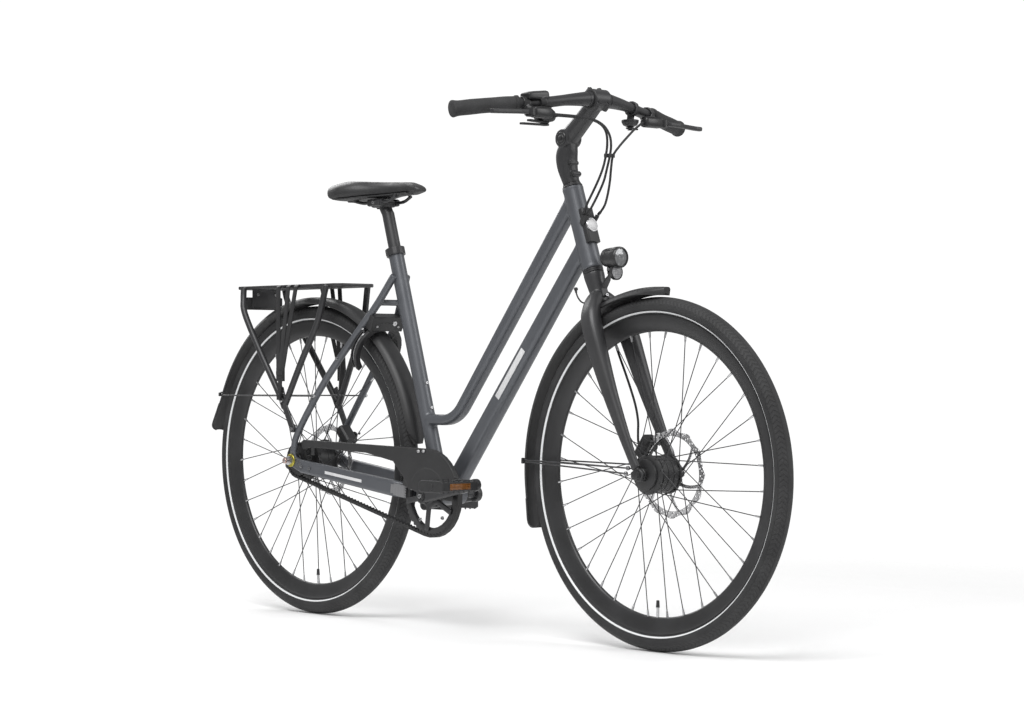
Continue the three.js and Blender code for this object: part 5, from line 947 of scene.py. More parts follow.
class Wheels:
    """Both wheels and their axles."""

    def build(self) -> list[Piece]:
        """Builds the wheels and the axles."""
        made = Wheel("front", FRONT_AXLE, Finish.FRONT_TYRE, 5, 27, FRONT_HUB, 41, 38).build()
        made += Wheel("rear", REAR_AXLE, Finish.REAR_TYRE, 1.6, 26, REAR_HUB, 42, 44,
                      rotor_radius=82, disc=Finish.REAR_DISC).build()
        made.append(Axle("front", FRONT_AXLE, "steer", [(-59, 8.6, 4, Finish.CAST),
                                                        (59, 8.6, 4, Finish.CAST)], 5.2, Finish.CAST).build())
        made.append(Axle("rear", REAR_AXLE, "frame", [(-72.2, 14.6, 3.2, Finish.BRASS),
                                                      (-88, 6.4, 5, Finish.COPPER),
                                                      (72.2, 14.6, 3.2, Finish.STEEL)], 5.2, Finish.STEEL).build())
        return made


def mix(low: float, high: float, share: float) -> float:
    """Number at a share of the way between two."""
    return low + (high - low) * share


def filleted(points: Sequence[Vector], radius: float, steps: int = 10) -> list[Vector]:
    """Polyline whose inner corners are turned into arcs of a radius."""
    found = [points[0]]
    for a, b, c in zip(points, points[1:], points[2:]):
        into, out = (b - a).normalized(), (c - b).normalized()
        turn = into.angle(out)
        start = b - into * radius * math.tan(turn / 2)
        normal = (out - into * out.dot(into)).normalized()
        for k in range(steps + 1):
            angle = turn * k / steps
            found.append(start + normal * radius * (1 - math.cos(angle)) + into * radius * math.sin(angle))
    return [*found, points[-1]]


def shares_of(path: Sequence[Vector]) -> list[float]:
    """Share of the whole length at which each place of a path lies."""
    lengths = [0]
    for a, b in zip(path, path[1:]):
        lengths.append(lengths[-1] + (b - a).length)
    return [length / lengths[-1] for length in lengths]


def sized(sizes: Sequence[Sequence[float]], share: float) -> list[float]:
    """Sizes at a share of the way through an evenly spaced list of them."""
    at = share * (len(sizes) - 1)
    k = min(int(at), len(sizes) - 2)
    return [mix(a, b, at - k) for a, b in zip(sizes[k], sizes[k + 1])]


def pipe(shape: Shape, path: Sequence[Vector], sizes: Sequence[Sequence[float]], corner: float = 0.34,
         side: Vector = Y, finish: Optional[Finish] = None) -> Faces:
    """Tube with rounded corners along a path.

    Args:
        shape: the piece that gets the tube.
        path: places along the middle of the tube.
        sizes: widths and depths, evenly spaced from one end to the other.
        corner: corner radius as a share of the smaller size.
        side: direction of the width.
        finish: finish of the tube.
    """
    outlines = []
    for share in shares_of(path):
        width, depth = sized(sizes, share)
        outlines.append(rounded(width, depth, corner * min(width, depth)))
    return shape.sweep(path, lambda i: outlines[i], side, finish)


@dataclass
class FrameTubes:
    """The welded frame: main tubes in one skin, the rear triangle in another."""

    shell_half: float = 35.0
    shell_radius: float = 21.0
    seat_radius: float = 17.0
    head_radius: float = 21.5
    head_rim: float = 22.2
    head_ends: tuple[float, float] = (449.0, 628.0)
    end_radius: float = 15.0
    end_half: float = 3.5
    axle_side: float = 68.0
    down_sizes: Sequence[Sequence[float]] = ((36, 42), (34, 39), (31, 36))
    upper_sizes: Sequence[Sequence[float]] = ((31, 33), (31, 30), (31, 29), (31, 28), (31, 26), (31, 24), (31, 23))
    chain_stay: Sequence[Sequence[float]] = ((32, 68, 340), (335, 49, 300), (378, 29, 294), (465, 20.5, 288))
    seat_stay: Sequence[Sequence[float]] = (
        (300, 18, 766, 8.5), (258, 34, 700, 8.5), (215, 49, 645, 8.3), (111, 64, 530, 8), (20, 68, 416, 7.6),
        (4, 68, 372, 7.5))

    def build(self) -> list[Piece]:
        """Builds the frame's pieces."""
        return [self.build_main(), self.build_rear(), self.build_trim(), self.build_badge()]

    def build_main(self) -> Piece:
        """Bottom shell, seat, down, upper and head tubes with soft weld fillets."""
        shape = Shape()
        shape.rod(BOTTOM - Y * self.shell_half, BOTTOM + Y * self.shell_half, self.shell_radius, 40)
        shape.rod(SEAT_FOOT, SEAT_TOP, self.seat_radius, 40)
        low, high = self.head_ends
        shape.rod(on_head(0, 0, low), on_head(0, 0, high), self.head_radius, 40)
        for foot in (low, high - 4):
            shape.rod(on_head(0, 0, foot), on_head(0, 0, foot + 4), self.head_rim, 40)
        pipe(shape, [BOTTOM.lerp(on_head(0, 0, 503), k / 12) for k in range(13)], self.down_sizes)
        heel = filleted([on_head(0, 0, 605), vec(488, 0, 450), vec(394.2, 0, 450)], 78)
        start = [heel[0].lerp(heel[1], k / 8) for k in range(8)]
        pipe(shape, start + heel[1:], self.upper_sizes)
        shape.fuse(2.3, 6)
        return shape.object("frame_main", "frame", Finish.FRAME, ["frame"], "slate_paint", 60)

    def build_rear(self) -> Piece:
        """Chain stays, seat stays, ends with their slots, rack bosses and bridges."""
        shape = Shape()
        for side in SIDES:
            stay = [vec(x, side * y, z) for x, y, z in self.chain_stay]
            path = [stay[0].lerp(stay[1], k / 6) for k in range(6)] + smooth_path(stay[1:], 6)
            pipe(shape, path, ((13, 30), (15, 33), (17, 36), (19, 36)), 0.4)
            shape.tube([(x, side * y, z, r) for x, y, z, r in self.seat_stay], 20, 8)
            axle = REAR_AXLE + Y * side * self.axle_side
            shape.rod(axle - Y * self.end_half, axle + Y * self.end_half, self.end_radius, 32)
            shape.rod(vec(14, side * 62, 424), vec(14, side * 75.8, 424), 6, 20)
            pipe(shape, [axle, vec(32, side * 68, 340)], ((7, 26), (9, 28)), 0.3)
            pipe(shape, [axle, vec(4, side * 68, 380)], ((7, 24), (9, 16)), 0.3, Y)
        shape.rod(vec(262, -33, 707), vec(262, 33, 707), 7, 20)
        shape.rod(vec(398, -26, 296), vec(398, 26, 296), 7, 20)
        shape.fuse(1.7, 4)
        return shape.object("frame_rear", "frame", Finish.FRAME, ["frame"], "slate_paint", 60)

    def build_trim(self) -> Piece:
        """Bare bands on the tubes, the toothed plates, screws, eyelets and a cable grommet."""
        shape = Shape()
        head = on_head(0, 0, 503)
        along = (head - BOTTOM).normalized()
        for side in SIDES:
            start, end = BOTTOM + along * 272, BOTTOM + along * 402
            width = sized(self.down_sizes, 337 / (head - BOTTOM).length)[0]
            turn = basis(along, Y)
            place = (start + end) / 2 + Y * side * (width / 2 + 0.1)
            shape.block((0.5, 14, 130), place, turn, Finish.PALE, 0.2)
            stay = [vec(x, side * y, z) for x, y, z in self.chain_stay]
            into = (stay[1] - stay[0]).normalized()
            turn = basis(into, Y)
            face = turn.to_3x3()
            shape.block((0.6, 6.6, 122), stay[0] + into * 150 + face @ (X * 8.2 * side), turn, Finish.PALE, 0.25)
            for gap in (9, 36):
                shape.screw(stay[0] + into * gap + face @ (X * 8.6 * side), Y * side, 3.1)
            for step, tall in ((0, 20), (9, 25), (18, 27), (27, 27), (36, 27)):
                shape.block((1.2, tall, 9.4), stay[0] + into * (312 + step) + face @ (X * 9.6 * side), turn,
                            Finish.GREY, 0.3)
            for k in range(5):
                place = stay[0] + into * 354 + face @ vec(9.6 * side, k * 5.4 - 11, 0)
                shape.block((1.2, 3.4, 5), place, turn, Finish.GREY, 0.3)
            eyelet = vec(158, side * 57, 583)
            shape.rod(eyelet, eyelet + Y * side * 12, 3.6, 18, None, Finish.STEEL)
            shape.screw(vec(14, side * 79, 424), Y * side, 4.2, Finish.STEEL)
        grommet = vec(859, 0, 724)
        shape.rod(grommet - HEAD_FORWARD * 2, grommet + HEAD_FORWARD * 2.5, 4.4, 20, 3.4, Finish.RUBBER)
        for share in (0.34, 0.44):
            spot = SEAT_FOOT.lerp(SEAT_TOP, share) + SEAT_UP.cross(Y) * -17.2
            shape.screw(spot, SEAT_UP.cross(Y) * -1, 3.4, Finish.STEEL)
        return shape.object("frame_trim", "frame", Finish.STEEL, [], "steel")

    def build_badge(self) -> Piece:
        """Cable port plate on the head tube and the plain round plate above it."""
        shape = Shape()
        shape.node("head_plate", 1.2, Finish.PLASTIC, 20, 3)
        centre = on_head(27.6, 0, 536)
        shape.turned([(0.01, 0.2), (14.4, 0.2), (14.4, 1.6), (12.6, 3.6), (9.6, 5.6), (5.4, 7), (0.01, 7.6)], centre,
                     48, HEAD_FORWARD, HEAD_UP, Finish.PALE)
        profile = [(12.6, 0), (15.2, 0), (15.2, 1.6), (14.4, 2.6), (13.2, 2.6), (12.6, 1.9)]
        shape.turned(profile, centre - HEAD_FORWARD * 0.3, 48, HEAD_FORWARD, HEAD_UP, Finish.STEEL)
        return shape.object("head_badge", "frame", Finish.PLASTIC, ["head_plate"], "alloy")


@dataclass
class Fork:
    """Fork: wide crown, two swept blades and their ends, with the headset's upper ring."""

    rise: float = 394.0
    out: float = 54.5
    blade: Sequence[Sequence[float]] = (
        (1, 0, 0), (0.968, 0.34, 0.02), (0.925, 0.6, 0.07), (0.865, 0.81, 0.13), (0.77, 0.91, 0.19), (0.6, 0.95, 0.28),
        (0.4, 0.97, 0.44), (0.13, 1, 0.8), (0.035, 1, 0.96))
    depths: Sequence[float] = (33, 36, 40, 44, 44, 39, 31, 21, 20)
    widths: Sequence[float] = (28, 28, 30, 34, 34, 29, 23, 16, 13)

    def build(self) -> list[Piece]:
        """Builds the fork and the headset's upper ring."""
        return [self.build_fork(), self.build_rings()]

    def build_fork(self) -> Piece:
        """Crown, blades and ends in one skin."""
        shape = Shape()
        for side in SIDES:
            stations = [(*on_head(f * FORK_OFFSET, side * o * self.out, r * self.rise), depth, width)
                        for (r, o, f), depth, width in zip(self.blade, self.depths, self.widths)]
            shape.loft(stations, 0.46, 6, HEAD_FORWARD)
            shape.rod(FRONT_AXLE + Y * side * 50.6, FRONT_AXLE + Y * side * 58.4, 13, 32)
        shape.turned([(0.01, 372), (15, 376), (17.4, 392), (18.2, 404), (19.8, 418), (21.2, 432),
                      (21.5, 440.3), (0.01, 440.3)], STEER_FOOT, 48, HEAD_UP, HEAD_FORWARD)
        shape.fuse(1.6, 5)
        return shape.object("fork_blades", "steer", Finish.FORK, ["fork"], "black_paint", 60)

    def build_rings(self) -> Piece:
        """Upper ring of the headset."""
        shape = Shape()
        profile = [(14.6, 628.3), (20.4, 628.3), (21, 629), (21, 630.6), (20.2, 631.4), (19, 632),
                   (19, 634.9), (14.6, 634.9)]
        shape.turned(profile, STEER_FOOT, 48, HEAD_UP, HEAD_FORWARD, Finish.BLACK)
        return shape.object("headset_top", "steer", Finish.BLACK, ["headset_cover"], "black_paint")


class Headset:
    """Lower bearing between the fork and the head tube."""

    def build(self) -> list[Piece]:
        """Builds the lower bearing's two rings."""
        shape = Shape()
        profile = [(14.8, 440.9), (20.6, 440.9), (21.3, 441.6), (21.3, 443.8), (20.7, 444.3), (20.7, 445),
                   (21.5, 445.6), (21.5, 448), (20.9, 448.6), (14.8, 448.6)]
        shape.turned(profile, STEER_FOOT, 48, HEAD_UP, HEAD_FORWARD, Finish.BLACK)
        return [shape.object("headset_low", "frame", Finish.BLACK, ["headset_bearing"], "black_paint")]


GUARD_SECTION = ((-1, -1), (-0.9, -0.66), (-0.78, -0.36), (-0.6, -0.14), (-0.36, -0.02), (0, 0),
                 (0.36, -0.02), (0.6, -0.14), (0.78, -0.36), (0.9, -0.66), (1, -1))


@dataclass
class Guard:
    """Mudguard with its flap, wires and clips."""

    name: str
    body: str
    centre: Vector
    low: float
    high: float
    flap: float
    flap_share: float
    wires: Sequence[tuple[Sequence[float], Sequence[float]]]
    radius: float = 372.0
    half: float = 27.0
    crown: float = 13.0

    def spot(self, turn: float, radius: float, side: float = 0.0) -> Vector:
        """Place on the guard at a turn in degrees."""
        return on_circle(self.centre, radius, turn, side)

    def outline(self, crown: float, half: float, thick: float = 2.0) -> list[tuple[float, float]]:
        """Thin arched section, measured across and towards the axle."""
        outer = [(half * s, -crown * h) for s, h in GUARD_SECTION]
        inner = [((half - 1.6) * s, thick - crown * h) for s, h in reversed(GUARD_SECTION)]
        return outer + inner

    def build(self) -> list[Piece]:
        """Builds the blade of the guard and its fittings."""
        shape = Shape()
        steps = int((self.high - self.low) / 2)
        path = [self.spot(mix(self.low, self.high, k / steps), self.radius) for k in range(steps + 1)]
        sections = [self.outline(self.crown, self.half) for _ in path]
        for k, share in enumerate((0.34, 0.62, 0.8, 0.91, 0.97)):
            sections[k] = self.outline(self.crown * share, self.half * share, mix(14, 2, share ** 2))
        away = (path[-1] - path[-2]).normalized()
        for share in (0.1, 0.2, 0.21, 0.4, 0.6, 0.75, 0.84, 0.9, 0.95, 0.98, 1):
            path.append(self.spot(self.high, self.radius) + away * self.flap * share)
            round_off = math.sqrt(max(0, 1 - max(0, (share - 0.75) / 0.27) ** 2.4))
            sections.append(self.outline(self.crown * mix(1, self.flap_share, share),
                                         self.half * (1 if share < 0.205 else 1.06) * round_off))
        shape.sweep(path, lambda i: sections[i], Y, Finish.GUARD)
        for side in SIDES:
            shape.screw(self.spot(self.high, self.radius + 1, 9 * side) + away * self.flap * 0.12,
                        self.spot(self.high, 1) - self.centre, 2.6, Finish.CAST)
        for (turn, side), foot in self.wires:
            start = self.spot(turn, self.radius - 10, side)
            route = filleted([self.spot(turn, self.radius + 1.6, 0), self.spot(turn, self.radius + 1.6, side * 0.75),
                              self.spot(turn, self.radius - 15, side), Vector(foot)], 5, 4)
            shape.sweep(route, round_outline(1.7, 8), self.spot(turn + 90, 1) - self.centre, Finish.BLACK)
            shape.block((5, 6, 9), start + Y * math.copysign(1.6, side), None, Finish.PLASTIC, 1.2)
            eye = Vector(foot)
            shape.rod(eye - Y * 2, eye + Y * 2, 4.4, 16, None, Finish.STEEL)
            shape.screw(eye + Y * math.copysign(2, foot[1]), Y * math.copysign(1, foot[1]), 3)
        return [shape.object(f"{self.name}_guard_blade", self.body, Finish.GUARD, [f"{self.name}_mudguard"],
                             "black_plastic", 50)]


class Guards:
    """Front and rear mudguards."""

    def build(self) -> list[Piece]:
        """Builds both guards."""
        front = [((turn, side * 29), (x, side * 61, z)) for side in SIDES
                 for turn, x, z in ((176.9, 1070, 365), (177.4, 1064, 354))]
        rear = [((156, side * 29), (86, side * 75.4, 499)) for side in SIDES]
        made = Guard("front", "steer", FRONT_AXLE, 86, 187, 78, 0.9, front).build()
        made += Guard("rear", "frame", REAR_AXLE, 7, 157, 90, 0.34, rear).build()
        return made


BAR = vec(920.3, 0, 1107.5)
BAR_HALF = 314
BAR_SHARES = ((0, 0, 0), (0.085, 0, 0.01), (0.25, 0.07, 0.165), (0.38, 0.17, 0.35), (0.5, 0.3, 0.49),
              (0.62, 0.45, 0.58), (0.8, 0.76, 0.735), (1, 1, 1))


def bar_at(y: float) -> tuple[Vector, Vector]:
    """Place on the handlebar's middle line at a distance to the side, and its direction outwards there."""
    side = math.copysign(1, y)
    line = smooth_path([BAR + vec(-78 * b, side * BAR_HALF * s, -33 * d) for s, b, d in BAR_SHARES], 6)
    for a, b in zip(line, line[1:]):
        if abs(b.y) >= abs(y) or b is line[-1]:
            return a.lerp(b, (abs(y) - abs(a.y)) / (abs(b.y) - abs(a.y))), (b - a).normalized()
    return line[-1], side * Y


@dataclass
class Casting:
    """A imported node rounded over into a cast, forged or moulded piece, with fittings on it."""

    name: str
    node: str
    body: str
    finish: Finish
    slot: str
    voxel: float = 1.0
    rounds: int = 3
    fittings: Optional[Callable[[Shape], None]] = None

    def build(self) -> list[Piece]:
        """Builds the piece; a voxel of nought keeps the node's form and softens its edges only."""
        shape = Shape()
        shape.slot(self.finish)
        shape.node(self.node, 0 if self.voxel else 0.5)
        if self.voxel:
            shape.fuse(self.voxel, self.rounds)
        if self.fittings:
            self.fittings(shape)
        return [shape.object(self.name, self.body, self.finish, [self.node], self.slot, 60 if self.voxel else 34)]


class Stem:
    """Adjustable stem: curved clamp on the steerer, round pivot, arm and bar clamp."""

    pivot: Vector = on_head(21.5, 0, 728)

    def build(self) -> list[Piece]:
        """Builds the stem's two halves."""
        return [self.build_base(), self.build_arm()]

    def build_base(self) -> Piece:
        """Lower half with its pinch bolts, under the pivot."""
        shape = Shape()
        stations = [(*on_head(f, 0, along), width, depth)
                    for f, along, width, depth in ((0, 636.5, 33, 33), (-0.5, 652, 36, 37),
                                                   (0, 674, 39, 43), (4.5, 694, 40.4, 46),
                                                   (12.5, 708, 40.4, 42), (21.5, 722, 38, 30))]
        shape.loft(stations, 0.47, 5)
        for along in (652, 676):
            place = on_head(17.5, 0, along)
            shape.rod(place - Y * 11, place + Y * 11, 6, 20)
        shape.fuse(1.2, 4)
        shape.slot(Finish.BLACK)
        for along in (652, 676):
            place = on_head(18, 0, along)
            shape.screw(place - Y * 11, -Y, 4.2, Finish.CAST)
            shape.rod(place + Y * 11, place + Y * 12.5, 4.4, 6, None, Finish.CAST)
        shape.screw(on_head(10, -17.4, 700), -Y, 2.4, Finish.STEEL)
        shape.turned(band(15, 17.8, 636.2, 639), STEER_FOOT, 40, HEAD_UP, HEAD_FORWARD, Finish.CAST)
        return shape.object("stem_clamp", "steer", Finish.BLACK, ["stem_base"], "black_paint", 60)

    def build_arm(self) -> Piece:
        """Upper half: the pivot's drum, the arm and the bar clamp with its four bolts."""
        shape = Shape()
        along = (BAR - self.pivot).normalized()
        up = Y.cross(along)
        shape.rod(self.pivot - Y * 20.4, self.pivot + Y * 20.4, 19, 48)
        shape.rod(BAR - Y * 20.5, BAR + Y * 20.5, 21.4, 48)
        reach = (BAR - self.pivot).length
        stations = [
            (*(self.pivot + along * reach * s + up * lift), width, depth) for s, lift, width,
            depth in ((0, 0, 40.6, 37.6), (0.2, 1, 40, 38), (0.5, 2, 38, 36), (0.8, 2, 38, 34), (1, 0, 40, 32))]
        shape.loft(stations, 0.47, 5)
        for side in SIDES:
            for over in SIDES:
                place = BAR + Y * side * 13.5 + up * over * 20
                shape.rod(place - along * 9, place + along * 10, 6, 20)
        shape.fuse(1.2, 3)
        shape.slot(Finish.BLACK)
        for side in SIDES:
            for over in SIDES:
                place = BAR + Y * side * 13.5 + up * over * 20
                shape.screw(place + along * 9.6, along, 3.6, Finish.CAST)
            shape.turned([(0.01, 0), (12.6, 0), (13.4, 0.8), (12.4, 1.6), (11.6, 0.9), (7.4, 0.9), (6.8, 1.9),
                          (0.01, 1.9)], self.pivot + Y * side * 20.2, 40, Y * side, Z, Finish.SATIN)
            shape.screw(self.pivot + Y * side * 21.2, Y * side, 4, Finish.CAST)
            shape.turned([(16.2, 0), (21, 0), (21.4, 0.6), (20.8, 1.4), (16.2, 1.4)], BAR + Y * side * 19.8, 48,
                         Y * side, Z, Finish.CAST)
        return shape.object("stem_arm_body", "bar", Finish.BLACK, ["stem_arm"], "black_paint", 60)


class Handlebar:
    """Swept bar, grips, brake levers, shifter with its display and the bell."""

    def build(self) -> list[Piece]:
        """Builds everything on the bar but its cords."""
        made = [self.build_bar(), self.build_grip("right", -1), self.build_grip("left", 1)]
        for side, sign in (("right", -1), ("left", 1)):
            made += Casting(f"brake_body_{side}", f"brake_perch_{side}", "bar", Finish.SATIN, "black_plastic", 0.9, 3,
                            lambda shape, sign=sign: self.on_perch(shape, sign)).build()
            made += Casting(f"brake_blade_metal_{side}", f"brake_blade_{side}", f"brake_lever_{side}", Finish.BLACK,
                            "black_paint", 0.8, 3).build()
        made.append(self.build_pod())
        for name in ("up", "down"):
            made += Casting(f"shift_paddle_{name}", f"shift_lever_{name}", f"shift_{name}", Finish.PLASTIC,
                            "black_plastic", 0.6, 2).build()
        made += Casting("bell_dome", "bell", "bar", Finish.BLACK, "black_paint", 0.8, 4).build()
        made += Casting("bell_thumb_lever", "bell_lever", "bell_thumb", Finish.PLASTIC, "black_plastic", 0.6, 2).build()
        return made

    def build_bar(self) -> Piece:
        """Bar that tapers from the clamp to the grips."""
        shape = Shape()
        places = [-BAR_HALF + BAR_HALF * k / 40 for k in range(81)]
        path = [bar_at(y if abs(y) > 0.01 else 0.01)[0] for y in places]
        radii = [mix(15.9, 11.1, min(1, max(0, (abs(y) / BAR_HALF - 0.08) / 0.2)) ** 0.8) for y in places]
        shape.sweep(path, lambda i: round_outline(radii[i], 32), Z, Finish.BLACK)
        for y in (-30, 30):
            place, along = bar_at(y)
            shape.turned(band(15.2, 16.05, -0.5, 0.5), place, 40, along, Z, Finish.SATIN)
        return shape.object("handlebar_tube", "bar", Finish.BLACK, ["handlebar"], "black_paint")

    def build_grip(self, name: str, side: float) -> Piece:
        """Grip with a clamp collar, a waist, a flared end and a cap ring."""
        shape = Shape()
        rings = ((188.6, 16.4), (189.2, 17.3), (193.6, 17.3), (194.4, 16.2), (195, 15.3), (198, 15.7),
                 (215, 16), (235, 15.3), (258, 15.2), (282, 15.6), (300, 15.4), (308, 15.5),
                 (314, 16.3), (318, 17.2), (320.4, 17.3), (322, 16.2), (322.9, 13.6), (323.3, 9))
        dense = smooth_path([Vector(r) for r in rings], 3)
        path, radii = [], []
        for y, radius in dense:
            place, along = bar_at(side * y)
            path.append(place)
            radii.append(radius)
        shape.sweep(path, lambda i: round_outline(radii[i], 40), Z, Finish.GRIP)
        place, along = bar_at(side * 191.4)
        shape.turned(band(16.8, 17.45, -1, 1), place, 40, along, Z, Finish.SATIN)
        shape.screw(place + vec(0, 0, -16.8), -Z, 1.9)
        end, along = bar_at(side * 323.3)
        shape.turned(band(7.6, 9.6, -0.4, 0.3), end, 40, along, Z, Finish.PALE)
        return shape.object(f"grip_sleeve_{name}", "bar", Finish.GRIP, [f"grip_{name}"], "rubber", 50)

    def on_perch(self, shape: Shape, side: float) -> None:
        """Clamp bolt, lever pivot and reservoir cap with its screws."""
        place, _ = bar_at(side * 174)
        pivot = vec(923.5, side * 188, 1070)
        shape.rod(pivot - Z * 6.4, pivot + Z * 7.4, 11.5, 28, None, Finish.SATIN)
        shape.block((22, 50, 21), vec(pivot.x - 1, side * 157, 1070.6), None, Finish.SATIN, 5)
        shape.block((17, 40, 1.6), vec(pivot.x - 1, side * 156, 1081.4), None, Finish.PLASTIC, 0.5)
        shape.rod(pivot - Z * 7.4, pivot + Z * 8.4, 3.6, 20, None, Finish.STEEL)
        shape.screw(place + vec(-12, 0, -8), -Z, 2.6)
        for y in (139, 170):
            shape.screw(vec(pivot.x + 4, side * y, 1080.2), Z, 1.7)

    def build_pod(self) -> Piece:
        """Shifter: clamp on the bar, wedge-shaped display over it and the round pod under it."""
        shape = Shape()
        place, along = bar_at(-140)
        shape.turned([(10.4, -7), (15.4, -7), (16.2, -6), (16.2, 6), (15.4, 7), (10.4, 7)], place, 40, along, Z)
        display = [(place.x - 4, y, place.z + lift, width, deep)
                   for y, lift, width, deep in ((-179, 11, 24, 9), (-176, 11.4, 29, 13),
                                                (-160, 12.6, 33, 17), (-132, 14.2, 34, 20),
                                                (-127, 14.6, 32, 18), (-125, 14.8, 28, 13))]
        shape.loft(display, 0.3, 4, X)
        pod = vec(897.45, -124, 1068.4)
        shape.turned([(0.01, 13.5), (10, 13.5), (17, 12), (21, 8), (22.8, 2), (22.4, -4), (20, -9),
                      (15.6, -11.6), (0.01, -11.6)], pod, 48, Z, X)
        shape.block((22, 26, 16), place.lerp(pod, 0.5), None, None, 4)
        shape.fuse(0.9, 3)
        shape.slot(Finish.SATIN)
        shape.block((22, 34, 0.8), vec(place.x - 4, -148, place.z + 22.8),
                    Matrix.Rotation(math.radians(6), 4, "X"), Finish.CLEAR, 0.3)
        shape.turned([(0.01, 0), (11, 0), (12.4, 0.8), (12.4, 1.6), (9, 2), (8.4, 1.2), (0.01, 1.2)],
                     pod - Z * 10.4, 36, -Z, X, Finish.PLASTIC)
        for k in range(3):
            turn = math.tau * k / 3 + 0.5
            shape.screw(pod + vec(7 * math.cos(turn), 7 * math.sin(turn), -11.4), -Z, 1.4)
        return shape.object("shifter_pod", "bar", Finish.SATIN, ["shifter"], "black_plastic", 60)


CORD_ROUTES = {
    "shift_cable": ((905.1, -107.6, 1069.6), (914, -91, 1069), (929, -66, 1067), (941, -40, 1064), (950, -18, 1054),
                    (954, -7, 1038), (955, -5, 1015), (951, -5, 992), (944, -6, 968), (934, -9, 944), (922, -13, 920),
                    (910, -16.5, 898), (904.5, -18, 885), (900.1, -19, 875.8)),
    "rear_brake_hose": ((917, -131.6, 1070.8), (931, -108, 1069), (945, -80, 1067), (956, -50, 1063), (962, -24, 1052),
                        (963, -7, 1034), (961, 0, 1013), (957, 0.6, 992), (950, -0.8, 966), (942, -2, 941),
                        (930, -6, 915), (918, -10, 893), (911, -12, 881.5), (907.4, -12.4, 875.6)),
    "front_brake_hose": ((922.2, 131.4, 1068.8), (938, 112, 1066), (952, 90, 1059), (962, 64, 1047), (966, 40, 1030),
                         (963, 21, 1011), (957.6, 9, 992), (955.6, 5.6, 968), (952, 6, 943), (944, 8, 917),
                         (931, 13, 896), (917, 17, 884), (905.3, 18.4, 875.8)),
    "front_caliper_hose": ((920, 30, 676), (915, 41, 650), (921, 47, 622), (936, 47, 590), (953, 47, 556),
                           (970, 47, 520), (984, 47, 486), (992, 46, 456), (994, 44, 434), (994.3, 44, 417),
                           (997.4, 44, 406.2), (1002.9, 44, 402.2)),
    "lamp_cable": ((859.9, -2, 724.6), (863, -2.5, 714), (870, -3, 704), (880, -4, 697), (891, -4, 695),
                   (902, -3.5, 698), (912.2, -2.9, 702.2)),
}


class Cords:
    """Hoses and cables, those from the bar cut into an upper and a lower stretch."""

    clip: Vector = vec(951, 0, 992)
    thick: float = 2.5
    thin: float = 1.7

    def build(self) -> list[Piece]:
        """Builds every cord, its sleeves and its clips."""
        made = []
        for name in ("shift_cable", "rear_brake_hose", "front_brake_hose"):
            route = [Vector(p) for p in CORD_ROUTES[name]]
            middle = min(range(len(route)), key=lambda i: (route[i] - self.clip).length)
            line = smooth_path(route, 6)
            cut = middle * 6
            upper = self.cord(f"{name}_upper", line[:cut + 1], self.thick, name, (0,))
            self.row(line[int(cut * 0.45)])
            self.row(line[cut])
            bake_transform(upper)
            lower = self.cord(f"{name}_lower", line[cut:], self.thick, name, (-1,))
            self.row(line[cut])
            self.row(line[-8])
            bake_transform(lower)
            made += [upper, lower]
        made.append(self.build_clip())
        names = ("front_caliper_hose", "lamp_cable")
        lines = [smooth_path([Vector(p) for p in CORD_ROUTES[name]], 6) for name in names]
        hose = self.cord("front_caliper_hose_line", lines[0], self.thick, "front_caliper_hose", (0, -1), "steer")
        lead = self.cord("lamp_cable_line", lines[1], self.thin, "lamp_cable", (0,))
        self.row(Vector(CORD_ROUTES["lamp_cable"][0]))
        self.row(Vector(CORD_ROUTES["lamp_cable"][-1]))
        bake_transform(lead)
        return [*made, hose, lead]

    def row(self, place: Vector) -> tuple[float, float, float]:
        """Machine place as a place in the frame, in metres."""
        return tuple(TO_ROW @ place)

    def cord(self, name: str, line: Sequence[Vector], radius: float, node: str, sleeves: Sequence[int],
             body: str = "") -> Piece:
        """One stretch of cord with a sleeve at the named ends."""
        shape = Shape()
        shape.sweep(line, round_outline(radius, 12), Y if abs((line[1] - line[0]).normalized().y) < 0.8 else Z,
                    Finish.RUBBER)
        for end in sleeves:
            near, far = (line[0], line[3]) if end == 0 else (line[-1], line[-4])
            along = (far - near).normalized()
            shape.rod(near, near + along * 8, radius + 1, 16, radius + 0.7, Finish.SATIN)
        return shape.object(name, body, Finish.RUBBER, [node], "rubber", 60)

    def build_clip(self) -> Piece:
        """Small clip that gathers the three cords."""
        shape = Shape()
        for place in (vec(951, -5, 992), vec(957, 0.6, 992), vec(957.6, 9, 992)):
            shape.rod(place - Z * 4, place + Z * 4, 3.9, 18, None, Finish.PLASTIC)
        shape.fuse(0.5, 2)
        shape.slot(Finish.PLASTIC)
        return shape.object("cord_clip", "steer", Finish.PLASTIC, [], "black_plastic", 60)


SADDLE_STATIONS = (
    (0, 0.7, 0.88, 0.26), (0.02, 0.86, 0.94, 0.12), (0.1, 0.97, 0.97, 0.04), (0.2, 1, 0.97, 0.08),
    (0.32, 0.86, 0.94, 0.14), (0.45, 0.6, 0.89, 0.19), (0.58, 0.42, 0.85, 0.23), (0.72, 0.32, 0.81, 0.26),
    (0.85, 0.27, 0.76, 0.28), (0.94, 0.24, 0.67, 0.27), (0.985, 0.18, 0.54, 0.28), (1, 0.13, 0.46, 0.31))
SADDLE_SECTION = (
    (0, 1), (0.3, 1), (0.56, 0.985), (0.76, 0.93), (0.9, 0.82), (0.97, 0.66), (1, 0.46), (0.985, 0.24), (0.9, 0.06),
    (0.5, 0))


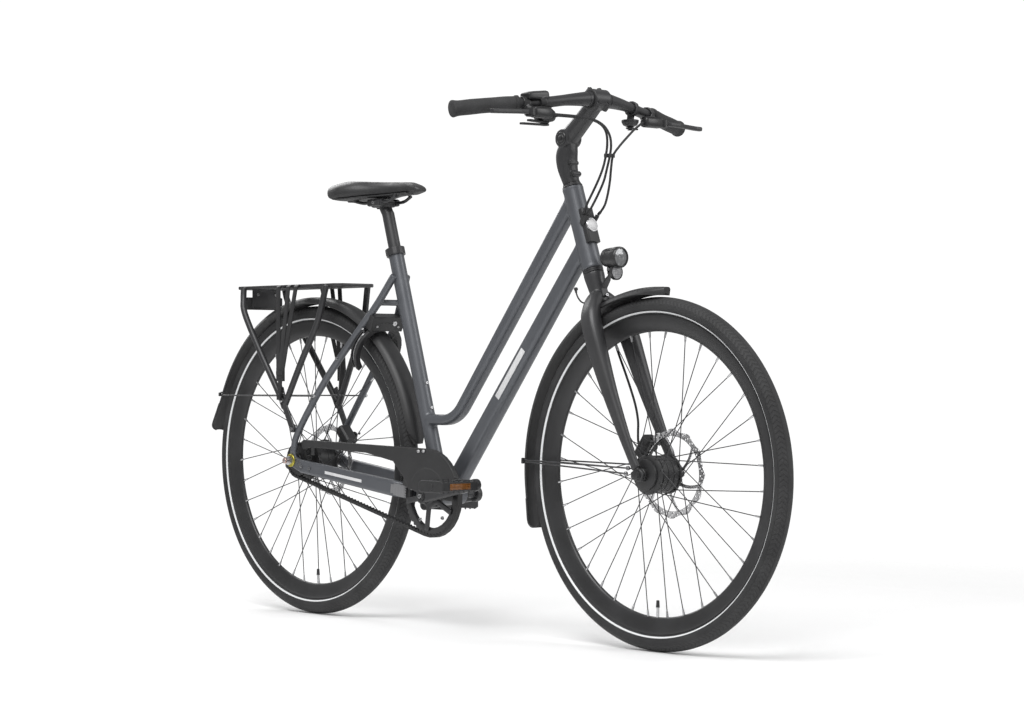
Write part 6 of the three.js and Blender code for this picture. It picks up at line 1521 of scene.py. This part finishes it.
@dataclass
class Saddle:
    """Saddle: padded cover swelled by a cloth simulation, shell, rails, post and clamp."""

    rear: float = 118.0
    length: float = 262.0
    top: float = 976.0
    depth: float = 41.5
    half: float = 80.0
    inset: float = 1.0
    swelling: float = 0.005

    def build(self) -> list[Piece]:
        """Builds the saddle, its post and its clamp."""
        made = [self.build_cushion()]
        made += Casting(
            "saddle_shell", "saddle_base", "seat", Finish.PLASTIC, "black_plastic", 1.3, 3, self.on_base).build()
        made += [self.build_post()]
        made += Casting("seat_collar", "seat_clamp", "frame", Finish.BLACK, "black_paint", 1, 3, self.on_collar).build()
        made += Casting(
            "seat_quick_lever", "seat_clamp_lever", "clamp_lever", Finish.BLACK, "black_paint", 0.8, 3).build()
        return made

    def rows(self) -> tuple[list[Vector], list[list[tuple[float, float]]]]:
        """Stations of the cover and their outlines, drawn in by the inset."""
        stations = smooth_path([vec(self.rear + a * self.length, w * self.half - self.inset,
                                        self.top - self.depth + c * self.depth - self.inset,
                                        self.top - self.depth + u * self.depth + self.inset * 0.5)
                                for a, w, c, u in SADDLE_STATIONS], 4)
        half = smooth_path([Vector(s) for s in SADDLE_SECTION], 3)
        around = [*half, *[vec(-p[0], p[1]) for p in reversed(half[1:])]]
        path = [vec(s[0], 0, 0) for s in stations]
        outlines = [[(p[0] * max(s[1], 1.5), mix(s[3], s[2], p[1])) for p in around] for s in stations]
        return path, outlines

    def build_cushion(self) -> Piece:
        """Cover: a slightly smaller form that the cloth's pressure swells, then subdivided."""
        shape = Shape()
        path, outlines = self.rows()
        shape.sweep(path, lambda i: outlines[i], Y, Finish.LEATHER)
        shape.fuse(3.6, 2)
        shape.slot(Finish.LEATHER)
        made = shape.object("saddle_cover", "seat", Finish.LEATHER, ["saddle_cushion"], "leather", 180)
        self.swell(made)
        smooth = made.modifiers.new("smooth", "SUBSURF")
        smooth.levels = smooth.render_levels = 1
        return made

    def swell(self, made: Piece) -> None:
        """Blows the cover up under pressure, with each point kept within the swelling."""
        rest = [v.co.copy() for v in made.data.vertices]
        cloth = made.modifiers.new("cloth", "CLOTH")
        cloth.settings.use_pressure = True
        cloth.settings.uniform_pressure_force = 4
        cloth.settings.effector_weights.gravity = 0
        cloth.settings.quality = 6
        scene = bpy.context.scene
        for step in range(1, 21):
            scene.frame_set(step)
        done = made.evaluated_get(bpy.context.evaluated_depsgraph_get())
        moved = [v.co.copy() for v in done.data.vertices]
        made.modifiers.remove(cloth)
        scene.frame_set(1)
        low = (self.top - self.depth) * UNIT
        for vert, start, end in zip(made.data.vertices, rest, moved):
            step = end - start
            share = min(1, (start.z - low) / (self.depth * 0.3 * UNIT))
            limit = self.swelling * max(0, share)
            vert.co = start + step * min(1, limit / step.length if step.length else 1)

    def on_base(self, shape: Shape) -> None:
        """Smooth rails and their end bosses."""
        line = ((146, 936.6), (164, 935.4), (184, 931.5), (200, 929), (218, 929), (270, 929), (288, 931), (302, 937),
                (310, 941))
        for side in SIDES:
            shape.tube([(x, side * 22, z, 3.6) for x, z in line], 16, 5, Y, Finish.BLACK)

    def build_post(self) -> Piece:
        """Round post under its rail clamp."""
        shape = Shape()
        shape.slot(Finish.BLACK)
        shape.node("seat_post")
        shape.fuse(1.2, 3)
        foot = SEAT_TOP - SEAT_UP * 186
        shape.rod(foot, SEAT_TOP + SEAT_UP * 82, 13.75, 48, None, Finish.BLACK)
        centre = vec(241, 0, 929)
        for side in SIDES:
            shape.block((52, 11, 16), centre + Y * side * 22, None, Finish.BLACK, 4)
            shape.rod(centre + vec(side * 16, 0, -13), centre + vec(side * 16, 0, 5), 4.6, 20)
        shape.block((46, 36, 13), centre - Z * 4, None, Finish.BLACK, 4)
        for side in SIDES:
            shape.screw(centre + vec(side * 13, 0, -7), -Z, 3.4)
        shape.screw(centre - Y * 28, -Y, 4)
        return shape.object("seat_pillar", "seat", Finish.BLACK, ["seat_post"], "black_paint", 40)

    def on_collar(self, shape: Shape) -> None:
        """Lips of the collar."""
        for along in (-7.4, 7.4):
            shape.turned(band(17.2, 21.3, -0.7, 0.7), SEAT_TOP - SEAT_UP * (8 - along), 48, SEAT_UP,
                         SEAT_UP.cross(Y), Finish.BLACK)


class Rack:
    """Rack, elastic straps and the rear light."""

    def build(self) -> list[Piece]:
        """Builds the rack's pieces."""
        made = Casting("rack_frame", "rack", "frame", Finish.BLACK, "black_paint", 1.6, 3, self.on_rack).build()
        made += Casting("rack_bands", "rack_straps", "frame", Finish.STRAP, "rubber", 0, 0, self.on_straps).build()
        made.append(self.build_light())
        return made

    def on_rack(self, shape: Shape) -> None:
        """Rounder legs, and the screws of the light plate and of the feet."""
        legs = (((-196, 60, 747), (-192, 64, 722), (-178, 71, 690), (-125, 75, 617), (-42, 78, 510), (-22, 78, 484)),
                ((112, 60, 747), (88, 67, 662), (44, 73, 585), (-6, 78, 493), (-14, 78, 480)))
        for side in SIDES:
            for leg in legs:
                shape.tube([(x, side * y, z, 7.2) for x, y, z in leg], 16, 5)
        for y in (-26, 26):
            for x, out in ((-192.2, -X), (-187.8, X)):
                shape.screw(vec(x, y, 733), out, 3.4)
        for side in SIDES:
            for x, z in ((-20, 503), (14, 424)):
                shape.screw(vec(x, side * 81.2, z), Y * side, 4)
            shape.rod(vec(-41, side * 60, 748), vec(-41, side * 66, 748), 3, 16)

    def on_straps(self, shape: Shape) -> None:
        """Buckles and hooks of the bands."""
        for side in SIDES:
            buckle = vec(-18, side * 89, 547)
            shape.block((24, 1.4, 8), buckle + Y * side * 3.4 + Z * 4, None, Finish.PLASTIC, 0.5)
            shape.block((20, 1.4, 4), buckle + Y * side * 3.4 - Z * 6, None, Finish.PLASTIC, 0.5)
            hook = [(-23, side * 89, 503, 2.4), (-23, side * 89, 492, 2.4),
                    (-19, side * 88, 486, 2.4), (-14, side * 87, 488, 2.2)]
            shape.tube(hook, 12, 4, Y, Finish.STEEL)

    def build_light(self) -> Piece:
        """Rear light: dark housing with a red lens and a plain reflector below it."""
        shape = Shape()
        shape.block((11, 102, 29), vec(-197.8, 0, 712.5), None, Finish.PLASTIC, 2.4)
        shape.block((10.6, 90, 14), vec(-208, 0, 718.6), None, Finish.RED, 2.6)
        shape.block((9.2, 72, 9), vec(-207.2, 0, 704.6), None, Finish.RED, 1.6)
        for y in (-44, 44):
            shape.screw(vec(-203.2, y, 705), -X, 1.8)
        return shape.object("rear_light_body", "frame", Finish.PLASTIC, ["rear_light"], "red_lens")


class Lock:
    """Ring lock on the seat stays, with its shackle."""

    centre: tuple[float, float, float] = (213.5, 0, 604.8)
    lean: float = 24.8

    def build(self) -> list[Piece]:
        """Builds the lock's body and shackle."""
        made = Casting("lock_body", "ring_lock", "frame", Finish.PLASTIC, "black_plastic", 1.3, 3, self.on_body).build()
        made += Casting("lock_bolt", "lock_shackle", "shackle", Finish.STEEL, "steel", 0.9, 3).build()
        return made

    def on_body(self, shape: Shape) -> None:
        """Key cylinder, slots and pale rivets on the front face."""
        lean = Matrix.Rotation(math.radians(self.lean), 4, "Y")
        turn = Matrix.Translation(self.centre) @ lean
        into = turn.to_3x3()
        for y in (-30, 30):
            shape.screw(turn @ vec(17.2, y, 62), into @ X, 2.6, Finish.STEEL)
        for y in (-16, -5, 6):
            shape.block((1.2, 7, 1.8), turn @ vec(17.2, y, 70), lean, Finish.CAST, 0.3)
        spot = turn @ vec(17, 18, 70)
        shape.rod(spot, spot + into @ X * 2.2, 6, 28, 5.4, Finish.STEEL)
        shape.rod(spot + into @ X * 2.2, spot + into @ X * 2.5, 1.6, 6, None, Finish.CAST)


class Lamp:
    """Front lamp with its lens, the round reflector under it and the bracket."""

    def build(self) -> list[Piece]:
        """Builds the lamp and the bracket."""
        return [
            self.build_lamp(),
            *Casting("lamp_strut", "lamp_bracket", "steer", Finish.BLACK, "black_paint", 0.9, 3, self.on_strut).build()]

    def build_lamp(self) -> Piece:
        """Ribbed round housing, bezel, fluted lens and reflector."""
        shape = Shape()
        middle = vec(966, 0, 785.4)
        profile = [(0.01, -25), (9, -24.6), (14.5, -22.4), (18.2, -18), (19.2, -13), (18.5, -12.2),
                   (18.5, -10.6), (19.6, -9.8), (18.9, -9), (18.9, -7.4), (20.1, -6.6), (20.6, 6), (21.6, 9),
                   (21.9, 19), (21.5, 22.4), (20.4, 24.2), (18.2, 24.6), (17.6, 22.4), (0.01, 22.4)]
        shape.turned(profile, middle, 64, X, Z, Finish.SATIN)
        shape.turned([(0.01, 20), (17.5, 20), (17.5, 22.6), (12, 24.2), (6, 25), (0.01, 25.2)], middle, 56,
                     X, Z, Finish.LAMP)
        below = vec(975, 0, 756)
        shape.turned([(0.01, -4), (15.6, -4), (16.3, -3.2), (16.3, 3.4), (15.4, 4), (14.2, 4), (13.8, 3),
                      (0.01, 3)], below, 56, X, Z, Finish.SATIN)
        shape.turned([(0.01, 2), (13.7, 2), (13.7, 3.3), (0.01, 3.9)], below, 56, X, Z, Finish.CLEAR)
        pivot = vec(964, 0, 762)
        for side in SIDES:
            shape.block((12, 3.6, 24), vec(964, side * 6.6, 764), None, Finish.SATIN, 1.2)
            shape.rod(pivot + Y * side * 4.8, pivot + Y * side * 8.4, 7, 28, None, Finish.SATIN)
            shape.screw(pivot + Y * side * 8.4, Y * side, 3.2)
        return shape.object("lamp_housing", "lamp", Finish.SATIN, ["lamp"], "black_plastic")

    def on_strut(self, shape: Shape) -> None:
        """Screw that holds the strut on the crown."""
        shape.screw(vec(946.6, 0, 710) + X * 1.4, HEAD_FORWARD, 3.6)


class Brakes:
    """Both disc calipers."""

    def build(self) -> list[Piece]:
        """Builds the calipers with their bolts."""
        made = []
        for name, body in (("front_caliper", "steer"), ("rear_caliper", "frame")):
            made += Casting(f"{name}_body", name, body, Finish.CAST, "black_paint", 0.9, 3,
                            lambda shape, name=name: self.bolts(shape, name)).build()
        return made

    def bolts(self, shape: Shape, name: str) -> None:
        """Two bolts and a round pad cover on a caliper's outer face."""
        low, high = (TO_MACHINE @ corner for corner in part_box(name))
        middle, size = (low + high) / 2, high - low
        for share in (-0.24, 0.24):
            shape.screw(vec(middle.x + size.x * share, high.y - 1, middle.z + size.z * share * 0.4), Y, 3.2)
        shape.rod(vec(middle.x, high.y - 3, middle.z), vec(middle.x, high.y + 0.6, middle.z), 9, 32, 8, Finish.CAST)


class Drive:
    """Belt drive: toothed ring and sprocket, belt, cranks, pedals, guard and bottom bracket."""

    belt_swell: float = 1.25
    crank_face: float = 82.2

    def build(self) -> list[Piece]:
        """Builds the drive's pieces."""
        made = Casting("drive_ring", "belt_ring", "crank", Finish.CAST, "black_paint", 0, 0, self.on_ring).build()
        made += Casting("rear_cog", "sprocket", "sprocket", Finish.CAST, "steel", 0).build()
        for name, side in (("right", -1), ("left", 1)):
            made += Casting(f"crank_arm_{name}", f"crank_{name}", "crank", Finish.BLACK, "black_paint", 1.3, 3,
                            lambda shape, side=side: self.on_crank(shape, side)).build()
        for name, side, tip in (("right", -1, (632.4, 317.5)), ("left", 1, (297.6, 258.5))):
            made += Casting(f"pedal_body_{name}", f"pedal_{name}", f"pedal_{name}", Finish.PLASTIC, "black_plastic",
                            1.1, 3, lambda shape, side=side, tip=tip: self.on_pedal(shape, side, tip)).build()
        made.append(self.build_guard())
        made += Casting("bottom_cups", "bottom_bracket", "frame", Finish.CAST, "dark_steel", 0).build()
        made.append(self.build_belt())
        return made

    def build_belt(self) -> Piece:
        """Toothed belt, a little thickened, with softened edges."""
        shape = Shape()
        shape.slot(Finish.BELT)
        shape.node("belt", 0.3, None, 40, 1)
        shape.bm.normal_update()
        for vert in shape.bm.verts:
            vert.co += vert.normal * self.belt_swell
        return shape.object("drive_belt", "frame", Finish.BELT, ["belt"], "rubber")

    def on_ring(self, shape: Shape) -> None:
        """Bolts of the spider."""
        for k in range(5):
            turn = math.tau * k / 5 + 0.4
            place = BOTTOM + vec(61 * math.cos(turn), -54.4, 61 * math.sin(turn))
            shape.screw(place, -Y, 4.2)

    def on_crank(self, shape: Shape, side: float) -> None:
        """Axle cap on the boss and the pedal eye's ring."""
        tip = on_circle(BOTTOM, CRANK_LENGTH, CRANK_TURN if side < 0 else CRANK_TURN + 180)
        for centre, radius in ((BOTTOM, 11), (tip, 8.6)):
            shape.turned(band(radius * 0.62, radius, 0, 0.9), centre + Y * side * self.crank_face, 32, Y * side, Z,
                         Finish.SATIN)
        shape.screw(BOTTOM + Y * side * self.crank_face, Y * side, 5.6)

    def on_pedal(self, shape: Shape, side: float, tip: tuple[float, float]) -> None:
        """Reflectors, grip pins and the dust cap of a pedal."""
        centre = vec(tip[0], side * 150, tip[1])
        for end in SIDES:
            if side < 0 or end < 0:
                shape.block((3.4, 56, 13), centre + X * end * 37.4, None, Finish.AMBER, 0.8)
            for up in (1, -1):
                shape.block((4.4, 61, 2), centre + X * end * 36.8 + Z * up * 7.4, None, Finish.PLASTIC, 0.5)
            for k in range(7):
                for up in SIDES:
                    pin = centre + vec(end * 33, -42 + 14 * k, up * 9)
                    shape.rod(pin, pin + Z * up * 4.2, 2, 10, 1.5, Finish.PLASTIC)
        shape.rod(centre + Y * side * 47, centre + Y * side * 50.2, 9, 28, 7.4, Finish.SATIN)

    def build_guard(self) -> Piece:
        """Belt guard with its lifted tail, the web over the ring and two pale screws."""
        shape = Shape()
        shape.node("belt_guard")
        for vert in shape.bm.verts:
            vert.co.z += 10.5 * min(1, max(0, (420 - vert.co.x) / 330))
            if vert.co.z < 335:
                vert.co.x = max(vert.co.x, 380 + 28 * min(1, (335 - vert.co.z) / 30))
        arc = [on_circle(BOTTOM, 54, 7 * k - 8, -64.6) for k in range(26)]
        shape.sweep(arc, rounded(1.8, 62, 0.5, 1), Y)
        shape.fuse(1.1, 4)
        shape.slot(Finish.GUARD)
        for x, z in ((441, 383.4), (458, 384)):
            shape.screw(vec(x, -67.4, z), -Y, 3.2, Finish.PALE)
        return shape.object("belt_cover", "frame", Finish.GUARD, ["belt_guard"], "black_plastic", 60)


class Stand:
    """Kickstand folded beside the rear wheel."""

    def build(self) -> list[Piece]:
        """Builds the stand."""
        return Casting("stand_leg", "kickstand", "stand", Finish.BLACK, "black_paint", 1.4, 3).build()


WHITE = (1, 1, 1, 1)


@dataclass
class Studio:
    """Pale floor, soft light and the camera that matches the view."""

    place: tuple[float, float, float] = (4.1658, -3.6951, 0.5664)
    heading: float = 47.45
    lens: float = 91.46
    shift: tuple[float, float] = (-0.0039, 0.0040)

    def build(self) -> None:
        """Builds the floor, the lights, the sky and the camera."""
        self.build_floor()
        self.build_sky()
        self.lamp("key", (1, -2.2, 3.6), (0, 0, 0.4), 2.6, 135)
        self.lamp("fill", (3.4, 2.2, 2.4), (0.2, 0, 0.5), 2.2, 48)
        self.lamp("rim", (-3.2, 0.6, 2.8), (0, 0, 0.6), 2.2, 70)
        self.build_camera()
        scene = bpy.context.scene
        scene.view_settings.view_transform = "Standard"
        scene.view_settings.look = "None"

    def build_floor(self) -> None:
        """Wide floor with a faint mottle that stays almost white."""
        mesh = bpy.data.meshes.new("floor")
        bm = bmesh.new()
        bmesh.ops.create_grid(bm, x_segments=1, y_segments=1, size=30)
        bm.to_mesh(mesh)
        bm.free()
        floor = bpy.data.objects.new("floor", mesh)
        bpy.context.scene.collection.objects.link(floor)
        made = Surface("floor_white")
        cloud = made.grain(400, 3)
        x, y, _ = made.places(vec(SHIFT, 0, 0))
        away = (x * x + y * y) ** 0.5
        made.gloss(Base_Color=made.blend(cloud.span(0.3, 0.7), (0.92, 0.92, 0.92), (0.94, 0.94, 0.94)),
                   Roughness=0.9, Specular_IOR_Level=0.1, Alpha=away.span(2600, 1500))
        mesh.materials.append(made.material)
        floor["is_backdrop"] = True

    def build_sky(self) -> None:
        """Soft even sky that the camera sees as plain white."""
        world = bpy.data.worlds.new("studio")
        bpy.context.scene.world = world
        world.use_nodes = True
        tree = world.node_tree
        tree.nodes.clear()
        path = tree.nodes.new("ShaderNodeLightPath")
        seen = tree.nodes.new("ShaderNodeBackground")
        seen.inputs[0].default_value = WHITE
        seen.inputs[1].default_value = 1.05
        soft = tree.nodes.new("ShaderNodeBackground")
        soft.inputs[0].default_value = WHITE
        soft.inputs[1].default_value = 0.42
        mixed = tree.nodes.new("ShaderNodeMixShader")
        out = tree.nodes.new("ShaderNodeOutputWorld")
        tree.links.new(path.outputs["Is Camera Ray"], mixed.inputs[0])
        tree.links.new(soft.outputs[0], mixed.inputs[1])
        tree.links.new(seen.outputs[0], mixed.inputs[2])
        tree.links.new(mixed.outputs[0], out.inputs[0])

    def lamp(self, name: str, place: Sequence[float], aim: Sequence[float], size: float, power: float) -> None:
        """Square soft light that looks at a place."""
        light = bpy.data.lights.new(name, "AREA")
        light.size = size
        light.energy = power
        holder = bpy.data.objects.new(name, light)
        holder.location = place
        holder.rotation_euler = (Vector(aim) - Vector(place)).to_track_quat("-Z", "Y").to_euler()
        bpy.context.scene.collection.objects.link(holder)

    def build_camera(self) -> None:
        """Camera at the height and distance of the view."""
        camera = bpy.data.cameras.new("view")
        camera.lens = self.lens
        camera.sensor_width = 36
        camera.sensor_fit = "HORIZONTAL"
        camera.shift_x, camera.shift_y = self.shift
        camera.clip_end = 100
        holder = bpy.data.objects.new("view", camera)
        holder.location = self.place
        holder.rotation_euler = (math.radians(90), 0, math.radians(self.heading))
        bpy.context.scene.collection.objects.link(holder)
        bpy.context.scene.camera = holder


def write_size() -> None:
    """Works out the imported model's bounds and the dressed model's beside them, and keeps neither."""
    [list(corner) for corner in (*PACKED, *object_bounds())]


def finish_rest() -> None:
    """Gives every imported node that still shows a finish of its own."""
    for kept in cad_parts.values():
        for slot in kept.material_slots:
            slot.material = PALETTE[Finish.BLACK]


def main() -> None:
    """Builds the machine and the studio in order."""
    logging.basicConfig(level=logging.INFO, format="%(name)s: %(message)s")
    finish_rest()
    for part in PARTS:
        made = part().build()
        LOG.info("%s ready: %d pieces", part.__name__, len(made))
    Studio().build()
    write_size()


PARTS = (Wheels, FrameTubes, Fork, Headset, Guards, Stem, Handlebar, Cords, Saddle, Rack, Lock, Lamp, Brakes, Drive,
         Stand)

if __name__ == "__main__":
    main()
